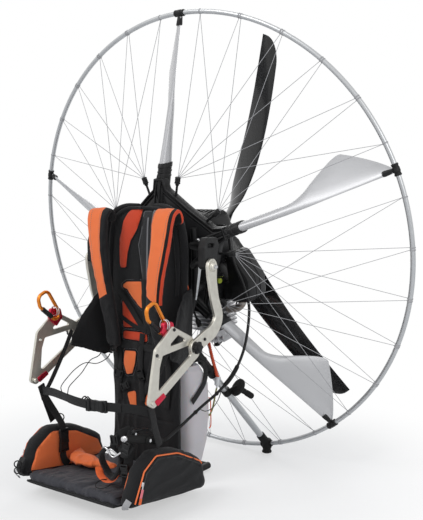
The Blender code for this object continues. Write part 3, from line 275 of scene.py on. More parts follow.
def add_skin(bm, rings, closed=False, paint=0, caps=True):
    """Faces through rings of equal length, with a UV map in metres called 'surface'."""
    uv = bm.loops.layers.uv.get("surface") or bm.loops.layers.uv.new("surface")
    rows = [[bm.verts.new(point) for point in one] for one in rings]
    pairs = list(zip(rows, rows[1:] + rows[:1]))[:len(rows) if closed else -1]
    along = 0.0
    for low, high in pairs:
        step = sum((h.co - l.co).length for l, h in zip(low, high)) / len(low)
        round_it = 0.0
        for k in range(len(low)):
            after = (k + 1) % len(low)
            width = (low[after].co - low[k].co).length
            if len({low[k], low[after], high[after], high[k]}) == 4:
                face = bm.faces.new((low[k], low[after], high[after], high[k]))
                face.material_index = paint
                corners = ((round_it, along), (round_it + width, along),
                           (round_it + width, along + step), (round_it, along + step))
                for loop, corner in zip(face.loops, corners):
                    loop[uv].uv = corner
            round_it += width
        along += step
    if caps and not closed:
        for row in (rows[0][::-1], rows[-1]):
            face = bm.faces.new(row)
            face.material_index = paint
            for loop in face.loops:
                loop[uv].uv = (loop.vert.co.x + loop.vert.co.y, loop.vert.co.z)
    return rows


def add_tube(bm, path, radius, sides=12, first_side=(1, 0, 0)):
    """A round rod; the radius may be one value or one for each point."""
    radii = radius if hasattr(radius, "__len__") else [radius] * len(path)
    add_skin(bm, [ring(p, side, up, r, r, sides)
                  for (p, side, up), r in zip(frames_along(path, first_side), radii)])


def add_turned(bm, profile, place, sides=32, paint=0):
    """A solid of revolution round the local z axis of a matrix, from (radius, height) pairs."""
    rings = []
    for r, h in profile:
        rings.append([place @ Vector((r * math.cos(2 * math.pi * k / sides),
                                      r * math.sin(2 * math.pi * k / sides), h)) for k in range(sides)])
    add_skin(bm, rings, paint=paint)


def facing(place, ahead, side=(0, 0, 1)):
    """A matrix whose z axis looks along a direction."""
    z = Vector(ahead).normalized()
    x = Vector(side) - z * Vector(side).dot(z)
    if x.length < 1e-4:
        x = z.orthogonal()
    x.normalize()
    return Matrix.Translation(place) @ Matrix((x, z.cross(x), z)).transposed().to_4x4()


# %% Flat shapes
def inset_outline(outline, distance):
    """The outline moved inwards by a distance, corner by corner."""
    if distance == 0:
        return list(outline)
    turn = sum(p[0] * q[1] - q[0] * p[1] for p, q in zip(outline, outline[1:] + outline[:1]))
    inward = 1 if turn > 0 else -1
    moved = []
    for before, here, after in zip(outline[-1:] + outline[:-1], outline, outline[1:] + outline[:1]):
        one = Vector((here[0] - before[0], here[1] - before[1])).normalized()
        two = Vector((after[0] - here[0], after[1] - here[1])).normalized()
        out_way = Vector((-one.y - two.y, one.x + two.x)).normalized() * inward
        stretch = 1 / max(0.4, math.sqrt(max(0.0, (1 + one.dot(two)) / 2)))
        moved.append((here[0] + out_way.x * distance * stretch, here[1] + out_way.y * distance * stretch))
    return moved


def rounded(corners, steps=6):
    """An outline of (x, y, radius) corners, each rounded by an arc."""
    outline = []
    for k, (x, y, radius) in enumerate(corners):
        here = Vector((x, y))
        before = Vector(corners[k - 1][:2])
        after = Vector(corners[(k + 1) % len(corners)][:2])
        one, two = (before - here).normalized(), (after - here).normalized()
        half = one.angle(two) / 2
        reach = min(radius / math.tan(half), 0.48 * (before - here).length, 0.48 * (after - here).length)
        start, end = here + one * reach, here + two * reach
        bow = reach * math.tan(half)
        middle = here + (one + two).normalized() * (reach / math.cos(half))
        a0 = math.atan2(start.y - middle.y, start.x - middle.x)
        a1 = math.atan2(end.y - middle.y, end.x - middle.x)
        sweep = (a1 - a0 + math.pi) % (2 * math.pi) - math.pi
        for step in range(steps + 1):
            a = a0 + sweep * step / steps
            outline.append((middle.x + bow * math.cos(a), middle.y + bow * math.sin(a)))
    return outline


def box_outline(x, y, half_x, half_y, radius, steps=4):
    """A rectangle round a centre, with rounded corners."""
    corners = ((1, 1), (-1, 1), (-1, -1), (1, -1))
    return rounded([(x + a * half_x, y + b * half_y, radius) for a, b in corners], steps)


def add_plate(bm, outline, low, high, rim, turn, paint=0):
    """A flat plate between two heights; a matrix takes (x, y, height) to its place."""
    rings = []
    for inset, height in ((rim, low), (rim * 0.3, low + rim * 0.3), (0, low + rim), (0, high - rim),
                          (rim * 0.3, high - rim * 0.3), (rim, high)):
        rings.append([turn @ Vector((p[0], p[1], height)) for p in inset_outline(outline, inset)])
    add_skin(bm, rings, paint=paint)


SIDE_VIEW = Matrix(((0, 0, 1, 0), (1, 0, 0, 0), (0, 1, 0, 0), (0, 0, 0, 1)))   # (y, z, x) to x, y, z
FRONT_VIEW = Matrix(((1, 0, 0, 0), (0, 0, 1, 0), (0, 1, 0, 0), (0, 0, 0, 1)))  # (x, z, y) to x, y, z


# %% Finishing a piece
def link(name, mesh, *finishes):
    """An object in the scene with its materials in order."""
    made = bpy.data.objects.new(name, mesh)
    bpy.context.scene.collection.objects.link(made)
    if mesh.materials:
        mesh.materials.clear()
    for one in finishes:
        mesh.materials.append(one)
    return made


def close_mesh(bm, name, sharp=38):
    """The bmesh as a clean mesh, smooth up to an angle."""
    bmesh.ops.remove_doubles(bm, verts=bm.verts, dist=2e-6)
    bmesh.ops.recalc_face_normals(bm, faces=bm.faces)
    mesh = bpy.data.meshes.new(name)
    bm.to_mesh(mesh)
    bm.free()
    mesh.shade_smooth()
    mesh.set_sharp_from_angle(angle=math.radians(sharp))
    return mesh


def settle(piece, body, replaced=()):
    """A piece rides on a body when one is given, and may stand for plain solids."""
    if body:
        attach(piece, body)
    if replaced:
        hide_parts(*replaced)
    return piece


def build(name, bm, finishes, body="chassis", replaced=(), sharp=38, turn=None):
    """A finished piece from a bmesh; a matrix may take it out of the frame it was modelled in."""
    mesh = close_mesh(bm, name, sharp)
    if turn is not None:
        mesh.transform(turn)
    piece = link(name, mesh, *(finishes if isinstance(finishes, (list, tuple)) else [finishes]))
    return settle(piece, body, replaced)


def rod(name, path, radius, material, sides=8, sharp=60, **how):
    """A piece that is one tube, such as piping or a hose."""
    bm = bmesh.new()
    add_tube(bm, path, radius, sides)
    return build(name, bm, material, sharp=sharp, **how)


def apply_modifiers(piece):
    """Turns what the modifiers show into the piece's own mesh."""
    bpy.context.view_layer.update()
    shown = piece.evaluated_get(bpy.context.evaluated_depsgraph_get())
    mesh = bpy.data.meshes.new_from_object(shown)
    piece.modifiers.clear()
    piece.data = mesh
    return piece

# %% [markdown]
# ## Finishes
#
# A single flat colour never looks real. Each finish below gets its grain, weave or brushing
# from a shader node group that is built once: the group puts out a height for the bump and a
# tone that drifts over the surface, and each material mixes its own two colours with it.

# %% Shader groups
def new_group(name, inputs, outputs):
    """A shader group with named inputs and number outputs; gives it and its two end nodes."""
    group = bpy.data.node_groups.new(name, "ShaderNodeTree")
    for label, kind, value in inputs:
        socket = group.interface.new_socket(label, in_out="INPUT", socket_type=kind)
        if value is not None:
            socket.default_value = value
    for label in outputs:
        group.interface.new_socket(label, in_out="OUTPUT", socket_type="NodeSocketFloat")
    return group, group.nodes.new("NodeGroupInput"), group.nodes.new("NodeGroupOutput")


def maths(group, operation, *terms):
    """A maths node whose inputs are numbers or other nodes' sockets; gives its output."""
    node = group.nodes.new("ShaderNodeMath")
    node.operation = operation
    for slot_at, term in enumerate(terms):
        if isinstance(term, (int, float)):
            node.inputs[slot_at].default_value = term
        else:
            group.links.new(term, node.inputs[slot_at])
    return node.outputs[0]


def noise(group, vector, scale, detail=2.0, roughness=0.5):
    """A noise texture's value; the scale is a number or another node's socket."""
    node = group.nodes.new("ShaderNodeTexNoise")
    node.inputs["Detail"].default_value = detail
    node.inputs["Roughness"].default_value = roughness
    group.links.new(vector, node.inputs["Vector"])
    if isinstance(scale, (int, float)):
        node.inputs["Scale"].default_value = scale
    else:
        group.links.new(scale, node.inputs["Scale"])
    return node.outputs["Fac"]


weave_group, given, told = new_group("weave", [("U", "NodeSocketFloat", 0.0), ("V", "NodeSocketFloat", 0.0),
                                               ("Pitch", "NodeSocketFloat", 0.0015),
                                               ("Vector", "NodeSocketVector", None)], ["Height", "Tone"])
across = maths(weave_group, "DIVIDE", given.outputs["U"], given.outputs["Pitch"])
along = maths(weave_group, "DIVIDE", given.outputs["V"], given.outputs["Pitch"])
cells = maths(weave_group, "ADD", maths(weave_group, "FLOOR", across), maths(weave_group, "FLOOR", along))
over = maths(weave_group, "FLOORED_MODULO", cells, 2.0)
warp = maths(weave_group, "ABSOLUTE", maths(weave_group, "SINE",
                                            maths(weave_group, "MULTIPLY", across, math.pi)))
weft = maths(weave_group, "ABSOLUTE", maths(weave_group, "SINE",
                                            maths(weave_group, "MULTIPLY", along, math.pi)))
upper = maths(weave_group, "MULTIPLY", warp, over)
lower = maths(weave_group, "MULTIPLY", weft, maths(weave_group, "SUBTRACT", 1.0, over))
weave_height = maths(weave_group, "ADD", upper, lower)
fade_tone = noise(weave_group, given.outputs["Vector"], 9.0, 4.0, 0.6)
fleck = noise(weave_group, given.outputs["Vector"], 700.0, 1.0)
cloth_tone = maths(weave_group, "ADD", maths(weave_group, "MULTIPLY", fade_tone, 0.6),
                   maths(weave_group, "MULTIPLY", maths(weave_group, "MULTIPLY", fleck, weave_height), 0.5))
wire(weave_group, (weave_height, told.inputs["Height"]), (cloth_tone, told.inputs["Tone"]))

grain_group, given, told = new_group("grain", [("Vector", "NodeSocketVector", None),
                                               ("Grains", "NodeSocketFloat", 900.0),
                                               ("Clouds", "NodeSocketFloat", 12.0)], ["Height", "Tone"])
grain_height = noise(grain_group, given.outputs["Vector"], given.outputs["Grains"], 3.0, 0.65)
grain_tone = maths(grain_group, "ADD",
                   maths(grain_group, "MULTIPLY", noise(grain_group, given.outputs["Vector"],
                                                        given.outputs["Clouds"], 5.0, 0.6), 0.75),
                   maths(grain_group, "MULTIPLY", grain_height, 0.25))
wire(grain_group, (grain_height, told.inputs["Height"]), (grain_tone, told.inputs["Tone"]))

brush_group, given, told = new_group("brushing", [("Vector", "NodeSocketVector", None),
                                                  ("Stretch", "NodeSocketVector", (1.0, 1.0, 0.02)),
                                                  ("Lines", "NodeSocketFloat", 1400.0)], ["Height", "Tone"])
pulled = brush_group.nodes.new("ShaderNodeVectorMath")
pulled.operation = "MULTIPLY"
wire(brush_group, (given.outputs["Vector"], pulled.inputs[0]), (given.outputs["Stretch"], pulled.inputs[1]))
brush_height = noise(brush_group, pulled.outputs[0], given.outputs["Lines"], 2.0, 0.7)
brush_clouds = noise(brush_group, given.outputs["Vector"], 16.0, 4.0)
brush_tone = maths(brush_group, "ADD", maths(brush_group, "MULTIPLY", brush_height, 0.35),
                   maths(brush_group, "MULTIPLY", brush_clouds, 0.65))
wire(brush_group, (brush_height, told.inputs["Height"]), (brush_tone, told.inputs["Tone"]))

wear_group, given, told = new_group("edge wear", [("Vector", "NodeSocketVector", None),
                                                  ("Amount", "NodeSocketFloat", 0.5)], ["Mask"])
shape = wear_group.nodes.new("ShaderNodeNewGeometry")
edge = maths(wear_group, "MULTIPLY", maths(wear_group, "SUBTRACT", shape.outputs["Pointiness"], 0.52), 9.0)
patchy = noise(wear_group, given.outputs["Vector"], 60.0, 5.0, 0.7)
worn = maths(wear_group, "MULTIPLY", maths(wear_group, "MAXIMUM", edge, 0.0),
             maths(wear_group, "MULTIPLY", maths(wear_group, "SUBTRACT", patchy, 0.38), 4.0))
worn = maths(wear_group, "MULTIPLY", worn, given.outputs["Amount"])
wire(wear_group, (maths(wear_group, "MINIMUM", maths(wear_group, "MAXIMUM", worn, 0.0), 1.0),
                  told.inputs["Mask"]))
print("shader groups", [g.name for g in bpy.data.node_groups])


# %% One builder for every finish
def shades(colour, spread):
    """A darker and a lighter neighbour of a colour."""
    return [(*[min(1.0, c * f) for c in colour], 1.0) for f in (1 - spread, 1 + spread)]


def finish(name, colour, roughness, metallic=0.0, pattern="grain", spread=0.18, depth=0.0002, wear=0.0,
           pitch=0.0016, lines=900.0, stretch=(1, 1, 0.02), follow=False, slot=None, **fixed):
    """A material: a pattern group drives its colour, roughness and bump."""
    made = bpy.data.materials.new(name)
    made.use_nodes = True
    tree = made.node_tree
    shader = tree.nodes["Principled BSDF"]
    shader.inputs["Metallic"].default_value = metallic
    if pattern == "weave" or max(colour) < 0.05:
        shader.inputs["Specular IOR Level"].default_value = 0.22
    for label, value in fixed.items():
        shader.inputs[label.replace("_", " ")].default_value = value
    place = add_node(tree, "ShaderNodeTexCoord", (-1300, 0)).outputs["Object"]
    group = {"grain": grain_group, "brushing": brush_group, "weave": weave_group}[pattern]
    effect = add_node(tree, "ShaderNodeGroup", (-800, 0), node_tree=group)
    wire(tree, (place, effect.inputs["Vector"]))
    if pattern == "grain":
        effect.inputs["Grains"].default_value = lines
    elif pattern == "brushing":
        effect.inputs["Stretch"].default_value = stretch
        effect.inputs["Lines"].default_value = lines
    else:
        effect.inputs["Pitch"].default_value = pitch
        if follow:
            flat = add_node(tree, "ShaderNodeUVMap", (-1300, -200), uv_map="surface").outputs["UV"]
            parts = add_node(tree, "ShaderNodeSeparateXYZ", (-1100, -200))
            wire(tree, (flat, parts.inputs[0]), (parts.outputs[0], effect.inputs["U"]),
                 (parts.outputs[1], effect.inputs["V"]))
        else:
            parts = add_node(tree, "ShaderNodeSeparateXYZ", (-1100, -200))
            wire(tree, (place, parts.inputs[0]))
            wire(tree, (maths(tree, "ADD", parts.outputs[0], parts.outputs[1]), effect.inputs["U"]))
            skew = maths(tree, "MULTIPLY", maths(tree, "SUBTRACT", parts.outputs[0], parts.outputs[1]), 0.7)
            wire(tree, (maths(tree, "ADD", parts.outputs[2], skew), effect.inputs["V"]))
    dark, light = shades(colour, spread)
    paint = add_node(tree, "ShaderNodeMix", (-500, 200), data_type="RGBA")
    paint.inputs["A"].default_value = dark
    paint.inputs["B"].default_value = light
    wire(tree, (effect.outputs["Tone"], paint.inputs["Factor"]))
    colour_out = paint.outputs["Result"]
    rough = add_node(tree, "ShaderNodeMapRange", (-500, -50))
    rough.inputs["To Min"].default_value = roughness * 0.82
    rough.inputs["To Max"].default_value = min(1.0, roughness * 1.18)
    wire(tree, (effect.outputs["Tone"], rough.inputs["Value"]))
    if wear:
        rubbed = add_node(tree, "ShaderNodeGroup", (-500, 450), node_tree=wear_group)
        rubbed.inputs["Amount"].default_value = wear
        wire(tree, (place, rubbed.inputs["Vector"]))
        over_paint = add_node(tree, "ShaderNodeMix", (-250, 300), data_type="RGBA")
        over_paint.inputs["B"].default_value = (*[min(1.0, c * 1.7 + 0.05) for c in colour], 1.0)
        wire(tree, (rubbed.outputs["Mask"], over_paint.inputs["Factor"]),
             (colour_out, over_paint.inputs["A"]))
        colour_out = over_paint.outputs["Result"]
    bump = add_node(tree, "ShaderNodeBump", (-250, -300), Strength=0.8, Distance=depth)
    wire(tree, (effect.outputs["Height"], bump.inputs["Height"]), (colour_out, shader.inputs["Base Color"]),
         (rough.outputs[0], shader.inputs["Roughness"]), (bump.outputs[0], shader.inputs["Normal"]))
    return made


# %% [markdown]
# Metals and mouldings first. The colours are linear values read from what the real
# materials are: satin aluminium tube, silver paint, gloss carbon, cast and machined alloy.

# %% Metals and mouldings
hoop_silver = finish("satin aluminium tube", (0.50, 0.51, 0.52), 0.34, 0.85, "brushing", 0.10, 0.00008,
                     0.5, slot="satin_silver")
arm_paint = finish("silver arm paint", (0.50, 0.50, 0.51), 0.42, 0.35, "grain", 0.07, 0.00005, 0.3,
                   lines=2600.0, slot="arm_silver", Coat_Weight=0.25, Coat_Roughness=0.18)
moulded = finish("black moulded frame", (0.0095, 0.0095, 0.010), 0.42, 0.0, "grain", 0.30, 0.00022, 0.35,
                 lines=1500.0, slot="moulded_black")
star_front = finish("smooth dark moulding", (0.019, 0.019, 0.020), 0.33, 0.0, "grain", 0.22, 0.00006, 0.3,
                    lines=2400.0, slot="moulded_black", Coat_Weight=0.3, Coat_Roughness=0.2)
blade_gloss = finish("gloss carbon blade", (0.007, 0.007, 0.0075), 0.20, 0.0, "weave", 0.35, 0.00003, 0.25,
                     pitch=0.0022, slot="blade_black", Coat_Weight=0.35, Coat_Roughness=0.08,
                     Specular_IOR_Level=0.3)
rubber = finish("black rubber", (0.011, 0.011, 0.011), 0.72, 0.0, "grain", 0.25, 0.00025, lines=1100.0,
                slot="rubber")
cast = finish("cast aluminium", (0.46, 0.46, 0.47), 0.46, 0.8, "grain", 0.14, 0.00030, 0.3, lines=1300.0,
              slot="cast_metal")
engine_black = finish("dark engine coating", (0.018, 0.018, 0.019), 0.50, 0.25, "grain", 0.28, 0.00030, 0.5,
                      lines=1200.0, slot="engine_case")
machined = finish("champagne machined alloy", (0.60, 0.575, 0.51), 0.30, 0.75, "brushing", 0.09, 0.00006, 0.4,
                  stretch=(1, 0.04, 1), slot="machined")
steel = finish("bright steel", (0.60, 0.60, 0.61), 0.24, 0.95, "brushing", 0.08, 0.00004, lines=2000.0)
black_steel = finish("black screw steel", (0.045, 0.045, 0.048), 0.38, 0.7, "grain", 0.2, 0.0001, 0.5)
red_alloy = finish("red anodised alloy", (0.60, 0.022, 0.055), 0.27, 0.72, "brushing", 0.12, 0.00004, 0.4,
                   stretch=(1, 0.05, 1), slot="red_anodised")
amber_alloy = finish("amber anodised alloy", (0.78, 0.235, 0.022), 0.26, 0.68, "brushing", 0.12, 0.00004, 0.4,
                     stretch=(1, 1, 0.05), slot="amber_anodised")
tank_milk = finish("milky tank plastic", (0.60, 0.575, 0.60), 0.40, 0.0, "grain", 0.06, 0.00012,
                   lines=600.0, slot="tank_plastic", Subsurface_Weight=0.15, Subsurface_Scale=0.02)
buckle_black = finish("buckle plastic", (0.009, 0.009, 0.0095), 0.36, 0.0, "grain", 0.25, 0.0001, 0.4,
                      lines=2000.0)
lime = finish("yellow-green cap", (0.42, 0.50, 0.05), 0.45, 0.0, "grain", 0.12, 0.0001)
hose_red = finish("orange-red hose", (0.78, 0.10, 0.035), 0.48, 0.0, "grain", 0.15, 0.0001, lines=1500.0)

# %% Cloths, tapes and lines
cloth_black = finish("black pack cloth", (0.0085, 0.0085, 0.0095), 0.80, 0.0, "weave", 0.38, 0.00030,
                     pitch=0.0018, slot="black_fabric", Sheen_Weight=0.10, Sheen_Roughness=0.5)
cloth_grey = finish("dark grey ripstop", (0.046, 0.046, 0.054), 0.66, 0.0, "weave", 0.26, 0.00022,
                    pitch=0.0024, slot="black_fabric", Sheen_Weight=0.12, Sheen_Roughness=0.4)
spacer = finish("ribbed spacer mesh", (0.020, 0.020, 0.022), 0.85, 0.0, "weave", 0.45, 0.0006, pitch=0.0034,
                slot="black_fabric", Sheen_Weight=0.15, Sheen_Roughness=0.6)
cloth_orange = finish("orange pack cloth", (1.0, 0.205, 0.060), 0.74, 0.0, "weave", 0.13, 0.00025,
                      pitch=0.0018, slot="orange_fabric", Sheen_Weight=0.18, Sheen_Roughness=0.5)
cloth_red = finish("red-orange pack cloth", (0.66, 0.066, 0.024), 0.76, 0.0, "weave", 0.16, 0.00025,
                   pitch=0.0018, slot="orange_fabric", Sheen_Weight=0.15, Sheen_Roughness=0.5)
tape_black = finish("black webbing", (0.0085, 0.0085, 0.009), 0.74, 0.0, "weave", 0.35, 0.0004, pitch=0.0025,
                    follow=True, slot="webbing", Sheen_Weight=0.12, Sheen_Roughness=0.5)
tape_orange = finish("orange webbing", (0.92, 0.155, 0.040), 0.72, 0.0, "weave", 0.16, 0.0004, pitch=0.0025,
                     follow=True, slot="orange_fabric", Sheen_Weight=0.15, Sheen_Roughness=0.5)
piping_orange = finish("orange piping", (1.0, 0.20, 0.055), 0.68, 0.0, "grain", 0.12, 0.0001,
                       slot="orange_fabric")
piping_black = finish("black piping", (0.013, 0.013, 0.014), 0.60, 0.0, "grain", 0.25, 0.0001,
                      slot="black_fabric")
thread_grey = finish("grey thread", (0.19, 0.19, 0.20), 0.8, 0.0, "grain", 0.2, 0.00005)
net_line = finish("pale net line", (0.36, 0.36, 0.37), 0.60, 0.0, "grain", 0.15, 0.00005, lines=3000.0)
cord_black = finish("black cord", (0.009, 0.009, 0.0095), 0.62, 0.0, "weave", 0.4, 0.0002, pitch=0.0012,
                    slot="webbing")
cable_black = finish("cable sheath", (0.009, 0.009, 0.0095), 0.38, 0.0, "grain", 0.25, 0.00006, slot="rubber")
pull_pink = finish("pink pull tab", (0.82, 0.20, 0.24), 0.55, 0.0, "grain", 0.12, 0.0001)
print(len(bpy.data.materials), "finishes")

# %% [markdown]
# ## The hoop and its clips
#
# The cage's rim is a ring of thin aluminium tube in five sections, joined under a black
# clip at each arm's tip. A tube swept along an arc is enough for the sections. A clip is a
# sleeve with thicker ends and a stub that takes the arm, so it is turned round the tube.

# %% Hoop sections and clips
def hoop_ring(angle, radius, sides=16):
    """A section of the hoop's tube."""
    return ring(polar(angle, HOOP_RADIUS), polar(angle, 1.0), (0, 1, 0), radius, radius, sides)


CLIP_HALF = 0.017 / HOOP_RADIUS
bm = bmesh.new()
for k in range(ARM_COUNT):
    start = FIRST_ARM + k * ARM_STEP
    stops = np.linspace(start + CLIP_HALF * 0.3, start + ARM_STEP - CLIP_HALF * 0.3, 60)
    add_skin(bm, [hoop_ring(a, HOOP_TUBE) for a in stops])
build("hoop", bm, hoop_silver, replaced=[f"hoop_section_{k + 1}" for k in range(ARM_COUNT)], turn=CAGE)

bm = bmesh.new()
for k in range(ARM_COUNT):
    middle = FIRST_ARM + k * ARM_STEP
    rings = []
    for share, wide in ((-1, 0.0079), (-1, 0.0095), (-0.9, 0.0104), (-0.72, 0.0104), (-0.66, 0.0093),
                        (-0.4, 0.0093), (-0.34, 0.0105), (0.34, 0.0105), (0.4, 0.0093), (0.66, 0.0093),
                        (0.72, 0.0104), (0.9, 0.0104), (1, 0.0095), (1, 0.0079)):
        rings.append(hoop_ring(middle + share * CLIP_HALF, wide, 20))
    add_skin(bm, rings)
    outward = polar(middle, 1.0)
    across = polar(middle + math.pi / 2, 1.0)
    stub = []
    for radius, wide in ((HOOP_RADIUS - 0.006, 0.0062), (0.686, 0.0072), (0.668, 0.0086), (0.664, 0.0078)):
        y = -0.150 * (HOOP_RADIUS - 0.0108 - radius) / 0.417
        stub.append(ring(outward * radius + Vector((0, y, 0)), across, (0, 1, 0), wide, wide * 1.12, 16, 2.6))
    add_skin(bm, stub)
build("hoop_clips", bm, moulded, turn=CAGE)
print("hoop of", ARM_COUNT, "sections")

# %% [markdown]
# ## The twisted arms
#
# This is the cage's signature: each arm starts as an upright oval spar and turns through
# forty-five degrees into a flat paddle before it narrows to the rim. The paddles straighten
# the air behind the pilot. One skin through many slices does it: each slice blends from an
# oval to a wing section while its chord and its twist change along the arm.

# %% Arms
SOCKET_END = 0.272
ARM_ROOT_Y = -0.150
ROOT_CHORD, ROOT_THICK = 0.044, 0.027
TIP_CHORD, TIP_THICK = 0.016, 0.012
PADDLE_CHORD, PADDLE_PEAK, PADDLE_START = 0.150, 0.63, 0.30


def wing_section(blunt, count):
    """Points (share of the chord, share of half the thickness) from oval to wing."""
    points = []
    for k in range(count):
        a = 2 * math.pi * k / count
        x = (1 - math.cos(a)) / 2
        wing = math.copysign(1.75 * math.sqrt(x) * (1 - min(x, 1)) ** 0.8, math.sin(a))
        points.append((x, math.sin(a) * blunt + wing * (1 - blunt)))
    return points


def arm_slice(angle, share, sides=32):
    """A section of a twisted arm, from its socket (0) to the rim (1)."""
    outward, across = polar(angle, 1.0), polar(angle + math.pi / 2, 1.0)
    radius = SOCKET_END + (0.6892 - SOCKET_END) * share
    rise = min(1.0, max(0.0, (share - PADDLE_START) / (PADDLE_PEAK - PADDLE_START)))
    rise = rise * rise * (3 - 2 * rise)
    fall = min(1.0, max(0.0, (share - PADDLE_PEAK) / (1 - PADDLE_PEAK)))
    slim = ROOT_CHORD * (1 - share) * 0.75 + TIP_CHORD
    chord = slim + (PADDLE_CHORD - slim) * rise * (1 - fall) ** 0.9
    thick = TIP_THICK + (ROOT_THICK - TIP_THICK) * (1 - share)
    twist = math.pi / 2 - math.radians(45) * min(1.0, share / 0.45)
    along = across * math.cos(twist) + Vector((0, 1, 0)) * math.sin(twist)
    flat = across * math.sin(twist) - Vector((0, 1, 0)) * math.cos(twist)
    blunt = max(0.0, 1 - rise * 1.2) if share < PADDLE_PEAK else max(0.0, (fall - 0.75) * 4)
    middle = outward * radius + Vector((0, ARM_ROOT_Y * (1 - share), 0))
    return [middle + flat * lift * thick / 2 + along * (x * chord - slim / 2)
            for x, lift in wing_section(blunt, sides)]


for k in range(ARM_COUNT):
    bm = bmesh.new()
    add_skin(bm, [arm_slice(FIRST_ARM + k * ARM_STEP, s) for s in np.linspace(-0.04, 1, 64)])
    build(f"twisted_arm_{k + 1}", bm, arm_paint, replaced=[f"cage_arm_{k + 1}"], sharp=50, turn=CAGE)
print(ARM_COUNT, "arms of", round(0.6892 - SOCKET_END, 3), "m")

# %% [markdown]
# ## The star frame
#
# A moulded black star joins the arms, carries the engine and bolts to the harness rails.
# Its edges have two raised ribs for stiffness round a smooth front. The plate is built as
# stacked outlines, and the ribs are thin bands that stand on it along the same outline.

# %% Star
SOCKET_START, STAR_NECK, STAR_THICK = 0.185, 0.172, 0.030
STAR_SLOPE = -ARM_ROOT_Y / (HOOP_RADIUS - SOCKET_END)
STAR_Y = ARM_ROOT_Y - STAR_SLOPE * (SOCKET_END - SOCKET_START)
SOCKET_SIDE, SOCKET_DEEP = ROOT_THICK / 2 + 0.0035, ROOT_CHORD / 2 + 0.0035

star_outline = []
for k in range(ARM_COUNT):
    angle = FIRST_ARM + k * ARM_STEP
    for side in (-1, 1):
        at = polar(angle, SOCKET_START + 0.045) + polar(angle + math.pi / 2, side * SOCKET_SIDE)
        star_outline.append((at.x, at.z))
    for share in np.linspace(0.10, 0.90, 15):
        dip = STAR_NECK + (SOCKET_START + 0.03 - STAR_NECK) * abs(2 * share - 1) ** 2
        at = polar(angle + ARM_STEP * share, dip)
        star_outline.append((at.x, at.z))


def add_band(bm, outer, inner, low, high, turn):
    """A raised band between two insets of an outline, with softened upper edges."""
    soft = min(0.0012, abs(high - low) / 2)
    step = math.copysign(soft, high - low)
    rings = []
    for k in range(len(outer)):
        o, i = Vector(outer[k]), Vector(inner[k])
        way = (i - o).normalized() * soft
        rings.append([turn @ Vector((*p, h)) for p, h in (
            (o, low), (o, high - step), (o + way, high), (i - way, high), (i, high - step), (i, low))])
    add_skin(bm, rings, closed=True)


star_front_y = STAR_Y - STAR_THICK / 2
bm = bmesh.new()
add_plate(bm, star_outline, star_front_y + 0.004, STAR_Y + STAR_THICK / 2, 0.003, FRONT_VIEW)
add_band(bm, inset_outline(star_outline, 0.0005), inset_outline(star_outline, 0.0065), star_front_y + 0.006,
         star_front_y, FRONT_VIEW)
add_band(bm, inset_outline(star_outline, 0.0115), inset_outline(star_outline, 0.0155), star_front_y + 0.006,
         star_front_y + 0.001, FRONT_VIEW)
add_plate(bm, inset_outline(star_outline, 0.020), star_front_y + 0.0020, star_front_y + 0.006, 0.0016,
          FRONT_VIEW, paint=1)
for k in range(ARM_COUNT):
    angle = FIRST_ARM + k * ARM_STEP
    rings = []
    for radius, grow in ((0.155, 0.55), (0.180, 0.86), (0.196, 1.0), (0.2300, 1.0), (0.2312, 1.07),
                         (0.2352, 1.07), (0.2364, 1.0), (0.2440, 1.0), (0.2452, 1.07), (0.2492, 1.07),
                         (0.2504, 1.0), (0.2580, 1.0), (0.2592, 1.07), (0.2690, 1.07), (0.2717, 1.0)):
        y = ARM_ROOT_Y - STAR_SLOPE * (SOCKET_END - radius)
        rings.append(ring(polar(angle, radius, y), polar(angle + math.pi / 2, 1.0), (0, 1, 0),
                          SOCKET_SIDE * grow, SOCKET_DEEP * grow, 28))
    add_skin(bm, rings)
    for side in (-1, 1):
        strake = []
        for radius, lift in ((0.150, 0.0), (0.165, 0.004), (0.200, 0.0045), (0.225, 0.003), (0.242, 0.0)):
            y = ARM_ROOT_Y - STAR_SLOPE * (SOCKET_END - radius) - SOCKET_DEEP * 0.86
            middle = polar(angle, radius, y - lift + 0.002) + polar(angle + math.pi / 2, side * 0.008)
            strake.append(ring(middle, polar(angle + math.pi / 2, 1.0), (0, 1, 0), 0.0022, 0.0045, 8))
        add_skin(bm, strake)
build("star", bm, [moulded, star_front], replaced=["star_frame"], turn=CAGE)
print("star outline of", len(star_outline), "points")

# %% [markdown]
# ## The safety net
#
# Thin lines keep hands and lines out of the propeller. Each sector of the cage has two
# ribbed knobs on stubs at the star's edge, and from both of them a line runs to each of six
# places on the rim, so the lines cross. Geometry Nodes turn plain edges into cord: the tree
# sweeps a small circle along every edge, so the whole net is one mesh of two-point edges.

# %% A tree that turns edges into cord
def new_tree(name, inputs):
    """A geometry tree with named inputs; gives the tree and its two end nodes."""
    tree = bpy.data.node_groups.new(name, "GeometryNodeTree")
    tree.interface.new_socket("Geometry", in_out="INPUT", socket_type="NodeSocketGeometry")
    for label, kind, value in inputs:
        socket = tree.interface.new_socket(label, in_out="INPUT", socket_type=kind)
        if value is not None:
            socket.default_value = value
    tree.interface.new_socket("Geometry", in_out="OUTPUT", socket_type="NodeSocketGeometry")
    return tree, tree.nodes.new("NodeGroupInput"), tree.nodes.new("NodeGroupOutput")


def last_steps(tree, geometry, group_in, group_out):
    """Realize Instances and Set Material close every tree."""
    real = tree.nodes.new("GeometryNodeRealizeInstances")
    painted = tree.nodes.new("GeometryNodeSetMaterial")
    wire(tree, (geometry, real.inputs[0]), (real.outputs[0], painted.inputs["Geometry"]),
         (group_in.outputs["Material"], painted.inputs["Material"]),
         (painted.outputs[0], group_out.inputs["Geometry"]))


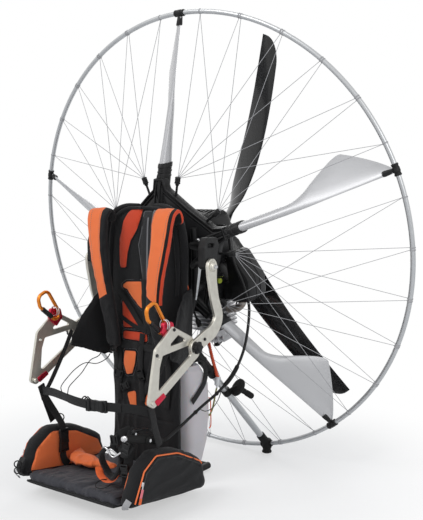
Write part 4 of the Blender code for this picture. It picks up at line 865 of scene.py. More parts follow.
def grow(name, mesh, tree, material, **values):
    """Runs a tree on a host mesh and gives the plain mesh that it makes."""
    host = link(name, mesh, material)
    modifier = host.modifiers.new(tree.name, "NODES")
    modifier.node_group = tree
    for item in tree.interface.items_tree:
        if item.in_out == "INPUT" and item.name == "Material":
            modifier[item.identifier] = material
        elif item.in_out == "INPUT" and item.name in values:
            modifier[item.identifier] = values[item.name]
    apply_modifiers(host)
    host.data.materials.clear()
    host.data.materials.append(material)
    host.data.polygons.foreach_set("material_index", [0] * len(host.data.polygons))
    host.data.shade_smooth()
    host.data.set_sharp_from_angle(angle=math.radians(40))
    return host


cord_tree, given, told = new_tree("edges to cord", [("Radius", "NodeSocketFloat", 0.001),
                                                    ("Sides", "NodeSocketInt", 6),
                                                    ("Material", "NodeSocketMaterial", None)])
lines = cord_tree.nodes.new("GeometryNodeMeshToCurve")
circle = cord_tree.nodes.new("GeometryNodeCurvePrimitiveCircle")
sweep = cord_tree.nodes.new("GeometryNodeCurveToMesh")
sweep.inputs["Fill Caps"].default_value = True
wire(cord_tree, (given.outputs["Geometry"], lines.inputs["Mesh"]),
     (given.outputs["Radius"], circle.inputs["Radius"]),
     (given.outputs["Sides"], circle.inputs["Resolution"]), (lines.outputs[0], sweep.inputs["Curve"]),
     (circle.outputs["Curve"], sweep.inputs["Profile Curve"]))
last_steps(cord_tree, sweep.outputs[0], given, told)

# %% Net lines
KNOB_SWING = math.radians(15.8)
KNOB_RADIUS = 0.2330
LINES_PER_SECTOR = 6
NET_LINE = 0.00085
points, edges = [], []
wraps = []
for k in range(ARM_COUNT):
    start = FIRST_ARM + k * ARM_STEP
    for knob_angle in (start + KNOB_SWING, start + ARM_STEP - KNOB_SWING):
        knob = polar(knob_angle, KNOB_RADIUS + 0.004, STAR_Y)
        for step in range(LINES_PER_SECTOR):
            rim_angle = start + ARM_STEP * (step + 0.5) / LINES_PER_SECTOR
            shift = math.copysign(0.0035, knob_angle - rim_angle) / HOOP_RADIUS
            rim = polar(rim_angle + shift, HOOP_RADIUS - HOOP_TUBE + 0.0004)
            points += [CAGE @ knob, CAGE @ rim]
            edges.append((len(points) - 2, len(points) - 1))
            wraps.append(rim_angle + shift)
net_mesh = bpy.data.meshes.new("net")
net_mesh.from_pydata(points, edges, [])
net = grow("safety_net", net_mesh, cord_tree, net_line, Radius=NET_LINE, Sides=6)
settle(net, "chassis")
print(len(edges), "net lines,", len(net.data.polygons), "faces")

# %% Knobs on the star, and the turns of line round the rim
bm = bmesh.new()
for k in range(ARM_COUNT):
    for side in (-1, 1):
        angle = FIRST_ARM + k * ARM_STEP + side * KNOB_SWING
        place = facing(polar(angle, 0.0, STAR_Y), polar(angle, 1.0))
        add_turned(bm, [(0.0035, 0.176), (0.0035, 0.215), (0.0056, 0.2160), (0.0056, 0.2200),
                        (0.0088, 0.2220)] + [(0.0088 - 0.0013 * (j % 2), 0.2245 + 0.0022 * j)
                                             for j in range(7)] + [(0.0080, 0.2405), (0.0045, 0.2420)],
                   place, 20)
build("net_knobs", bm, moulded, turn=CAGE)
bm = bmesh.new()
for angle in wraps:
    half = 0.0022 / HOOP_RADIUS
    add_skin(bm, [hoop_ring(angle + s * half, HOOP_TUBE + grow_by, 12)
                  for s, grow_by in ((-1, -0.0004), (-0.8, 0.0009), (0, 0.0013), (0.8, 0.0009),
                                     (1, -0.0004))])
build("net_ties", bm, net_line, turn=CAGE)
print(len(wraps), "ties on the rim")

# %% [markdown]
# ## The propeller
#
# Three carbon blades are clamped to the hub by six bolts. A real blade's pitch falls from
# root to tip, because each slice moves forward by the same distance in one turn while the
# tip travels further round. The slices below use that rule, so the twist comes out right.

# %% Blades
PROP_Y, PROP_RADIUS, HUB_RADIUS, HUB_LENGTH = 0.105, 0.650, 0.046, 0.030
FIRST_BLADE = math.radians(67.5)
BLADE_PITCH = 0.60
SHAFT = CAGE @ Matrix.Translation((0, PROP_Y, 0))


def blade_slice(angle, share, sides=32):
    """A section of a blade, from the hub (0) to the tip (1)."""
    outward, across = polar(angle, 1.0), polar(angle + math.pi / 2, 1.0)
    root = HUB_RADIUS + 0.0003
    radius = root + (PROP_RADIUS - root) * share
    grow_to = min(1.0, share / 0.2)
    chord = 0.056 + 0.036 * (grow_to * grow_to * (3 - 2 * grow_to))
    chord *= 1 - 0.28 * max(0.0, (share - 0.35) / 0.65)
    tip = max(0.0, (share - 0.88) / 0.12)
    cut = chord * (1 - math.sqrt(max(0.0, 1 - tip * tip))) * 0.75
    pitch = math.atan(BLADE_PITCH / (2 * math.pi * max(radius, 0.09)))
    back = across * math.cos(pitch) + Vector((0, 1, 0)) * math.sin(pitch)
    flat = across * math.sin(pitch) - Vector((0, 1, 0)) * math.cos(pitch)
    thick = 0.016 * (1 - 0.75 * share ** 0.7) + 0.010 * max(0.0, 1 - share / 0.10)
    bow = -0.026 * math.sin(math.pi * share ** 0.9)
    blunt = max(0.0, 1 - share / 0.08)
    return [outward * radius + across * bow + flat * lift * thick / 2
            + back * (cut - chord / 2 + x * (chord - cut)) for x, lift in wing_section(blunt, sides)]


stops = list(np.linspace(0, 0.88, 40)) + [0.90, 0.92, 0.94, 0.955, 0.968, 0.979, 0.988, 0.995, 0.999, 1.0]
for k in range(3):
    bm = bmesh.new()
    add_skin(bm, [blade_slice(FIRST_BLADE - k * 2 * math.pi / 3, s) for s in stops])
    build(f"blade_{k + 1}", bm, blade_gloss, "propeller", [f"prop_blade_{k + 1}"], sharp=60, turn=SHAFT)

# %% Hub with its bolts
end = HUB_LENGTH / 2
ALONG_Y = Matrix.Rotation(math.radians(-90), 4, "X")
bm = bmesh.new()
add_turned(bm, [(0.0095, -end - 0.030), (0.0095, -end), (0.044, -end), (HUB_RADIUS, -end + 0.002),
                (HUB_RADIUS, -end + 0.007), (0.0415, -end + 0.009), (0.0415, end - 0.004),
                (0.0395, end - 0.001), (0.036, end), (0.030, end), (0.028, end - 0.002),
                (0.018, end - 0.002), (0.016, end + 0.001), (0.0145, end + 0.004)], ALONG_Y, 48)
for k in range(3):
    angle = FIRST_BLADE - k * 2 * math.pi / 3
    socket = blade_slice(angle, 0)
    centre = sum(socket, Vector()) / len(socket)
    add_skin(bm, [[centre + (p - centre) * size - polar(angle, 1.0) * deep for p in socket]
                  for size, deep in ((0.90, 0.0120), (0.97, 0.0030), (0.94, 0.0006))])
build("hub", bm, blade_gloss, "propeller", ["prop_hub"], turn=SHAFT)

bolt_tree, given, told = new_tree("bolts on points", [("Radius", "NodeSocketFloat", 0.005),
                                                      ("Height", "NodeSocketFloat", 0.004),
                                                      ("Washer", "NodeSocketFloat", 0.007),
                                                      ("Sides", "NodeSocketInt", 6),
                                                      ("Material", "NodeSocketMaterial", None)])
head = bolt_tree.nodes.new("GeometryNodeMeshCylinder")
disc = bolt_tree.nodes.new("GeometryNodeMeshCylinder")
disc.inputs["Vertices"].default_value = 16
lift_head = bolt_tree.nodes.new("GeometryNodeTransform")
lift_vector = bolt_tree.nodes.new("ShaderNodeCombineXYZ")
joined = bolt_tree.nodes.new("GeometryNodeJoinGeometry")
spread = bolt_tree.nodes.new("GeometryNodeInstanceOnPoints")
aim = bolt_tree.nodes.new("FunctionNodeAlignRotationToVector")
aim.axis = "Z"
way = bolt_tree.nodes.new("GeometryNodeInputNamedAttribute")
way.data_type = "FLOAT_VECTOR"
way.inputs["Name"].default_value = "aim"
half_height = maths(bolt_tree, "MULTIPLY", given.outputs["Height"], 0.5)
thin = maths(bolt_tree, "MULTIPLY", given.outputs["Height"], 0.3)
wire(bolt_tree, (given.outputs["Sides"], head.inputs["Vertices"]),
     (given.outputs["Radius"], head.inputs["Radius"]),
     (given.outputs["Height"], head.inputs["Depth"]), (given.outputs["Washer"], disc.inputs["Radius"]),
     (thin, disc.inputs["Depth"]), (half_height, lift_vector.inputs["Z"]),
     (head.outputs["Mesh"], lift_head.inputs["Geometry"]),
     (lift_vector.outputs[0], lift_head.inputs["Translation"]),
     (lift_head.outputs[0], joined.inputs[0]), (disc.outputs["Mesh"], joined.inputs[0]),
     (given.outputs["Geometry"], spread.inputs["Points"]), (joined.outputs[0], spread.inputs["Instance"]),
     (way.outputs["Attribute"], aim.inputs["Vector"]), (aim.outputs[0], spread.inputs["Rotation"]))
last_steps(bolt_tree, spread.outputs[0], given, told)


def bolts(name, places, material, body="chassis", radius=0.005, height=0.004, washer=None, sides=6):
    """Bolt heads at (place, direction) pairs, made by the tree."""
    mesh = bpy.data.meshes.new(name)
    mesh.from_pydata([p for p, _ in places], [], [])
    aims = mesh.attributes.new("aim", "FLOAT_VECTOR", "POINT")
    for item, (_, direction) in zip(aims.data, places):
        item.vector = Vector(direction).normalized()
    made = grow(name, mesh, bolt_tree, material, Radius=radius, Height=height,
                Washer=washer or radius * 1.35, Sides=sides)
    return settle(made, body)


AXIS = (CAGE.to_3x3() @ Vector((0, 1, 0))).normalized()
bolts("hub_bolts", [(SHAFT @ polar(math.radians(60 * j + 7.5), 0.033, end + 0.0004), AXIS) for j in range(6)],
      black_steel, "propeller", 0.0048, 0.0050)
print("propeller", round(2 * PROP_RADIUS, 2), "m across")

# %% [markdown]
# ## Swinging arms, hang brackets and carabiners
#
# The wing pulls on two curved alloy arms that swing on pins beside the frame. Each ends in a
# clamped, open triangular bracket that carries a red hook and an amber carabiner. The plates
# are cut from sheet, so they are built as outlines with holes: the faces come from a
# triangulation that keeps the outline and leaves the holes out.

# %% Plates with holes
def inside(point, outline):
    """Whether a point lies in a closed outline."""
    x, y = point
    hit = False
    for (x0, y0), (x1, y1) in zip(outline, outline[1:] + outline[:1]):
        if (y0 > y) != (y1 > y) and x < (x1 - x0) * (y - y0) / (y1 - y0) + x0:
            hit = not hit
    return hit


def add_cut_plate(bm, outline, holes, low, high, rim, turn):
    """A plate with holes and chamfered rims."""
    loops = [(outline, 1)] + [(hole, -1) for hole in holes]
    ends = ([], [])
    for loop, sign in loops:
        rings = []
        for inset, height in ((rim, low), (0, low + rim), (0, high - rim), (rim, high)):
            rings.append([turn @ Vector((*p, height)) for p in inset_outline(list(loop), inset * sign)])
        rows = add_skin(bm, rings, caps=False)
        flat = inset_outline(list(loop), rim * sign)
        ends[0].append((flat, rows[0]))
        ends[1].append((flat, rows[-1]))
    for end in ends:
        flat_points, verts, edges = [], [], []
        for flat, row in end:
            first = len(flat_points)
            flat_points += [Vector(p) for p in flat]
            verts += row
            edges += [(first + k, first + (k + 1) % len(row)) for k in range(len(row))]
        cut = delaunay_2d_cdt(flat_points, edges, [], 0, 1e-7)
        for tri in cut[2]:
            middle = sum((cut[0][k] for k in tri), Vector((0, 0))) / 3
            if inside(middle, end[0][0]) and not any(inside(middle, flat) for flat, _ in end[1:]):
                bm.faces.new([verts[cut[3][k][0]] for k in tri])


def bar_outline(points, half_widths, count=44, cap_steps=14):
    """The outline of a flat bar along a line of points, with round ends."""
    pts = smooth_path([(p[0], p[1], 0) for p in points], count)
    halves = np.interp(np.linspace(0, 1, len(pts)), np.linspace(0, 1, len(half_widths)), half_widths)
    left, right, caps = [], [], []
    for k, p in enumerate(pts):
        ahead = (pts[min(k + 1, len(pts) - 1)] - pts[max(k - 1, 0)]).normalized()
        out_way = Vector((-ahead.y, ahead.x, 0)) * float(halves[k])
        left.append((p.x + out_way.x, p.y + out_way.y))
        right.append((p.x - out_way.x, p.y - out_way.y))
    for p, ahead, half in ((pts[-1], pts[-1] - pts[-2], halves[-1]), (pts[0], pts[0] - pts[1], halves[0])):
        base = math.atan2(ahead.y, ahead.x)
        caps.append([(p.x + half * math.cos(base + math.pi / 2 - math.pi * s / cap_steps),
                      p.y + half * math.sin(base + math.pi / 2 - math.pi * s / cap_steps))
                     for s in range(1, cap_steps)])
    return left + caps[0] + right[::-1] + caps[1]


def ring_outline(centre, radius, count=24):
    """A round outline, such as a hole's."""
    return [(centre[0] + radius * math.cos(2 * math.pi * k / count),
             centre[1] + radius * math.sin(2 * math.pi * k / count)) for k in range(count)]


# %% Sizes of the arm
ARM_X, S_ARM_THICK = 0.2315, 0.010
PIVOT = (-0.071, 0.648)
S_ARM_LINE = (PIVOT, (-0.069, 0.613), (-0.057, 0.556), (-0.040, 0.505), (-0.062, 0.470), (-0.105, 0.452),
              (-0.150, 0.434))
S_ARM_HALVES = (0.022, 0.0175, 0.0170, 0.0185, 0.0200, 0.0205, 0.0195)
BRACKET_X, BRACKET_THICK = 0.2222, 0.008
KNOB = (-0.150, 0.434)
HOOK_X, HOOK_THICK, HOOK_HOLE = 0.2129, 0.010, (-0.246, 0.497)
CLIP_X, CLIP_ROD = 0.2024, 0.0052


def side_rod(bm, side, x0, x1, place, profile, sides=28):
    """A turned pin along x; profile pairs are (radius, share of the way from x0 to x1)."""
    turn = facing((side * x0, *place), (side, 0, 0))
    add_turned(bm, [(r, (x1 - x0) * t) for r, t in profile], turn, sides)


def torus(bm, centre, axis, radius, rod, turns=28, sides=10):
    """A round ring about an axis."""
    place = facing(centre, axis)
    rings = []
    for k in range(turns):
        a = 2 * math.pi * k / turns
        out_way = Vector((math.cos(a), math.sin(a), 0))
        rings.append([place @ p for p in ring(out_way * radius, out_way, (0, 0, 1), rod, rod, sides)])
    add_skin(bm, rings, closed=True)


# %% Both sides
for side, tag in SIDES:
    body = f"arm_{tag}"
    turn = Matrix.Scale(side, 4, (1, 0, 0)) @ SIDE_VIEW
    inner, outer = ARM_X - S_ARM_THICK / 2, ARM_X + S_ARM_THICK / 2

    bm = bmesh.new()
    add_cut_plate(bm, bar_outline(S_ARM_LINE, S_ARM_HALVES), [], inner, outer, 0.0016, turn)
    side_rod(bm, side, inner - 0.018, inner + 0.001, PIVOT, [(0.0055, 0), (0.0055, 1)])
    side_rod(bm, side, outer - 0.001, outer + 0.0085, PIVOT,
             [(0.0150, 0), (0.0150, 0.25), (0.0132, 0.34), (0.0126, 0.62), (0.0100, 0.88), (0.0060, 1.0)])
    build(f"swing_arm_{tag}_plate", bm, machined, body, [f"swing_arm_{tag}"])
    bolts(f"swing_arm_{tag}_nut", [((side * (outer + 0.0086), *PIVOT), (side, 0, 0))], steel, body, 0.0050,
          0.0050, 0.0062)

    outline = rounded([(-0.235, 0.503, 0.010), (-0.150, 0.462, 0.014), (-0.110, 0.410, 0.016),
                       (-0.312, 0.298, 0.012), (-0.336, 0.310, 0.012), (-0.306, 0.450, 0.016)], 9)
    small = rounded([(-0.256, 0.449, 0.004), (-0.210, 0.476, 0.004), (-0.172, 0.456, 0.004)], 6)
    large = rounded([(-0.276, 0.430, 0.006), (-0.163, 0.441, 0.008), (-0.157, 0.412, 0.008),
                     (-0.294, 0.336, 0.006), (-0.288, 0.400, 0.012)], 6)
    bm = bmesh.new()
    add_cut_plate(bm, outline, [small, large, ring_outline((-0.2945, 0.4270), 0.0035)],
                  BRACKET_X - BRACKET_THICK / 2, BRACKET_X + BRACKET_THICK / 2, 0.0014, turn)
    side_rod(bm, side, BRACKET_X - 0.0115, BRACKET_X + 0.0078, (-0.318, 0.313),
             [(0.0048, 0), (0.0062, 0.10), (0.0062, 0.90), (0.0048, 1.0)], 20)
    build(f"bracket_{tag}_plate", bm, machined, body, [f"hang_bracket_{tag}"])

    bm = bmesh.new()
    pad = rounded([(-0.275, 0.3325, 0.002), (-0.2655, 0.3210, 0.002), (-0.300, 0.3025, 0.004),
                   (-0.3115, 0.3170, 0.004)], 4)
    add_plate(bm, pad, BRACKET_X - 0.0062, BRACKET_X + 0.0062, 0.0014, turn)
    build(f"bracket_{tag}_pad", bm, red_alloy, body)

    bm = bmesh.new()
    knob_x = outer + 0.0002
    lobes = [(KNOB[0] + (0.0162 + 0.0018 * math.cos(6 * a)) * math.cos(a),
              KNOB[1] + (0.0162 + 0.0018 * math.cos(6 * a)) * math.sin(a))
             for a in np.linspace(0, 2 * math.pi, 60, endpoint=False)]
    add_plate(bm, lobes, knob_x + 0.003, knob_x + 0.0135, 0.0022, turn)
    side_rod(bm, side, knob_x, knob_x + 0.0042, KNOB, [(0.0125, 0), (0.0125, 1)])
    side_rod(bm, side, knob_x + 0.0125, knob_x + 0.0180, KNOB, [(0.0110, 0), (0.0105, 0.5), (0.0078, 1)])
    build(f"clamp_knob_{tag}", bm, moulded, body)
    bolts(f"bracket_{tag}_bolts", [((side * (outer + 0.0003), -0.1085, 0.4505), (side, 0, 0)),
                                   ((side * (BRACKET_X + 0.0043), -0.300, 0.4350), (side, 0, 0)),
                                   ((side * (BRACKET_X + 0.0043), -0.2290, 0.4925), (side, 0, 0))],
          black_steel, body, 0.0036, 0.0030)

    bm = bmesh.new()
    hook = rounded([(-0.262, 0.515, 0.008), (-0.222, 0.512, 0.008), (-0.214, 0.484, 0.005),
                    (-0.238, 0.460, 0.004), (-0.268, 0.488, 0.006)], 6)
    add_cut_plate(bm, hook, [ring_outline(HOOK_HOLE, 0.0055)], HOOK_X - HOOK_THICK / 2,
                  HOOK_X + HOOK_THICK / 2, 0.0016, turn)
    build(f"red_hook_{tag}", bm, red_alloy, body, [f"riser_hook_{tag}"])
    bm = bmesh.new()
    for y, lean in ((-0.2490, 0.10), (-0.2442, -0.06)):
        torus(bm, (side * 0.2078, y, 0.5060), (lean, 1, 0.1 * lean), 0.0142, 0.0015)
    build(f"hook_rings_{tag}", bm, steel, body)

    y, z = HOOK_HOLE
    loop = rounded([(y + 0.008, z - 0.010, 0.008), (y + 0.006, z + 0.014, 0.016),
                    (y - 0.034, z + 0.074, 0.017),
                    (y - 0.070, z + 0.058, 0.017), (y - 0.062, z + 0.028, 0.016),
                    (y - 0.008, z - 0.014, 0.008)], 8)
    rings = []
    for k, (u, v) in enumerate(loop):
        ahead = Vector(loop[(k + 1) % len(loop)]) - Vector(loop[k - 1])
        rings.append(ring((side * CLIP_X, u, v), (1, 0, 0), Vector((0, -ahead.y, ahead.x)).normalized(),
                          CLIP_ROD, CLIP_ROD * 0.92, 16, 2.4))
    bm = bmesh.new()
    add_skin(bm, rings, closed=True)
    build(f"clip_{tag}", bm, amber_alloy, body, [f"carabiner_{tag}"])
    start = Vector((side * CLIP_X, y - 0.054, z + 0.0225))
    stop = Vector((side * CLIP_X, y - 0.018, z - 0.0055))
    length = (stop - start).length
    bm = bmesh.new()
    ribs = [(0.0056, 0.0), (0.0072, 0.002), (0.0072, 0.008)]
    for j in range(6):
        ribs += [(0.0065, 0.0105 + 0.0035 * j), (0.0072, 0.0118 + 0.0035 * j)]
    ribs += [(0.0072, length - 0.003), (0.0056, length)]
    add_turned(bm, ribs, facing(start, stop - start), 20)
    build(f"clip_{tag}_gate", bm, buckle_black, body)
print("swinging arms done")

# %% [markdown]
# ## Rails, legs and feet
#
# Two black tubes run from the skids up behind the backrest to the star, with cross-bars and
# the blocks that hold the arm pivots. Two silver legs plug into sleeves and stand under the
# hoop in rubber feet. Tubes are swept along their paths with enough slices to look bent.

# %% Rails and legs
RAIL = 0.0105
LEG_ROOT = (0.0594, -0.0170, 0.4567)
FOOT_X = 0.162
FOOT = CAGE @ Vector((FOOT_X, 0, -math.sqrt(HOOP_RADIUS ** 2 - FOOT_X ** 2)))


def mirrored(point, side):
    """The point on the pilot's left (1) or right (-1)."""
    return Vector((point[0] * side, point[1], point[2]))


def leg_at(side, distance):
    """A point down the leg, by its distance from the root."""
    root = mirrored(LEG_ROOT, side)
    return root + (mirrored(FOOT, side) - root).normalized() * distance


bm = bmesh.new()
for side in (1, -1):
    route = [(side * 0.098, 0.095, RAIL), (side * 0.098, 0.030, RAIL), (side * 0.098, -0.036, RAIL + 0.002),
             (side * 0.098, -0.058, 0.036), (side * 0.098, -0.058, 0.120), (side * 0.098, -0.058, 0.325),
             (side * 0.098, -0.058, 0.350), (side * 0.099, -0.0545, 0.385), (side * 0.108, -0.030, 0.460),
             (side * 0.118, 0.000, 0.560), (side * 0.130, -0.014, 0.680), (side * 0.132, -0.022, 0.750)]
    add_tube(bm, smooth_path(route, 90), RAIL, 16)
    for z in (0.6918, 0.5738):
        rail = min(smooth_path(route, 300), key=lambda p: abs(p.z - z))
        start = CAGE.inverted() @ rail
        end_y = star_front_y - 0.0004
        place = CAGE @ facing((start.x, start.y, start.z), (0, 1, 0))
        add_turned(bm, [(0.012, 0), (0.014, 0.004), (0.014, end_y - start.y - 0.003),
                        (0.016, end_y - start.y - 0.002), (0.016, end_y - start.y)], place, 24)
    turn = Matrix.Scale(side, 4, (1, 0, 0)) @ SIDE_VIEW
    shackle = rounded([(-0.093, 0.641, 0.012), (-0.094, 0.700, 0.014), (-0.084, 0.728, 0.010),
                       (-0.034, 0.728, 0.012), (-0.024, 0.705, 0.014), (-0.046, 0.634, 0.014)], 6)
    slot_hole = box_outline(-0.064, 0.7055, 0.014, 0.0055, 0.004)
    add_cut_plate(bm, shackle, [slot_hole], 0.2010, 0.2255, 0.0022, turn)
    for low, high, thick in ((0.700, 0.7005, 0.0145), (0.640, 0.660, 0.0115)):
        add_tube(bm, smooth_path([(side * 0.126, -0.014, low), (side * 0.165, -0.036, high),
                                  (side * 0.210, -0.060, high - 0.004)], 16), thick, 16, first_side=(0, 1, 0))
    sleeve = [leg_at(side, d) for d in (0.0, 0.150, 0.152, 0.156, 0.158, 0.192, 0.194, 0.219, 0.2217)]
    add_tube(bm, sleeve, [0.014, 0.014, 0.0155, 0.0155, 0.014, 0.014, 0.0158, 0.0158, 0.0150], 20)
for y, z, x in ((0.088, RAIL, 0.098), (-0.022, 0.458, 0.106)):
    add_tube(bm, [Vector((x * s, y, z)) for s in (-1, -0.5, 0, 0.5, 1)], RAIL, 16, first_side=(0, 1, 0))
build("rails", bm, moulded, replaced=["frame_rails"])

for side, tag in SIDES:
    foot = mirrored(FOOT, side)
    bm = bmesh.new()
    whole = (foot - mirrored(LEG_ROOT, side)).length
    add_tube(bm, [leg_at(side, d) for d in np.linspace(0.2222, whole - 0.012, 8)], 0.0105, 24)
    build(f"leg_{tag}_tube", bm, hoop_silver, replaced=[f"leg_{tag}"])
    bm = bmesh.new()
    top = foot.z + 0.016
    place = Matrix.Translation((foot.x, foot.y, 0))
    add_turned(bm, [(0.0115, 0.0), (0.0158, 0.0022), (0.0160, 0.006), (0.0138, 0.008), (0.0134, 0.014),
                    (0.0158, 0.018), (0.0160, top - 0.006), (0.0120, top)], place, 28)
    angle = math.atan2(-math.sqrt(HOOP_RADIUS ** 2 - FOOT_X ** 2), side * FOOT_X)
    half = 0.021 / HOOP_RADIUS
    add_skin(bm, [[CAGE @ p for p in hoop_ring(angle + s * half, HOOP_TUBE + add, 16)]
                  for s, add in ((-1, 0.0006), (-0.9, 0.0036), (0.9, 0.0036), (1, 0.0006))])
    add_tube(bm, [leg_at(side, whole - d) for d in (0.046, 0.044, 0.012)], [0.0112, 0.0135, 0.0135], 20)
    build(f"foot_{tag}", bm, rubber)
print("legs stand at", [round(v, 3) for v in FOOT])

# %% [markdown]
# ## Fuel tank
#
# The milky blow-moulded tank sits between the rails. Its skin is squared off with soft
# corners, has a mould seam half way round, and a black strap over it. The slices come from
# a few named heights, smoothed into many, so that the walls swell as a blown tank does.

# %% Tank, strap, cap and primer
TANK_ROWS = ((0.0213, -0.0132, 0.040, 0.105), (0.0260, -0.030, 0.048, 0.113), (0.049, -0.0472, 0.056, 0.120),
             (0.110, -0.0472, 0.070, 0.130), (0.200, -0.0472, 0.082, 0.130), (0.280, -0.0472, 0.076, 0.130),
             (0.325, -0.0472, 0.050, 0.124), (0.341, -0.0410, 0.040, 0.116), (0.346, -0.0300, 0.026, 0.098))


def rows_between(rows, count):
    """Slices (z, front, back, half width) on smooth curves through a few given ones."""
    zs = [r[0] for r in rows]
    wanted = np.unique(np.concatenate([np.linspace(zs[0], zs[-1], count), zs]))
    return [(float(z), *[float(np.interp(z, zs, [r[c] for r in rows])) for c in (1, 2, 3)]) for z in wanted]


bm = bmesh.new()
rings = []
for z, front, back, half in rows_between(TANK_ROWS, 56):
    seam = 0.0016 * math.exp(-((z - 0.190) / 0.0022) ** 2)
    rings.append(ring((0, (front + back) / 2, z), (1, 0, 0), (0, 1, 0), half + seam,
                      (back - front) / 2 + seam, 64, 4.5))
add_skin(bm, rings)
build("tank", bm, tank_milk, replaced=["fuel_tank"])

CAP_PLACE = Vector((0.0, 0.004, 0.3463))
bm = bmesh.new()
cap_outline = [(0.0204 + 0.0006 * (k % 2)) for k in range(72)]
rings = []
for h, grow_by in ((0.0, 1.0), (0.0125, 1.0), (0.0150, 0.93), (0.0168, 0.80)):
    rings.append([CAP_PLACE + Vector((r * grow_by * math.cos(2 * math.pi * k / 72),
                                      r * grow_by * math.sin(2 * math.pi * k / 72), h))
                  for k, r in enumerate(cap_outline)])
add_skin(bm, rings)
build("cap", bm, rubber, replaced=["tank_cap"])

bm = bmesh.new()
primer_axis = Matrix.Rotation(math.radians(52), 4, "X")
primer_at = Matrix.Translation((0.106, 0.022, 0.3463 + 0.0150)) @ primer_axis
add_turned(bm, [(0.0125, 0.0), (0.0186, 0.0022), (0.0189, 0.005), (0.0174, 0.0075), (0.0174, 0.036),
                (0.0189, 0.0385), (0.0189, 0.0435), (0.0150, 0.0475), (0.0148, 0.0545), (0.0095, 0.0575)],
           primer_at, 32)
add_turned(bm, [(0.0178, 0.0140), (0.01785, 0.0142), (0.01785, 0.0250), (0.0178, 0.0252)], primer_at, 32, 1)
build("primer", bm, [rubber, tape_orange], replaced=["fuel_primer"])


def add_strap(bm, path, normals, half_width, half_thick, sides=12):
    """A flat strap; its wide side lies square to the normal given at each point."""
    rings = []
    for k, (p, n) in enumerate(zip(path, normals)):
        ahead = (path[min(k + 1, len(path) - 1)] - path[max(k - 1, 0)]).normalized()
        n = (Vector(n) - ahead * Vector(n).dot(ahead)).normalized()
        rings.append(ring(p, n.cross(ahead), n, half_width, half_thick, sides, 4.0))
    add_skin(bm, rings)


bm = bmesh.new()
lift = 0.0016
wrap = [(0.1305 + lift, -0.030, 0.240), (0.1310 + lift, 0.000, 0.262), (0.1310 + lift, 0.030, 0.290),
        (0.1240 + lift, 0.044, 0.322), (0.112, 0.040, 0.3462 + lift), (0.080, 0.020, 0.3478 + lift),
        (0.050, 0.006, 0.3478 + lift), (0.030, -0.010, 0.3478 + lift)]
over = smooth_path(wrap, 36)
normals = [Vector((1, 0, 0)).lerp(Vector((0, 0, 1)), min(1, max(0, (k - 12) / 10))) for k in range(36)]
add_strap(bm, over, normals, 0.010, 0.0011)
build("tank_strap", bm, tape_black)

# %% [markdown]
# ## The engine
#
# A small two-stroke hangs on rubbers behind the star: an airbox on top, the crankcase, the
# finned cylinder pointing down, and a belt drive up to the propeller. Fins, ribs and other
# things in a row come from one Geometry Nodes tree that repeats a shape a given number of
# times; the castings are turned or cut from outlines. All of it is modelled upright in the
# cage's own frame and tilted into place at the end.

# %% A tree that repeats a shape in a row
row_tree, given, told = new_tree("copies in a row", [("Count", "NodeSocketInt", 5),
                                                     ("Step", "NodeSocketVector", (0.01, 0.0, 0.0)),
                                                     ("Material", "NodeSocketMaterial", None)])
spots = row_tree.nodes.new("GeometryNodeMeshLine")
copies = row_tree.nodes.new("GeometryNodeInstanceOnPoints")
wire(row_tree, (given.outputs["Count"], spots.inputs["Count"]),
     (given.outputs["Step"], spots.inputs["Offset"]),
     (spots.outputs[0], copies.inputs["Points"]), (given.outputs["Geometry"], copies.inputs["Instance"]))
last_steps(row_tree, copies.outputs[0], given, told)


def in_a_row(name, bm, material, count, step, body="chassis", turn=None):
    """Repeats a bmesh along a step and finishes it as one piece."""
    made = grow(name, close_mesh(bm, name), row_tree, material, Count=count, Step=step)
    if turn is not None:
        made.data.transform(turn)
    return settle(made, body)


# %% Sizes of the engine
ENGINE_X, CRANK_Z, BORE_Y = 0.045, -0.115, -0.056
BIG_PULLEY, SMALL_PULLEY = 0.066, 0.046
HEAD_FIN_STEP = 0.0108
PLATE_FRONT, PLATE_BACK = -0.1243, -0.1183
MOUNT_SPOTS = [(x, z) for x in (-0.055, 0.085) for z in (-0.160, 0.025)]
STARTER_X = -0.043
COIL_AT = (0.1115, -0.030, -0.146)
CASE = Matrix.Translation((ENGINE_X, 0, CRANK_Z)) @ ALONG_Y
BORE = Matrix.Translation((ENGINE_X, BORE_Y, 0))
BACKWARD = Vector((0, 1, 0))
pipe_steel = finish("heat-stained pipe", (0.30, 0.265, 0.235), 0.42, 0.85, "grain", 0.30, 0.0001, lines=500.0,
                    slot="cast_metal")
clear_plastic = finish("milky clear plastic", (0.70, 0.72, 0.74), 0.18, 0.0, "grain", 0.06, 0.00003,
                       Coat_Weight=0.5)
olive_hose = finish("olive fuel line", (0.20, 0.19, 0.045), 0.35, 0.0, "grain", 0.15, 0.00005)


def add_block(bm, centre, half, radius, rim):
    """A box with rounded upright edges and chamfered rims."""
    x, y, z = half
    add_plate(bm, box_outline(0, 0, x, y, radius, 6), -z, z, rim, Matrix.Translation(centre))


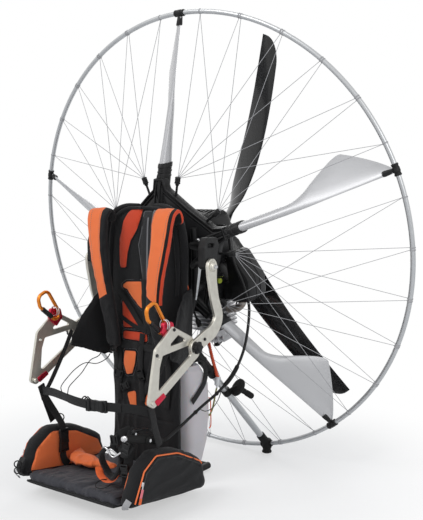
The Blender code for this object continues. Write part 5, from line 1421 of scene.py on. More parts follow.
# %% Airbox with its lid and ribs
bm = bmesh.new()
lid = [(-0.0508, 0.008), (-0.0460, 0.001), (-0.0440, 0.0), (0.0440, 0.0), (0.0446, -0.0012),
       (0.0500, -0.0012),
       (0.0506, 0.0008), (0.0720, 0.002), (0.0850, 0.006), (0.0950, 0.014), (0.1015, 0.026), (0.1050, 0.042)]
add_skin(bm, [ring((0.022, BORE_Y, z), (1, 0, 0), (0, 1, 0), 0.100 - s, 0.062 - s * 0.8, 56, 5.0) for z,
              s in lid])
build("airbox_shell", bm, moulded, replaced=["airbox"], turn=CAGE)
bm = bmesh.new()
arch = [(BORE_Y + 0.059 * math.cos(a), 0.076 + 0.033 * math.sin(a)) for a in np.linspace(0, math.pi, 15)]
add_plate(bm, arch, -0.0564, -0.0516, 0.0012, SIDE_VIEW)
in_a_row("airbox_ribs", bm, moulded, 10, (0.0168, 0, 0), turn=CAGE)
bolts("airbox_screws", [(CAGE @ Vector((x, y, 0.0475)), CAGE.to_3x3() @ Vector(way)) for x, y, way in
                        ((0.1235, -0.085, (1, 0, 0)), (0.1235, -0.027, (1, 0, 0)),
                         (-0.030, 0.0075, (0, 1, 0)),
                         (0.074, 0.0075, (0, 1, 0)), (-0.0795, -0.056, (-1, 0, 0)))],
      steel, radius=0.0030, height=0.0020)

# %% Crankcase, cylinder and head
bm = bmesh.new()
add_turned(bm, [(0.036, -0.118), (0.0495, -0.1145), (0.0500, -0.1000), (0.0570, -0.0960), (0.0580, -0.0935),
                (0.0580, -0.0590), (0.0588, -0.0585), (0.0588, -0.0535), (0.0580, -0.0530), (0.0580, -0.0255),
                (0.0565, -0.0235), (0.0510, -0.0200), (0.0510, 0.006)], CASE, 64)
add_block(bm, (ENGINE_X, BORE_Y, (CRANK_Z - 0.177) / 2), (0.046, 0.046, 0.031), 0.010, 0.002)
add_block(bm, (ENGINE_X, BORE_Y, -0.1735), (0.052, 0.050, 0.0035), 0.016, 0.001)
case_lugs = []
for turned_by in (55, 125, 235, 305):
    a = math.radians(turned_by)
    spot = Vector((ENGINE_X + 0.058 * math.cos(a), 0, CRANK_Z + 0.058 * math.sin(a)))
    add_turned(bm, [(0.0085, -0.1175), (0.0105, -0.116), (0.0105, -0.101), (0.0060, -0.094)],
               Matrix.Translation(spot) @ ALONG_Y, 20)
    case_lugs.append((CAGE @ (spot + BACKWARD * -0.0985), CAGE.to_3x3() @ BACKWARD))
build("crankcase_body", bm, engine_black, replaced=["crankcase"], turn=CAGE)
bolts("crankcase_bolts", case_lugs, steel, radius=0.0042, height=0.0036)

bm = bmesh.new()
add_turned(bm, [(0.0400, -0.2711), (0.0405, -0.2700), (0.0405, -0.1790), (0.0400, -0.1775)], BORE, 40)
build("cylinder_barrel", bm, cast, replaced=["cylinder"], turn=CAGE)
bm = bmesh.new()
add_block(bm, (ENGINE_X, BORE_Y, -0.2648), (0.0575, 0.0575, 0.0020), 0.018, 0.0007)
in_a_row("cylinder_fins", bm, cast, 7, (0, 0, 0.01343), turn=CAGE)

bm = bmesh.new()
add_turned(bm, [(0.0470, -0.2717), (0.0498, -0.2730), (0.0500, -0.2755), (0.0500, -0.2890), (0.0480, -0.2915),
                (0.0200, -0.2935), (0.0175, -0.3080), (0.0150, -0.3136)], BORE, 44)
for k in range(-4, 5):
    reach = math.sqrt(0.050 ** 2 - (k * HEAD_FIN_STEP) ** 2)
    outline = [(BORE_Y + reach, -0.286), (BORE_Y + reach * 0.98, -0.300), (BORE_Y + reach * 0.80, -0.3118),
               (BORE_Y - reach * 0.80, -0.3118), (BORE_Y - reach * 0.98, -0.300), (BORE_Y - reach, -0.286)]
    middle = ENGINE_X + k * HEAD_FIN_STEP
    add_plate(bm, outline, middle - 0.0019, middle + 0.0019, 0.0006, SIDE_VIEW)
build("head_casting", bm, cast, replaced=["cylinder_head"], turn=CAGE)
bm = bmesh.new()
add_turned(bm, [(0.0090, -0.3120), (0.0100, -0.3140), (0.0100, -0.3190), (0.0085, -0.3200)], BORE, 6)
add_turned(bm, [(0.0060, -0.3195), (0.0056, -0.3250)], BORE, 20)
build("plug_hex", bm, steel, turn=CAGE)
bm = bmesh.new()
add_turned(bm, [(0.0068, -0.3215), (0.0088, -0.3225), (0.0088, -0.3300), (0.0096, -0.3305), (0.0096, -0.3345),
                (0.0070, -0.3356)], BORE, 24)
add_tube(bm, smooth_path([(ENGINE_X, BORE_Y, -0.3300), (ENGINE_X, BORE_Y + 0.012, -0.3300),
                          (ENGINE_X, BORE_Y + 0.024, -0.3290)], 6),
         [0.007, 0.007, 0.0065, 0.006, 0.0055, 0.005], 16)
build("plug_boot", bm, rubber, turn=CAGE)

# %% Ignition coil and its lead to the plug
bm = bmesh.new()
add_block(bm, COIL_AT, (0.0140, 0.032, 0.027), 0.004, 0.0015)
add_block(bm, COIL_AT, (0.0150, 0.010, 0.0275), 0.002, 0.0008)
add_block(bm, (0.096, -0.030, -0.135), (0.008, 0.012, 0.006), 0.001, 0.0008)
build("ignition_coil", bm, engine_black, turn=CAGE)
lead_route = [(0.104, -0.004, -0.160), (0.103, 0.0125, -0.166), (0.094, 0.0215, -0.186),
              (0.078, 0.0240, -0.222),
              (0.062, 0.0230, -0.262), (0.050, 0.0180, -0.300), (ENGINE_X, 0.002, -0.324),
              (ENGINE_X, -0.020, -0.3295), (ENGINE_X, -0.032, -0.3290)]
lead_path = [CAGE @ p for p in smooth_path(lead_route, 34)]
lead = rod("spark_lead", lead_path, 0.0030, cable_black, 12, 38)
print("spark lead", round(path_length(lead_path), 3), "m")

# %% Belt drive to the propeller
def belt_outline(grow_by=0.0, steps=26):
    """The outline round the two pulleys."""
    (x0, z0, r0), (x1, z1, r1) = (0.0, 0.0, BIG_PULLEY + grow_by), (ENGINE_X, CRANK_Z, SMALL_PULLEY + grow_by)
    lean, gap = math.atan2(z1 - z0, x1 - x0), math.dist((x0, z0), (x1, z1))
    spread_angle = math.acos((r0 - r1) / gap)
    far_side = lean + 2 * math.pi - spread_angle
    around = [(x0, z0, r0, a) for a in np.linspace(lean + spread_angle, far_side, steps)]
    around += [(x1, z1, r1, a) for a in np.linspace(lean - spread_angle, lean + spread_angle, steps)]
    return [(x + r * math.cos(a), z + r * math.sin(a)) for x, z, r, a in around]


bm = bmesh.new()
add_plate(bm, belt_outline(), 0.0063, 0.0440, 0.0025, FRONT_VIEW)
add_plate(bm, belt_outline(-0.010), 0.0430, 0.0463, 0.0012, FRONT_VIEW)
add_turned(bm, [(0.043, 0.0440), (0.0400, 0.0463), (0.0380, 0.0480), (0.0315, 0.0560), (0.0300, 0.0600),
                (0.0300, 0.0820), (0.0285, 0.0835), (0.0285, 0.0860), (0.0300, 0.0870), (0.0295, 0.0892),
                (0.0130, 0.0895), (0.0110, 0.0880), (0.0110, 0.0800)], ALONG_Y, 56)
add_turned(bm, [(0.030, 0.0450), (0.0295, 0.0480), (0.0260, 0.0486), (0.0100, 0.0486), (0.0080, 0.0470),
                (0.0020, 0.0470)], CASE, 40)
build("belt_cover", bm, engine_black, replaced=["reduction_drive"], turn=CAGE)
rim_spots = belt_outline(-0.005, 7)
bolts("belt_cover_bolts", [(CAGE @ Vector((x, 0.0440, z)), AXIS) for x, z in rim_spots], steel,
      radius=0.0032, height=0.0026)
bolts("pulley_bolts", [(CAGE @ Vector((ENGINE_X + 0.020 * math.cos(a), 0.0486,
                                       CRANK_Z + 0.020 * math.sin(a))), AXIS)
                       for a in np.linspace(0, 2 * math.pi, 7)[:6]], black_steel, radius=0.0028,
      height=0.0016)

# %% Mounting plate on its rubbers
bm = bmesh.new()
plate_outline = rounded([(-0.075, -0.185, 0.02), (0.105, -0.185, 0.02), (0.105, 0.050, 0.03),
                         (-0.075, 0.050, 0.03)], 8)
windows = [rounded([(-0.058, -0.135, 0.012), (-0.022, -0.135, 0.012), (-0.022, 0.000, 0.012),
                    (-0.058, 0.000, 0.012)], 5), ring_outline((0.090, -0.060), 0.008),
           ring_outline((0.090, -0.030), 0.008)]
add_cut_plate(bm, plate_outline, windows, PLATE_FRONT, PLATE_BACK, 0.0010, FRONT_VIEW)
start = STAR_Y + 0.0153
length = PLATE_FRONT - start
profile = [(0.0140, 0), (0.0140, 0.003), (0.0105, 0.008), (0.0098, length / 2), (0.0105, length - 0.008),
           (0.0140, length - 0.003), (0.0140, length + 0.001)]
for x, z in MOUNT_SPOTS:
    add_turned(bm, profile, Matrix.Translation((x, start, z)) @ ALONG_Y, 24, 1)
build("mount_plate", bm, [engine_black, rubber], replaced=["engine_mount"], turn=CAGE)
bolts("mount_bolts", [(CAGE @ Vector((x, PLATE_BACK, z)), AXIS) for x, z in MOUNT_SPOTS], steel,
      radius=0.0050, height=0.0040)

# %% Silencer and header
bm = bmesh.new()
can = rounded([(0.1290, -0.1755, 0.016), (0.2073, -0.1755, 0.022), (0.2073, -0.1000, 0.030),
               (0.1560, -0.0210, 0.022), (0.1290, -0.0210, 0.012)], 8)
for inset, low, high, rim in ((0.0, -0.0810, 0.0210, 0.012), (-0.0014, -0.0420, -0.0375, 0.0010),
                              (-0.0014, -0.0180, -0.0135, 0.0010)):
    add_plate(bm, inset_outline(can, inset) if inset else can, low, high, rim, FRONT_VIEW)
tail = smooth_path([(0.190, 0.010, -0.150), (0.192, 0.012, -0.182), (0.205, 0.020, -0.198)], 14)
add_tube(bm, tail, [0.0088] * 13 + [0.0084], 20)
add_tube(bm, [tail[-1] - (tail[-1] - tail[-2]).normalized() * 0.006, tail[-1] + (tail[-1] - tail[-2]) * 0.01],
         0.0062, 16)
build("silencer_can", bm, moulded, replaced=["silencer"], turn=CAGE)
bm = bmesh.new()
header = smooth_path([(0.1035, BORE_Y, -0.2053), (0.1155, BORE_Y, -0.2053), (0.138, -0.050, -0.2023),
                      (0.152, -0.045, -0.1893), (0.152, -0.045, -0.1823), (0.152, -0.045, -0.1763)], 30)
add_tube(bm, header, 0.0112, 24, first_side=(0, 1, 0))
for at, way in ((header[2], header[3] - header[1]), (header[-3], header[-1] - header[-4])):
    torus(bm, at, way, 0.0112, 0.0014, 28, 8)
build("header_pipe", bm, pipe_steel, replaced=["exhaust_header"], turn=CAGE)
bm = bmesh.new()
add_block(bm, (0.1160, -0.030, -0.060), (0.0130, 0.014, 0.0025), 0.004, 0.0008)
add_block(bm, (0.1280, -0.030, -0.060), (0.0018, 0.014, 0.014), 0.001, 0.0006)
build("silencer_bracket", bm, steel, turn=CAGE)

# %% Starter, carburettor and small fittings
starter = Matrix.Translation((STARTER_X, 0, CRANK_Z)) @ ALONG_Y
bm = bmesh.new()
add_turned(bm, [(0.0120, -0.1005), (0.0140, -0.0985), (0.0200, -0.0980), (0.0238, -0.0940), (0.0240, -0.0900),
                (0.0240, -0.0860), (0.0232, -0.0855), (0.0232, -0.0360), (0.0240, -0.0355), (0.0240, -0.0300),
                (0.0200, -0.0260), (0.0200, -0.0040), (0.0180, 0.0)], starter, 40)
add_block(bm, (-0.0215, -0.059, CRANK_Z), (0.0090, 0.036, 0.0035), 0.001, 0.0008)
build("starter_body", bm, engine_black, replaced=["starter_motor"], turn=CAGE)
bolts("starter_bolts", [(CAGE @ Vector((STARTER_X + 0.0175 * c, -0.0980, CRANK_Z + 0.0175 * s)), -AXIS)
                        for c, s in ((0.7, 0.7), (-0.7, -0.7))], steel, radius=0.0026, height=0.0020)
bm = bmesh.new()
add_block(bm, (-0.042, -0.070, -0.0683), (0.0225, 0.0200, 0.0160), 0.006, 0.0015)
add_turned(bm, [(0.0150, 0.0), (0.0158, 0.002), (0.0158, 0.008), (0.0120, 0.010)],
           facing((-0.0640, -0.070, -0.066), (-1, 0, 0)), 28)
add_turned(bm, [(0.0030, 0.0), (0.0030, 0.006), (0.0075, 0.0062), (0.0075, 0.0085)],
           facing((-0.0420, -0.0895, -0.068), (0, -1, 0)), 20)
build("carburettor_body", bm, cast, replaced=["carburettor"], turn=CAGE)
bm = bmesh.new()
add_turned(bm, [(0.0050, -0.003), (0.0080, 0.0), (0.0085, 0.002), (0.0085, 0.009), (0.0065, 0.0115),
                (0.0020, 0.0120)], facing((0.1000, -0.086, -0.106), (1, -0.25, 0)), 28)
build("filler_plug", bm, lime, turn=CAGE)
breather = smooth_path([(0.097, -0.082, -0.094), (0.108, -0.083, -0.0925), (0.121, -0.085, -0.0900)], 6)
rod("breather_stub", breather, 0.0026, steel, 14, 38, turn=CAGE)

# %% [markdown]
# ## Fuel lines and small fittings under the engine
#
# A ribbed red hose comes down to a clear filter, and an olive line goes on to the tank. The
# hose's ribs are its own radius going up and down along the path, which is how a moulded
# corrugated hose is made.

# %% Fuel hose, filter and lines
hose_path = smooth_path([(0.050, 0.158, 0.400), (0.070, 0.139, 0.376), (0.092, 0.124, 0.342),
                         (0.112, 0.114, 0.308), (0.124, 0.110, 0.286)], 40)
ribs = [0.0056 - 0.0011 * (k % 2) for k in range(40)]
hose = rod("fuel_hose", hose_path, ribs, hose_red, 18, 38)
bm = bmesh.new()
drop = facing(hose_path[-1] - (hose_path[-1] - hose_path[-3]).normalized() * 0.004, (0.10, -0.25, -1.0))
add_turned(bm, [(0.0030, -0.006), (0.0030, 0.0), (0.0078, 0.003), (0.0082, 0.005), (0.0082, 0.024),
                (0.0078, 0.026), (0.0030, 0.029), (0.0030, 0.036)], drop, 28)
build("fuel_filter", bm, clear_plastic)
filter_end = drop @ Vector((0, 0, 0.034))
line_path = smooth_path([filter_end, filter_end + Vector((0.001, -0.008, -0.014)), (0.1300, 0.0830, 0.2230),
                         (0.1312, 0.0740, 0.2030), (0.1306, 0.0640, 0.1880), (0.1285, 0.0580, 0.1800)], 34)
line = rod("fuel_line", line_path, 0.0026, olive_hose, 12, 38)
print("hose", round(path_length(hose_path), 3), "line", round(path_length(line_path), 3))

# %% Rubber bumper on the left leg, and stays beside the back
bm = bmesh.new()
leg_spot = leg_at(1, 0.300)
along_leg = (leg_at(1, 0.4) - leg_spot).normalized()
add_turned(bm, [(0.0108, -0.010), (0.0140, -0.010), (0.0145, -0.008), (0.0145, 0.008), (0.0140, 0.010),
                (0.0108, 0.010)], facing(leg_spot, along_leg), 24)
bumper = Vector((0.150, 0.173, 0.250))
backward = Vector((0.45, 0.80, -0.62)).normalized()
add_tube(bm, smooth_path([leg_spot + Vector((0.010, 0, 0.004)), leg_spot + Vector((0.022, 0.000, 0.012)),
                          bumper + backward * 0.004], 8), 0.0060, 14, first_side=(0, 0, 1))
add_turned(bm, [(0.0200, 0.0), (0.0275, 0.0010), (0.0290, 0.0040), (0.0290, 0.0090), (0.0265, 0.0120),
                (0.0130, 0.0150), (0.0100, 0.0200), (0.0085, 0.0400), (0.0098, 0.0420), (0.0098, 0.0640),
                (0.0070, 0.0680)], facing(bumper, backward), 36)
build("leg_bumper", bm, rubber)
level = smooth_path([(0.1290, 0.0560, 0.236), (0.1305, 0.0620, 0.228), (0.1306, 0.0640, 0.190),
                     (0.1306, 0.0640, 0.150), (0.1290, 0.0580, 0.142)], 24)
rod("tank_level_line", level, 0.0017, hose_red, 8, 38)
for side, tag in SIDES:
    bm = bmesh.new()
    stay = smooth_path([(0.158, -0.034, 0.712), (0.1605, -0.026, 0.678), (0.1605, -0.033, 0.617),
                        (0.1565, -0.043, 0.546)], 30)
    widths = np.interp(np.linspace(0, 1, 30), [0, 0.15, 0.28, 0.5, 1], [0.003, 0.006, 0.0095, 0.006, 0.0035])
    rings = [ring(mirrored(p, side), (0, 1, 0), (1, 0, 0), w, 0.0012, 12, 4.0) for p, w in zip(stay, widths)]
    add_skin(bm, rings)
    build(f"side_stay_{tag}", bm, hoop_silver)
    bm = bmesh.new()
    ball_place = facing(mirrored((0.1580, -0.034, 0.716), side), (side, 0, 0))
    add_turned(bm, [(0.0020, -0.006), (0.0052, -0.0045), (0.0066, 0.0), (0.0052, 0.0045), (0.0020, 0.006)],
               ball_place, 24)
    build(f"side_stay_ball_{tag}", bm, steel)

# %% [markdown]
# ## Throttle cable and hand grip
#
# The cable is a stiff sheath of one fixed length. It leaves the airbox through a tapered
# rubber sleeve, drops behind the left arm and runs forward along the tank to the hand grip,
# which rests on the side pocket. It is swept along the same points as the plain model's
# cable.

# %% Cable, sleeves and clamps
GRIP_LEAN = math.radians(16)
GRIP_UP = Vector((0, math.sin(GRIP_LEAN), math.cos(GRIP_LEAN)))
GRIP_AHEAD = Vector((0, -math.cos(GRIP_LEAN), math.sin(GRIP_LEAN)))
grip_low, grip_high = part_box("throttle_handle")
GRIP_REAR = Vector((0.181, grip_high[1], grip_low[2])) + GRIP_UP * 0.0125 - Vector((0, 0.0034, 0))
CABLE_WIDE = 0.0084
CABLE = [(0.1226, 0.115, 0.752), (0.1446, 0.115, 0.752), (0.164, 0.107, 0.738), (0.1745, 0.0985, 0.706),
         (0.184, 0.0975, 0.665), (0.193, 0.105, 0.630), (0.203, 0.117, 0.596), (0.2105, 0.129, 0.558),
         (0.218, 0.140, 0.499), (0.226, 0.106, 0.400), (0.223, 0.057, 0.329), (0.208, 0.004, 0.281),
         (0.199, -0.082, 0.245), (0.187, -0.168, 0.203), tuple(GRIP_REAR - GRIP_AHEAD * 0.0266),
         tuple(GRIP_REAR - GRIP_AHEAD * 0.0006)]
cable = rod("cable", smooth_path(CABLE, 160), CABLE_WIDE / 2, cable_black, 14, 38,
            replaced=["throttle_cable"])

bm = bmesh.new()
fine_cable = smooth_path(CABLE, 400)
ridged = [0.0092 - 0.0038 * k / 34 - 0.0007 * (k // 2 % 2) for k in range(35)]
add_tube(bm, [fine_cable[0] - Vector((0.0006, 0, 0)), *fine_cable[:34]], ridged, 20)
add_tube(bm, fine_cable[-16:], [0.0052 + 0.0026 * k / 15 - 0.0006 * (k // 2 % 2) for k in range(16)], 20)
for first, last, radius in ((226, 262, 0.0064), (276, 281, 0.0058), (322, 327, 0.0058)):
    piece_path = fine_cable[first:last]
    add_tube(bm, piece_path, [0.0046] + [radius] * (len(piece_path) - 2) + [0.0046], 16)
sleeves = build("cable_sleeves", bm, rubber)

# %% Hand grip with its lever, tip and strap
bm = bmesh.new()
stops = [(0.0, 0.80), (0.004, 0.98), (0.012, 1.0), (0.020, 0.94), (0.028, 1.0), (0.036, 0.94), (0.044, 1.0),
         (0.052, 0.94), (0.060, 1.0), (0.068, 0.94), (0.076, 1.0), (0.086, 0.97), (0.096, 0.92),
         (0.112, 0.82), (0.128, 0.70), (0.138, 0.60)]
add_skin(bm, [ring(GRIP_REAR + GRIP_AHEAD * d - GRIP_UP * (1 - s) * 0.005, (1, 0, 0), GRIP_UP, 0.0122 * s,
                   0.0124 * s, 32, 2.5) for d, s in stops])
add_turned(bm, [(0.0060, -0.001), (0.0105, 0.0), (0.0105, 0.004), (0.0080, 0.006), (0.0075, 0.0085),
                (0.0050, 0.0095)],
           facing(GRIP_REAR + GRIP_AHEAD * 0.060 + Vector((0.0105, 0, 0)), (1, 0, 0)), 28)
build("grip_body", bm, rubber, replaced=["throttle_handle"])
bm = bmesh.new()
lever = smooth_path([GRIP_REAR + GRIP_AHEAD * 0.104 + GRIP_UP * 0.006,
                     GRIP_REAR + GRIP_AHEAD * 0.108 + GRIP_UP * 0.020,
                     GRIP_REAR + GRIP_AHEAD * 0.070 + GRIP_UP * 0.026,
                     GRIP_REAR + GRIP_AHEAD * 0.024 + GRIP_UP * 0.024], 26)
add_skin(bm, [ring(p, side, up, 0.0042, 0.0026, 14, 3.0) for p, side, up in frames_along(lever, (1, 0, 0))])
build("grip_lever", bm, buckle_black)
tip = facing(GRIP_REAR + GRIP_AHEAD * 0.137 - GRIP_UP * 0.0022, GRIP_AHEAD)
bm = bmesh.new()
add_turned(bm, [(0.0062, 0.0), (0.0078, 0.001), (0.0078, 0.0045), (0.0060, 0.0055), (0.0066, 0.0075),
                (0.0062, 0.0095), (0.0030, 0.0108)], tip, 28)
add_turned(bm, [(0.0045, 0.0), (0.0045, 0.0022), (0.0030, 0.0028)],
           facing(GRIP_REAR + GRIP_AHEAD * 0.060 + Vector((0.0195, 0, 0)), (1, 0, 0)), 24)
add_turned(bm, [(0.0032, -0.001), (0.0032, 0.0105)], facing(GRIP_REAR + GRIP_AHEAD * 0.104 + GRIP_UP * 0.013
                                                          - Vector((0.0052, 0, 0)), (1, 0, 0)), 16)
build("grip_tip", bm, steel)

# %% [markdown]
# ## Tools for padded fabric
#
# A pad is a fabric bag with foam in it. Each one starts as a closed skin a little smaller
# than the real thing, is remeshed into even squares, and is blown up for twenty frames as
# cloth with pressure inside and no gravity, with a cap on how far a point may go. Seams,
# sewn channels and creases are pressed in afterwards by moving the points, because a remesh
# wipes them out. Panels, piping and stitches are then laid on the finished surface by rays.

# %% Blowing up a pad
def coordinates(mesh):
    """The mesh's points as rows of x, y, z."""
    flat = np.empty(len(mesh.vertices) * 3, dtype=np.float32)
    mesh.vertices.foreach_get("co", flat)
    return flat.reshape(-1, 3).astype(float)


def put_coordinates(mesh, points):
    """Moves the mesh's points to rows of x, y, z."""
    mesh.vertices.foreach_set("co", np.asarray(points, dtype=np.float32).ravel())
    mesh.update()


def outward_ways(mesh):
    """The mesh's normals at its points."""
    flat = np.empty(len(mesh.vertices) * 3, dtype=np.float32)
    mesh.vertex_normals.foreach_get("vector", flat)
    return flat.reshape(-1, 3).astype(float)


AIR_FRAMES = 20


def blow_up(piece, pressure, cap):
    """Cloth with air inside for some frames; no point moves further than the cap. Smoothed once."""
    before = coordinates(piece.data)
    air = piece.modifiers.new("air", "CLOTH")
    air.settings.use_pressure = True
    air.settings.uniform_pressure_force = pressure
    air.settings.effector_weights.gravity = 0.0
    for step in range(1, AIR_FRAMES + 1):
        bpy.context.scene.frame_set(step)
    apply_modifiers(piece)
    moved = coordinates(piece.data) - before
    moved *= np.minimum(1.0, cap / np.maximum(np.linalg.norm(moved, axis=1), 1e-9))[:, None]
    put_coordinates(piece.data, before + moved)
    bpy.context.scene.frame_set(1)
    smooth = piece.modifiers.new("smooth", "SUBSURF")
    smooth.levels = smooth.render_levels = 1
    apply_modifiers(piece)


def pad(name, bm, finishes, voxel=0.006, pressure=4.0, cap=0.008):
    """A closed shape, remeshed into even squares and blown up."""
    piece = link(name, close_mesh(bm, name), *finishes)
    remesh = piece.modifiers.new("voxels", "REMESH")
    remesh.mode = "VOXEL"
    remesh.voxel_size = voxel
    apply_modifiers(piece)
    blow_up(piece, pressure, cap)
    piece.data.materials.clear()
    for one in finishes:
        piece.data.materials.append(one)
    piece.data.shade_smooth()
    return piece


def sew(piece, lines, width, depth):
    """Presses seams and channels into a pad along lines of points."""
    points, ways = coordinates(piece.data), outward_ways(piece.data)
    nearest = np.full(len(points), 1.0)
    for line in lines:
        for start, end in zip(line, line[1:]):
            start, along = np.array(start), np.array(end) - np.array(start)
            share = np.clip((points - start) @ along / (along @ along), 0, 1)
            nearest = np.minimum(nearest, np.linalg.norm(points - start - share[:, None] * along, axis=1))
    put_coordinates(piece.data, points - ways * (depth * np.exp(-(nearest / width) ** 2))[:, None])


def crease(piece, size, depth, seed, stretch=(1, 1, 1), where=None):
    """Soft folds: a ridged noise field moves the surface in and out."""
    points, ways = coordinates(piece.data), outward_ways(piece.data)
    scale = np.array(stretch) / size
    lift = np.array([0.5 - abs(field.noise(Vector(p * scale + seed))) * 2 for p in points])
    share = 1.0 if where is None else where(points)
    put_coordinates(piece.data, points + ways * (lift * depth * share)[:, None])


# %% Laying things on a surface
def add_webbing(bm, points, count, way, half_width, half_thick, sides=12):
    """A flat strap on a smooth curve through a few points, its wide side square to one direction."""
    path = smooth_path(points, count)
    add_strap(bm, path, [Vector(way)] * count, half_width, half_thick, sides)
    return path


def surface_of(piece):
    """A search tree of the piece's faces, for rays and nearest points."""
    return BVHTree.FromPolygons([v.co for v in piece.data.vertices],
                                [p.vertices for p in piece.data.polygons])


def laid(tree, points, way, lift=0.0):
    """The points moved along a direction until they lie on a surface, then lifted off it."""
    way = Vector(way).normalized()
    found = []
    for p in points:
        hit = tree.ray_cast(Vector(p) - way * 0.25, way)[0] or Vector(p)
        found.append(hit - way * lift)
    return found


def add_panel(bm, tree, outline, to_point, way, lift=0.0016, puff=0.0, grid=0.008):
    """A sewn-on panel: an outline filled with points that all lie on a surface."""
    flat = [Vector(p) for p in outline]
    low = Vector((min(p.x for p in flat), min(p.y for p in flat)))
    high = Vector((max(p.x for p in flat), max(p.y for p in flat)))
    extra = [Vector((u, v)) for u in np.arange(low.x + grid / 2, high.x, grid)
             for v in np.arange(low.y + grid / 2, high.y, grid) if inside((u, v), outline)]
    extra = [p for p in extra if min((p - q).length for q in flat) > grid * 0.4]
    edges = [(k, (k + 1) % len(flat)) for k in range(len(flat))]
    cut = delaunay_2d_cdt(flat + extra, edges, [], 1, 1e-7)
    tops, backs = [], []
    for p in cut[0]:
        reach = min((p - q).length for q in flat)
        spot = to_point(p)
        tops.append(bm.verts.new(laid(tree, [spot], way, lift + puff * (1 - math.exp(-reach / 0.012)))[0]))
        backs.append(bm.verts.new(laid(tree, [spot], way, -0.0025)[0]))
    uses = {}
    for tri in cut[2]:
        bm.faces.new([tops[k] for k in tri])
        bm.faces.new([backs[k] for k in reversed(tri)])
        for k in range(3):
            pair = (tri[k], tri[(k + 1) % 3])
            uses[pair] = uses.get(pair, 0) + 1
    for a, b in uses:
        if (b, a) not in uses:
            bm.faces.new((tops[b], tops[a], backs[a], backs[b]))


stitch_tree, given, told = new_tree("stitches along edges", [("Gap", "NodeSocketFloat", 0.006),
                                                             ("Length", "NodeSocketFloat", 0.0036),
                                                             ("Radius", "NodeSocketFloat", 0.0006),
                                                             ("Material", "NodeSocketMaterial", None)])
lines = stitch_tree.nodes.new("GeometryNodeMeshToCurve")
spaced = stitch_tree.nodes.new("GeometryNodeResampleCurve")
spaced.mode = "LENGTH"
thread = stitch_tree.nodes.new("GeometryNodeMeshCylinder")
thread.inputs["Vertices"].default_value = 6
sewn = stitch_tree.nodes.new("GeometryNodeInstanceOnPoints")
turned_to = stitch_tree.nodes.new("FunctionNodeAlignRotationToVector")
turned_to.axis = "Z"
heading = stitch_tree.nodes.new("GeometryNodeInputTangent")
wire(stitch_tree, (given.outputs["Geometry"], lines.inputs["Mesh"]),
     (lines.outputs[0], spaced.inputs["Curve"]),
     (given.outputs["Gap"], spaced.inputs["Length"]), (given.outputs["Length"], thread.inputs["Depth"]),
     (given.outputs["Radius"], thread.inputs["Radius"]), (spaced.outputs[0], sewn.inputs["Points"]),
     (thread.outputs["Mesh"], sewn.inputs["Instance"]), (heading.outputs[0], turned_to.inputs["Vector"]),
     (turned_to.outputs[0], sewn.inputs["Rotation"]))
last_steps(stitch_tree, sewn.outputs[0], given, told)


def stitches(name, paths, material, body="chassis", gap=0.006, length=0.0036, radius=0.0006):
    """Short threads, or a zip's teeth, along lines of points."""
    points = [p for path in paths for p in path]
    firsts = np.cumsum([0] + [len(path) for path in paths])
    edges = [(first + k, first + k + 1) for first, path in zip(firsts, paths) for k in range(len(path) - 1)]
    mesh = bpy.data.meshes.new(name)
    mesh.from_pydata(points, edges, [])
    return settle(grow(name, mesh, stitch_tree, material, Gap=gap, Length=length, Radius=radius), body)


# %% Buckles
def add_buckle(bm, place, half_length, half_width, thick):
    """A side-release buckle: two frames with slots, and prongs that show between them."""
    for side in (-1, 1):
        frame_outline = rounded([(side * half_length, half_width, 0.003),
                                 (side * half_length, -half_width, 0.003),
                                 (side * 0.003, -half_width * 0.86, 0.004),
                                 (side * 0.003, half_width * 0.86, 0.004)], 4)
        slot_hole = box_outline(side * (half_length - 0.00575), 0, 0.00175, half_width * 0.62, 0.001, 2)
        add_cut_plate(bm, frame_outline, [slot_hole], -thick / 2, thick / 2, 0.0011, place)
    prongs = rounded([(-half_length * 0.30, half_width * 0.95, 0.003),
                      (half_length * 0.40, half_width * 0.80, 0.003),
                      (half_length * 0.40, -half_width * 0.80, 0.003),
                      (-half_length * 0.30, -half_width * 0.95, 0.003)], 4)
    add_plate(bm, prongs, -thick * 0.38, thick * 0.62, 0.0010, place)


print("fabric tools ready, trees:", [t.name for t in bpy.data.node_groups
                                     if t.bl_idname == "GeometryNodeTree"])

# %% [markdown]
# ## Back pad
#
# The tall pad that lies against the pilot is one long bag of foam. Its slices are named by
# height, then smoothed into many, and blown up. Sewn channels run down its middle, and the
# coloured mesh panels are cut as outlines in the front view and laid on it by rays.

# %% Back pad and its panels
BACK_ROWS = ((0.034, -0.092, -0.0728, 0.114), (0.050, -0.092, -0.0728, 0.130),
             (0.365, -0.092, -0.0728, 0.131),
             (0.400, -0.092, -0.0700, 0.142), (0.470, -0.092, -0.0560, 0.143),
             (0.580, -0.092, -0.0400, 0.143),
             (0.700, -0.092, -0.0400, 0.141), (0.775, -0.092, -0.0400, 0.126),
             (0.803, -0.089, -0.0440, 0.094), (0.814, -0.080, -0.0520, 0.064))

bm = bmesh.new()
rings = []
for z, front, back, half in rows_between(BACK_ROWS, 60):
    rings.append(ring((0, (front + back) / 2, z), (1, 0, 0), (0, 1, 0), half, (back - front) / 2, 60, 5.0))
add_skin(bm, rings)
back_pad = pad("back_pad", bm, [cloth_black], 0.0068, 5.0, 0.0045)
channels = [[(x, -0.096, z) for z in (0.560, 0.680, 0.790)] for x in (-0.004, 0.014, 0.036, 0.056)]
channels += [[(-0.130, -0.096, z), (0.130, -0.096, z)] for z in (0.405, 0.300, 0.190)]
channels += [[(s * 0.1405, -0.064, 0.45), (s * 0.1405, -0.064, 0.700), (s * 0.122, -0.064, 0.775)]
             for s in (-1, 1)]
sew(back_pad, channels, 0.0042, 0.0038)


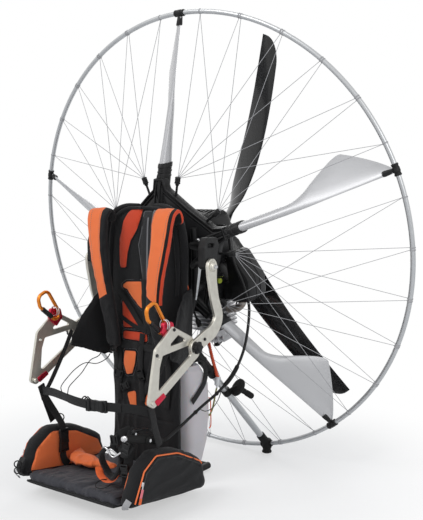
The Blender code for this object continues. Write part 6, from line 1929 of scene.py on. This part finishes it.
def beside_straps(points):
    """Folds are strongest on the pack's sides and below the lumbar panels."""
    return np.clip(np.abs(points[:, 0]) / 0.10 - 0.9, 0, 1) + np.clip((0.44 - points[:, 2]) / 0.05, 0, 0.8)


crease(back_pad, 0.055, 0.0035, 4.7, (1.6, 1.6, 0.5), beside_straps)
settle(back_pad, "chassis", ["backrest"])

back_tree = surface_of(back_pad)


def on_back(points, lift):
    """Points of the front view (x, z) laid on the back pad's front and lifted off it."""
    return laid(back_tree, [(x, -0.09, z) for x, z in points], (0, 1, 0), lift)


RED_INNER = [(-0.045, 0.806), (-0.020, 0.810), (0.000, 0.806), (-0.006, 0.775), (-0.017, 0.742),
             (-0.041, 0.710),
             (-0.053, 0.673), (-0.059, 0.630), (-0.085, 0.628), (-0.088, 0.660), (-0.087, 0.700),
             (-0.078, 0.745), (-0.061, 0.790)]
LUMBAR = [(-0.084, 0.574), (-0.060, 0.590), (0.006, 0.594), (0.006, 0.505), (-0.025, 0.532), (-0.058, 0.566)]
LUMBAR_LOW = [(-0.078, 0.545), (-0.055, 0.512), (-0.020, 0.478), (0.006, 0.458), (-0.074, 0.452)]
BAND = [(-0.074, 0.441), (0.018, 0.443), (0.018, 0.416), (-0.074, 0.418)]
DIAMOND = [(-0.071, 0.383), (-0.021, 0.386), (-0.027, 0.347), (-0.038, 0.316), (-0.062, 0.309),
           (-0.075, 0.341)]
LOW_TAB = [(-0.060, 0.256), (-0.026, 0.266), (-0.025, 0.205), (-0.045, 0.204)]
SIDE_TAB = [(0.006, 0.226), (0.030, 0.300), (0.048, 0.300), (0.046, 0.262), (0.034, 0.228)]
MESH_BACK = [(0.004, 0.798), (0.080, 0.798), (0.078, 0.720), (0.060, 0.560), (0.012, 0.560), (-0.002, 0.620),
             (-0.012, 0.700), (0.000, 0.745)]


def front_panel(name, outline, material, lift=0.0014, puff=0.0030, edge=None, edge_radius=0.0016):
    """A panel on the back pad's front, with piping round it if an edge material is given."""
    outline = rounded([(x, z, 0.007) for x, z in outline], 4)
    bm = bmesh.new()
    add_panel(bm, back_tree, outline, lambda p: (p.x, -0.09, p.y), (0, 1, 0), lift, puff)
    build(name, bm, material, sharp=60)
    if edge:
        rim = on_back(outline, lift)
        bm = bmesh.new()
        add_skin(bm, [ring(p, side, up, edge_radius, edge_radius, 8) for p, side,
                      up in frames_along(rim, (0, 1, 0))],
                 closed=True)
        build(f"{name}_edge", bm, edge, sharp=60)
    return outline


seams = [front_panel("back_mesh", MESH_BACK, spacer, 0.0006, 0.0015, thread_grey, 0.0009)]
for name, outline, cloth, edge in (("red_inner_panel", RED_INNER, cloth_red, piping_black),
                                   ("lumbar_panel", LUMBAR, cloth_orange, piping_black),
                                   ("lumbar_panel_low", LUMBAR_LOW, cloth_red, None),
                                   ("lumbar_band", BAND, cloth_red, None),
                                   ("lower_panel", DIAMOND, cloth_orange, piping_black),
                                   ("lower_tab", LOW_TAB, cloth_orange, None),
                                   ("side_tab", SIDE_TAB, cloth_orange, None)):
    seams.append(front_panel(name, outline, cloth, edge=edge))
print("back pad", len(back_pad.data.polygons), "faces and", len(seams), "panels")

# %% Webbing over the back pad
def strap_on_back(bm, points, half_width, lift, count=24, thick=0.0010):
    """Webbing that lies on the back pad along points of the front view."""
    path = laid(back_tree, smooth_path([(x, -0.09, z) for x, z in points], count), (0, 1, 0), lift)
    add_strap(bm, path, [Vector((0, -1, 0))] * count, half_width, thick, 8)


bm = bmesh.new()
for points, half, lift in ((((-0.084, 0.560), (-0.040, 0.510), (0.014, 0.446)), 0.0095, 0.0050),
                           (((0.010, 0.600), (0.014, 0.520), (0.024, 0.440)), 0.011, 0.0052),
                           (((-0.080, 0.485), (-0.030, 0.462), (0.020, 0.449)), 0.0065, 0.0062),
                           (((-0.095, 0.400), (-0.020, 0.402), (0.060, 0.398)), 0.011, 0.0045),
                           (((-0.092, 0.404), (-0.086, 0.340), (-0.092, 0.250)), 0.008, 0.0045),
                           (((0.004, 0.440), (-0.006, 0.360), (0.004, 0.240)), 0.010, 0.0052),
                           (((0.052, 0.430), (0.038, 0.350), (0.012, 0.262)), 0.009, 0.0046)):
    strap_on_back(bm, points, half, lift)
build("back_webbing", bm, tape_black, sharp=50)
bm = bmesh.new()
strap_on_back(bm, ((0.045, 0.804), (0.043, 0.720), (0.044, 0.640), (0.050, 0.575)), 0.0042, 0.0030)
strap_on_back(bm, ((0.026, 0.780), (0.022, 0.680), (0.020, 0.580)), 0.0030, 0.0024)
build("back_grey_tape", bm, thread_grey, sharp=50)
stitches("back_stitches", [on_back(inset_outline(one, -0.005), 0.0006) for one in seams[2:6]], thread_grey)
slit = ((0.1438, -0.076, 0.610), (0.1446, -0.073, 0.598), (0.1448, -0.066, 0.582), (0.1440, -0.060, 0.570))
rod("side_slit", [Vector(p) for p in slit], [0.0010, 0.0026, 0.0026, 0.0010], tape_orange)
bm = bmesh.new()
for x, z, turn in ((-0.088, 0.312, 12), (-0.062, 0.276, -28), (0.000, 0.318, 70)):
    hit = on_back([(x, z)], 0.0088)[0]
    place = Matrix.Translation(hit) @ Matrix.Rotation(math.radians(turn), 4, "Y") @ FRONT_VIEW
    add_buckle(bm, place, 0.017, 0.012, 0.005)
build("back_buckles", bm, buckle_black)

# %% [markdown]
# ## Shoulder straps
#
# Each strap leaves the top of the back pad, arches forward where a shoulder would be and
# runs down in front. Its rings are kept, not remeshed, so that the colours meet in clean
# lines: orange outside, a black lining, a thin red strip, and a black end after a slanted cut.

# %% Shoulder straps
STRAP_ROUTE = ((0.124, -0.1075, 0.762), (0.126, -0.1140, 0.790), (0.126, -0.1250, 0.800),
               (0.124, -0.1440, 0.780),
               (0.117, -0.1560, 0.700), (0.102, -0.1580, 0.620), (0.090, -0.1500, 0.540),
               (0.088, -0.1310, 0.465), (0.095, -0.1090, 0.396))
STRAP_SIDES, STRAP_RINGS = 40, 96
CUT_SHARE = 0.655
CUT_SLANT = 0.38
STRAP_TAPER = 0.15                  # share of the length before the strap starts to narrow
STRAP_CORNER = 3.2                  # superellipse power of the section
TIP_SHARE = 0.03


def strap_half(share):
    """Half the strap's width; it narrows from 80 to 48 mm."""
    return 0.040 - 0.016 * max(0.0, share - STRAP_TAPER) / (1 - STRAP_TAPER)


strap_trees = {}
for side, tag in SIDES:
    path = smooth_path([(side * x, y, z) for x, y, z in STRAP_ROUTE], STRAP_RINGS)
    bm = bmesh.new()
    rings = []
    for k, p in enumerate(path):
        share = k / (STRAP_RINGS - 1)
        ahead = (path[min(k + 1, STRAP_RINGS - 1)] - path[max(k - 1, 0)]).normalized()
        across = Vector((1, 0, 0))
        across = (across - ahead * across.dot(ahead)).normalized()
        tip = min(share, 1 - share) / TIP_SHARE
        ends = math.sqrt(max(0.02, 1 - (1 - tip) ** 2)) if tip < 1 else 1.0
        half = strap_half(share) * (0.55 + 0.45 * ends)
        thick = (0.0085 if share > 0.10 else 0.0060 + 0.025 * share) * (0.4 + 0.6 * ends)
        slant = CUT_SLANT * math.exp(-((share - CUT_SHARE) / 0.08) ** 2)
        rings.append([q + ahead * (slant * side * (q - p).dot(across))
                      for q in ring(p, across, ahead.cross(across), half, thick, STRAP_SIDES, STRAP_CORNER)])
    add_skin(bm, rings)
    bm.faces.ensure_lookup_table()
    for index in range((STRAP_RINGS - 1) * STRAP_SIDES):
        share = (index // STRAP_SIDES + 0.5) / (STRAP_RINGS - 1)
        angle = 2 * math.pi * (index % STRAP_SIDES + 0.5) / STRAP_SIDES
        out = side * math.copysign(abs(math.cos(angle)) ** (2 / STRAP_CORNER), math.cos(angle))
        if share > CUT_SHARE or math.sin(angle) < -0.35:
            bm.faces[index].material_index = 1
        elif side > 0 and out > 0.88:
            bm.faces[index].material_index = 2
        elif (side > 0 and out > 0.55) or (side < 0 and out < -0.45) or out < -0.90:
            bm.faces[index].material_index = 1
    name = f"shoulder_strap_pad_{tag}"
    strap = link(name, close_mesh(bm, name, 60), cloth_orange, cloth_black, cloth_red)
    blow_up(strap, 4.0, 0.004)
    strap.data.shade_smooth()
    crease(strap, 0.030, 0.0016, 9.1 * side, (1.2, 1.2, 0.8))
    settle(strap, "chassis", [f"shoulder_strap_{tag}"])
    strap_trees[tag] = surface_of(strap)
    rows = []
    for u in (-0.84 if side > 0 else -0.38, 0.50):
        line = [p + Vector((side * u * strap_half(k / (STRAP_RINGS - 1)), -0.02, 0.004))
                for k, p in enumerate(path) if 10 < k < 60]
        rows.append([strap_trees[tag].find_nearest(p)[0] for p in line])
    stitches(f"strap_stitches_{tag}", rows, thread_grey)
print("strap is", round(path_length(path), 3), "m along its middle")

# %% Lining, collar, chest webbing
COLLAR = ((0.030, 0.806), (0.060, 0.804), (0.090, 0.790), (0.110, 0.766), (0.121, 0.730), (0.126, 0.680),
          (0.128, 0.620), (0.126, 0.560))
bm = bmesh.new()
for side in (1, -1):
    roll = on_back([(side * x, z) for x, z in COLLAR], 0.003)
    roll = smooth_path([(side * 0.0, -0.0925, 0.808)] + roll, 48)
    add_tube(bm, roll, [0.0035 + 0.0050 * math.sin(math.pi * min(1, 0.08 + k / 47) * 0.92)
                        for k in range(48)], 14)
for side in (1, -1):
    yoke = smooth_path([(side * 0.030, -0.072, 0.814), (side * 0.075, -0.080, 0.811),
                        (side * 0.110, -0.086, 0.795),
                        (side * 0.132, -0.084, 0.765), (side * 0.142, -0.080, 0.710),
                        (side * 0.143, -0.078, 0.620), (side * 0.141, -0.078, 0.520)], 60)
    widths = [0.0045 + 0.0075 * math.sin(math.pi * min(1, 0.06 + k / 59 * 0.9)) for k in range(60)]
    add_tube(bm, yoke, widths, 14)
build("collar_roll", bm, cloth_black, sharp=60)

bm = bmesh.new()
for side in (1, -1):
    lower = ((0.094, -0.114, 0.412), (0.098, -0.1095, 0.385), (0.100, -0.1010, 0.345),
             (0.096, -0.0985, 0.290), (0.090, -0.0985, 0.230))
    add_webbing(bm, [mirrored(p, side) for p in lower], 24, (0, -1, 0.2), 0.010, 0.0010, 8)
build("strap_webbing", bm, tape_black, sharp=50)
bm = bmesh.new()
for side in (1, -1):
    place = (Matrix.Translation((side * 0.0975, -0.1125, 0.392)) @ Matrix.Rotation(math.radians(-22), 4, "X")
             @ FRONT_VIEW @ Matrix.Rotation(math.radians(90), 4, "Z"))
    add_buckle(bm, place, 0.015, 0.013, 0.0052)
build("strap_buckles", bm, buckle_black)

# %% [markdown]
# ## Hip wings and seat
#
# Two pointed fabric wings stand beside the back, stiffened at their rims. The seat is a thin
# quilted board whose front lifts; its smooth cushion lies at the back, and a loose orange
# flap lies across it. Creases come from a ridged noise field pressed in after the cloth pass.

# %% Hip wings
WING_RINGS = ((0.0, -0.056, 0.114, 0.0050), (0.0, -0.090, 0.109, 0.0050), (0.012, -0.130, 0.082, 0.0075),
              (0.028, -0.168, 0.047, 0.0065), (0.036, -0.199, 0.013, 0.0042))
WING_X = 0.1543


def wing_height(y):
    """The wing's middle drops a little towards its tip."""
    return 0.470 - 0.06 * (y + 0.052) ** 2 / 0.0225


for side, tag in SIDES:
    route = smooth_path([(x, y, high) for x, y, high, thick in WING_RINGS], 30)
    bm = bmesh.new()
    rings = []
    for out, y, high in route:
        thick = float(np.interp(-y, [-r[1] for r in WING_RINGS], [r[3] for r in WING_RINGS]))
        rings.append(ring((side * (WING_X + out), y, wing_height(y)), (side, 0, 0), (0, 0, 1), thick, high,
                          48, 3.0))
    add_skin(bm, rings)
    wing = pad(f"hip_wing_pad_{tag}", bm, [cloth_black], 0.0052, 4.0, 0.0025)
    crease(wing, 0.050, 0.0022, 2.3 * side, (1, 1.0, 0.55))
    settle(wing, "chassis", [f"hip_wing_{tag}"])
    rims = []
    for way in (1, -1):
        rims.append([Vector((side * (WING_X + out), y, wing_height(y) + way * (high + 0.0004)))
                     for out, y, high in route])
    tree = surface_of(wing)
    rim = smooth_path([tree.find_nearest(p)[0] for p in rims[0] + rims[1][::-1]], 90)
    rod(f"hip_wing_piping_{tag}", rim, 0.0021, piping_black)

# %% Seat board, quilting and edges
SEAT_HALF = 0.166
SEAT_BACK, SEAT_FRONT = -0.101, -0.400
CUSHION_BACK, CUSHION_FRONT = -0.106, -0.245


def seat_under(y):
    """The seat's lower face; it lifts towards the front."""
    return 0.0115 + 0.036 * max(0.0, min(1.0, (-0.0963 - y) / 0.3077)) ** 1.4


bm = bmesh.new()
rings = []
for y in np.linspace(SEAT_BACK, SEAT_FRONT, 56):
    near_end = min(1.0, min(SEAT_BACK - y, y - SEAT_FRONT) / 0.010)
    half_high = 0.0100 + 0.0058 * near_end
    rings.append(ring((0, y, seat_under(y) + 0.0165), (1, 0, 0), (0, 0, 1),
                      SEAT_HALF - 0.004 * (1 - near_end), half_high, 60, 6.0))
add_skin(bm, rings)
seat_pad = pad("seat_pad", bm, [cloth_grey], 0.0058, 3.0, 0.0018)
quilt = [[(x, y, seat_under(y) + 0.034) for y in (-0.250, -0.330, -0.400)]
         for x in (-0.128, -0.086, -0.043, 0.0, 0.043, 0.086, 0.128)]
sew(seat_pad, quilt, 0.0050, 0.0022)


def front_share(points):
    """Folds start at the seat's middle and are full at its front."""
    return np.clip((-0.20 - points[:, 1]) / 0.06, 0.0, 1.0)


crease(seat_pad, 0.060, 0.0042, 6.1, (1.5, 0.7, 1.0), front_share)
crease(seat_pad, 0.022, 0.0014, 1.7, (1.6, 0.7, 1.0), front_share)
settle(seat_pad, "chassis", ["seat"])
seat_tree = surface_of(seat_pad)

bm = bmesh.new()
rings = []
for y in np.linspace(CUSHION_BACK, CUSHION_FRONT, 26):
    near_end = min(1.0, min(CUSHION_BACK - y, y - CUSHION_FRONT) / 0.012)
    rings.append(ring((0, y, seat_under(y) + 0.0405), (1, 0, 0), (0, 0, 1), 0.152 - 0.006 * (1 - near_end),
                      0.0035 + 0.0040 * near_end, 48, 5.0))
add_skin(bm, rings)
board = pad("seat_cushion", bm, [cloth_grey], 0.0052, 3.0, 0.003)
settle(board, "chassis")

bm = bmesh.new()
edge = [Vector((x, -0.4000, seat_under(-0.400) + 0.0045)) for x in np.linspace(-SEAT_HALF + 0.002,
                                                                               SEAT_HALF - 0.002, 60)]
add_tube(bm, edge, 0.0030, 8, first_side=(0, 1, 0))
for side in (-1, 1):
    row = [Vector((side * (SEAT_HALF + 0.0015), y, seat_under(y) + 0.0280))
           for y in np.linspace(-0.396, -0.110, 40)]
    add_tube(bm, row, 0.0018, 8)
build("seat_piping", bm, piping_black, sharp=60)
bm = bmesh.new()
add_skin(bm, [ring((0, y, seat_under(y) + 0.0045), (1, 0, 0), (0, 0, 1), SEAT_HALF - 0.002, 0.0048, 40, 6.0)
              for y in np.linspace(-0.108, -0.4005, 40)])
build("seat_base", bm, cloth_black, sharp=50)
stitches("seat_stitches", [laid(seat_tree, line, (0, 0, -1), 0.0006) for line in
                           [[(x, y, 0.1) for y in np.linspace(-0.262, -0.390, 14)]
                            for x in (-0.128, -0.086, 0.086, 0.128)]],
         thread_grey)

# %% The orange flap across the seat
FLAP = ((-0.164, -0.206, 0.034, 0.020), (-0.150, -0.226, 0.030, 0.034), (-0.118, -0.240, 0.018, 0.037),
        (-0.082, -0.240, 0.013, 0.034), (-0.052, -0.232, 0.011, 0.025), (-0.026, -0.226, 0.014, 0.019),
        (0.004, -0.224, 0.005, 0.011))
route = smooth_path([(x, y, lift) for x, y, lift, half in FLAP], 44)
bm = bmesh.new()
rings = []
for k, (x, y, lift) in enumerate(route):
    half = float(np.interp(x, [f[0] for f in FLAP], [f[3] for f in FLAP]))
    base = laid(seat_tree, [(x, y, 0.1)], (0, 0, -1))[0].z
    rings.append(ring((x, y, base + 0.014 + lift * 0.5), (0.25, -0.97, 0), (0, 0, 1), half,
                      0.0025 + lift * 0.42, 22, 2.6))
add_skin(bm, rings)
flap = pad("seat_flap", bm, [cloth_orange], 0.0050, 4.0, 0.003)
crease(flap, 0.030, 0.0048, 3.3, (1.0, 0.8, 0.6))
settle(flap, "chassis")
print("seat pieces rest between", round(seat_under(-0.1), 3), "and", round(seat_under(-0.4), 3), "m")

# %% [markdown]
# ## Side pockets
#
# A pocket hangs on each side of the seat. Its outline is drawn in the side view, made a
# thick plate with a soft rim and blown up. The orange piping follows its upper edge, with
# a zip under it; the inner face is lined in orange. The lettered place is left bare.

# %% Pockets
POCKET = [(-0.402, 0.057, 0.012), (-0.359, 0.148, 0.040), (-0.300, 0.184, 0.040), (-0.200, 0.166, 0.080),
          (-0.088, 0.111, 0.050), (-0.066, 0.016, 0.020), (-0.230, 0.028, 0.100)]
LINING = [(-0.384, 0.064, 0.010), (-0.350, 0.134, 0.030), (-0.298, 0.166, 0.030), (-0.205, 0.146, 0.050),
          (-0.112, 0.096, 0.030), (-0.094, 0.052, 0.010), (-0.240, 0.052, 0.060)]
POCKET_OUTLINE = rounded(POCKET, 8)
UPPER_EDGE = slice(7, 42)           # the outline's points along the pocket's upper edge
PIPING = inset_outline(POCKET_OUTLINE, 0.0145)[UPPER_EDGE]
ZIP = inset_outline(POCKET_OUTLINE, 0.0225)[UPPER_EDGE]
for side, tag in SIDES:
    turn = Matrix.Scale(side, 4, (1, 0, 0)) @ SIDE_VIEW
    bm = bmesh.new()
    add_plate(bm, POCKET_OUTLINE, 0.1728, 0.2178, 0.0125, turn)
    pocket = pad(f"pocket_{tag}", bm, [cloth_black], 0.0055, 4.0, 0.0035)
    crease(pocket, 0.055, 0.0028, 5.5 + side, (0.8, 0.7, 1.4))
    settle(pocket, "chassis", [f"side_pocket_{tag}"])
    tree = surface_of(pocket)
    across = Vector((side, 0, 0))
    bm = bmesh.new()
    add_panel(bm, tree, rounded(LINING, 6), lambda p: (side * 0.150, p.x, p.y), across, 0.0012, 0.0016, 0.010)
    build(f"pocket_lining_{tag}", bm, cloth_orange, sharp=60)

    def on_outside(rows, lift):
        """Points of the side view laid on the pocket's outer face."""
        return laid(tree, [(side * 0.25, y, z) for y, z in rows], -across, lift)

    rod(f"pocket_piping_{tag}", smooth_path(on_outside(PIPING[::2], 0.0016), 80), 0.0021, piping_orange, 10)
    zip_line = smooth_path(on_outside(ZIP[::2], 0.0010), 60)
    bm = bmesh.new()
    add_strap(bm, zip_line, [across] * 60, 0.0048, 0.0009, 8)
    build(f"pocket_zip_tape_{tag}", bm, tape_black, sharp=60)
    stitches(f"pocket_zip_teeth_{tag}", [[p + across * 0.0012 for p in zip_line]], black_steel, "chassis",
             0.0030, 0.0022, 0.0010)
    foot_line = smooth_path([(side * 0.1955, y, z) for y, z, r in (POCKET[0], (-0.300, 0.033, 0),
                                                                   (-0.230, 0.0265, 0),
                                                                  (-0.150, 0.021, 0), POCKET[5])], 50)
    rod(f"pocket_foot_piping_{tag}", [tree.find_nearest(p)[0] for p in foot_line], 0.0022, piping_black)

    slider = zip_line[8] + across * 0.0030 + Vector((0, -0.005, 0.002))
    bm = bmesh.new()
    way = Vector((0, -0.30, -0.95)).normalized()
    place = facing(slider, across, -way)
    add_plate(bm, box_outline(0, 0, 0.006, 0.0035, 0.002), -0.0015, 0.0022, 0.0008, place)
    chain = [slider + way * d + across * 0.0016 for d in (0.002, 0.008, 0.014)]
    add_tube(bm, chain, [0.0012, 0.0020, 0.0014], 8)
    build(f"zip_slider_{tag}", bm, steel)
    bm = bmesh.new()
    pull = [slider + way * d + across * (0.0018 + 0.001 * math.sin(d * 90))
            for d in (0.012, 0.018, 0.030, 0.036)]
    add_webbing(bm, pull, 10, across, 0.0042, 0.0012, 10)
    build(f"zip_pull_{tag}", bm, pull_pink)
    bm = bmesh.new()
    pull = [slider + way * d + across * 0.0026 for d in (0.035, 0.042, 0.050)]
    add_webbing(bm, pull, 8, across, 0.0046, 0.0014, 10)
    build(f"zip_tab_{tag}", bm, tape_orange)
    bm = bmesh.new()
    fold = ((0.200, -0.3965, 0.052), (0.204, -0.4030, 0.058), (0.209, -0.4035, 0.068),
            (0.212, -0.3960, 0.078))
    add_webbing(bm, [mirrored(p, side) for p in fold], 12, (side * 0.6, -1, 0.1), 0.0085, 0.0009, 8)
    build(f"corner_tag_{tag}", bm, net_line, sharp=60)
print("pocket outline has", len(POCKET_OUTLINE), "points")

# %% [markdown]
# ## Webbing, buckles and loops
#
# The hang straps join the lower ends of the brackets to the pockets, and the waist strap
# joins the two sides. Flat webbing is modelled directly: a thin strip with square edges that
# follows a smooth path.

# %% Straps between the arms and the frame
HANG_ROUTE = ((0.205, -0.306, 0.298), (0.205, -0.297, 0.272), (0.205, -0.290, 0.250), (0.204, -0.276, 0.214),
              (0.2035, -0.264, 0.184))
WING_ROUTE = ((0.2020, -0.299, 0.274), (0.1900, -0.288, 0.300), (0.1850, -0.262, 0.345),
              (0.1850, -0.228, 0.398), (0.1880, -0.198, 0.445))
for side, tag in SIDES:
    across = Vector((side, 0, 0))
    bm = bmesh.new()
    route = add_webbing(bm, [mirrored(p, side) for p in HANG_ROUTE], 30, across, 0.0120, 0.0012)
    add_strap(bm, [p + across * 0.0026 for p in route[:12]], [across] * 12, 0.0118, 0.0010)
    web = build(f"hang_strap_{tag}", bm, tape_black, None, replaced=[f"hang_web_{tag}"], sharp=50)
    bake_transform(web)

for side, tag in SIDES:
    bm = bmesh.new()
    route = add_webbing(bm, [mirrored(p, side) for p in WING_ROUTE], 34, (side, -0.2, 0), 0.0095, 0.0011)
    wing_web = build(f"wing_strap_{tag}", bm, tape_black, None, sharp=50)
    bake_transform(wing_web)

BUCKLE = Vector((0.045, -0.3375, 0.283))
halves = {"left": ((0.082, -0.3335, 0.2855), (0.100, -0.330, 0.286), (0.130, -0.324, 0.2868),
                   (0.160, -0.316, 0.288), (0.185, -0.309, 0.2855), (0.2032, -0.304, 0.282)),
          "right": ((0.008, -0.3375, 0.2822), (-0.030, -0.336, 0.2832), (-0.070, -0.330, 0.285),
                    (-0.110, -0.321, 0.2858), (-0.150, -0.312, 0.286), (-0.180, -0.3070, 0.284),
                    (-0.2032, -0.304, 0.282))}
for tag, route in halves.items():
    route = smooth_path(route, 44)
    normals = [Vector((0, -1, 0.05 * math.sin(k / 4))) for k in range(44)]
    bm = bmesh.new()
    add_strap(bm, route, normals, 0.0122, 0.0012)
    add_strap(bm, [p + Vector((0, -0.0026, 0.0004 * math.sin(k / 5))) for k, p in enumerate(route[:16])],
              normals[:16], 0.0119, 0.0010)
    belt = build(f"waist_strap_{tag}", bm, tape_black, None, replaced=["waist_strap"]
                 if tag == "left" else [], sharp=50)
    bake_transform(belt)
bm = bmesh.new()
place = Matrix.Translation(BUCKLE) @ Matrix.Rotation(math.radians(-4), 4, "Y") @ FRONT_VIEW
add_buckle(bm, place, 0.038, 0.0165, 0.0095)
for x in (-0.024, 0.024):
    add_plate(bm, box_outline(x, 0, 0.005, 0.0155, 0.002), -0.0075, 0.0055, 0.0012, place)
build("waist_buckle", bm, buckle_black)
bm = bmesh.new()
for x in (0.004, -0.006):
    loop = [BUCKLE + Vector((x - 0.034 + 0.013 * math.cos(a), -0.004 * math.sin(a * 2),
                             0.0125 + 0.0070 * math.sin(a)))
            for a in np.linspace(math.pi * 1.05, -0.05 * math.pi, 16)]
    add_tube(bm, loop, 0.0017, 8)
build("waist_loops", bm, cord_black, sharp=60)
print("waist strap halves:", {k: round(path_length(smooth_path(v, 44)), 3) for k, v in halves.items()})

# %% Leg straps, rings and hooks
bm = bmesh.new()
for points, count, way, half in (
        (((0.168, -0.330, 0.232), (0.163, -0.338, 0.205), (0.156, -0.334, 0.160), (0.152, -0.336, 0.120),
          (0.150, -0.340, 0.088)), 24, (0.5, -1, 0), 0.0125),
        (((0.150, -0.300, 0.230), (0.143, -0.316, 0.190), (0.134, -0.318, 0.140), (0.138, -0.312, 0.086)), 24,
         (0.3, -1, 0), 0.0110),
        (((0.128, -0.336, 0.190), (0.143, -0.345, 0.172), (0.160, -0.344, 0.176), (0.172, -0.338, 0.196)), 20,
         (0, -1, 0), 0.0090)):
    add_webbing(bm, points, count, way, half, 0.0013)
RIM_CENTRE = Vector((0.097, -0.336, 0.137))
add_skin(bm, [ring(RIM_CENTRE + Vector((0.034 * math.cos(a), 0.008 * math.sin(a * 2), 0.040 * math.sin(a))),
                   Vector((math.cos(a), 0, math.sin(a))), (0, 1, 0), 0.0042, 0.0105, 12, 4.0)
              for a in np.linspace(0, 2 * math.pi, 49)[:-1]], closed=True)
build("leg_straps", bm, tape_black, sharp=50)
bm = bmesh.new()
add_webbing(bm, ((0.054, -0.340, 0.120), (0.062, -0.342, 0.098), (0.086, -0.344, 0.0885),
                 (0.112, -0.342, 0.094), (0.126, -0.338, 0.112)), 26, (0, -0.15, 1), 0.0105, 0.0012)
build("leg_loop_orange", bm, tape_orange, sharp=50)
bm = bmesh.new()
add_tube(bm, smooth_path([(0.076, -0.348, 0.176), (0.088, -0.352, 0.182), (0.101, -0.353, 0.176),
                          (0.106, -0.351, 0.166),
                          (0.117, -0.350, 0.160), (0.130, -0.348, 0.168), (0.139, -0.345, 0.175)], 26),
         0.0030, 10)
add_tube(bm, smooth_path([(0.101, -0.353, 0.176), (0.114, -0.354, 0.181), (0.130, -0.348, 0.168)], 14),
         0.0024, 10)
build("leg_hook", bm, steel, sharp=60)
bm = bmesh.new()
for centre, tilt, half in (((0.155, -0.3440, 0.190), 12, 0.018), ((0.150, -0.3440, 0.128), -8, 0.017),
                           ((0.140, -0.3240, 0.205), 40, 0.015), ((0.118, -0.3470, 0.205), 80, 0.013)):
    place = Matrix.Translation(centre) @ Matrix.Rotation(math.radians(90 + tilt), 4, "Y") @ FRONT_VIEW
    add_buckle(bm, place, half, 0.0145, 0.0065)
build("leg_buckles", bm, buckle_black)
bm = bmesh.new()
add_webbing(bm, ((0.104, -0.338, 0.180), (0.112, -0.341, 0.200), (0.130, -0.338, 0.222),
                 (0.150, -0.318, 0.234)), 20,
            (0.2, -1, 0), 0.0100, 0.0013)
build("leg_strap_upper", bm, tape_black, sharp=50)

bm = bmesh.new()
far = add_webbing(bm, ((-0.2015, -0.300, 0.268), (-0.196, -0.282, 0.236), (-0.182, -0.270, 0.205),
                       (-0.1625, -0.266, 0.176), (-0.1610, -0.266, 0.140), (-0.1615, -0.266, 0.090)), 34,
                  (1, 0, 0.1), 0.0120, 0.0012)
add_webbing(bm, ((-0.1610, -0.268, 0.096), (-0.1600, -0.262, 0.074), (-0.158, -0.250, 0.058)), 12, (1, 0, 0),
            0.0115, 0.0012)
far_web = build("far_leg_strap", bm, tape_black, None, sharp=50)
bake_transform(far_web)
bm = bmesh.new()
place = facing((-0.1575, -0.266, 0.134), (1, 0, 0))
add_buckle(bm, place, 0.034, 0.0175, 0.0085)
build("far_leg_buckle", bm, buckle_black)
bm = bmesh.new()
for at, radius, way in (((-0.1895, -0.4140, 0.078), 0.0085, (0.5, -0.8, 0.1)),
                        ((-0.1895, -0.4120, 0.096), 0.0095, (0.6, -0.7, 0)),
                        ((-0.1800, -0.2580, 0.196), 0.0110, (0.6, -0.8, 0.1))):
    place = facing(at, way)
    loop = [place @ Vector((radius * math.cos(a), radius * math.sin(a), 0))
            for a in np.linspace(0, 2 * math.pi, 25)[:-1]]
    add_skin(bm, [ring(p, (p - Vector(at)).normalized(), Vector(way).normalized(), 0.0017, 0.0024, 10)
                  for p in loop],
             closed=True)
add_webbing(bm, ((-0.190, -0.398, 0.060), (-0.190, -0.4065, 0.074), (-0.190, -0.4060, 0.092),
                 (-0.190, -0.392, 0.110)),
            14, (0, -1, 0), 0.0100, 0.0013)
build("far_rings", bm, buckle_black, sharp=60)

# %% Loose cords
def loose_cord(name, points, diameter, count=26):
    """A limp line on a smooth curve through a few points, a little thicker at its knot."""
    route = smooth_path(points, count)
    bm = bmesh.new()
    radii = [diameter / 2 * (1 + 0.35 * math.exp(-k / 2.0)) for k in range(count)]
    add_tube(bm, route, radii, 8)
    piece = build(name, bm, cord_black, sharp=60)
    print(name, round(path_length(route), 3), "m")


loose_cord("seat_cord", [(0.086, -0.345, 0.092), (0.082, -0.362, 0.094), (0.086, -0.384, 0.0925),
                         (0.098, -0.397, 0.089),
                         (0.116, -0.397, 0.0895), (0.126, -0.384, 0.092), (0.122, -0.368, 0.0925)], 0.0022)
loose_cord("wing_cord_low", [(-0.1560, -0.070, 0.357), (-0.1570, -0.084, 0.344), (-0.1640, -0.120, 0.334),
                             (-0.1720, -0.160, 0.342), (-0.1740, -0.200, 0.330), (-0.1600, -0.250, 0.312),
                             (-0.1400, -0.290, 0.300), (-0.1000, -0.3255, 0.297)], 0.0026,
           34)
loose_cord("wing_cord", [(-0.1600, -0.100, 0.372), (-0.1640, -0.112, 0.356), (-0.1720, -0.140, 0.346),
                         (-0.1660, -0.180, 0.318), (-0.1460, -0.230, 0.306), (-0.1180, -0.280, 0.300),
                         (-0.0700, -0.3325, 0.297)], 0.0026, 34)
loose_cord("switch_wire", [(0.2085, 0.010, 0.2800), (0.2110, -0.010, 0.2560), (0.2100, -0.035, 0.2380),
                           (0.2050, -0.060, 0.2330), (0.2000, -0.078, 0.2400)],
           0.0024, 24)

# %% [markdown]
# ## The dressed model's size
#
# The box round every shown piece except the floor is measured.

# %% Sizes and finish
low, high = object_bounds()
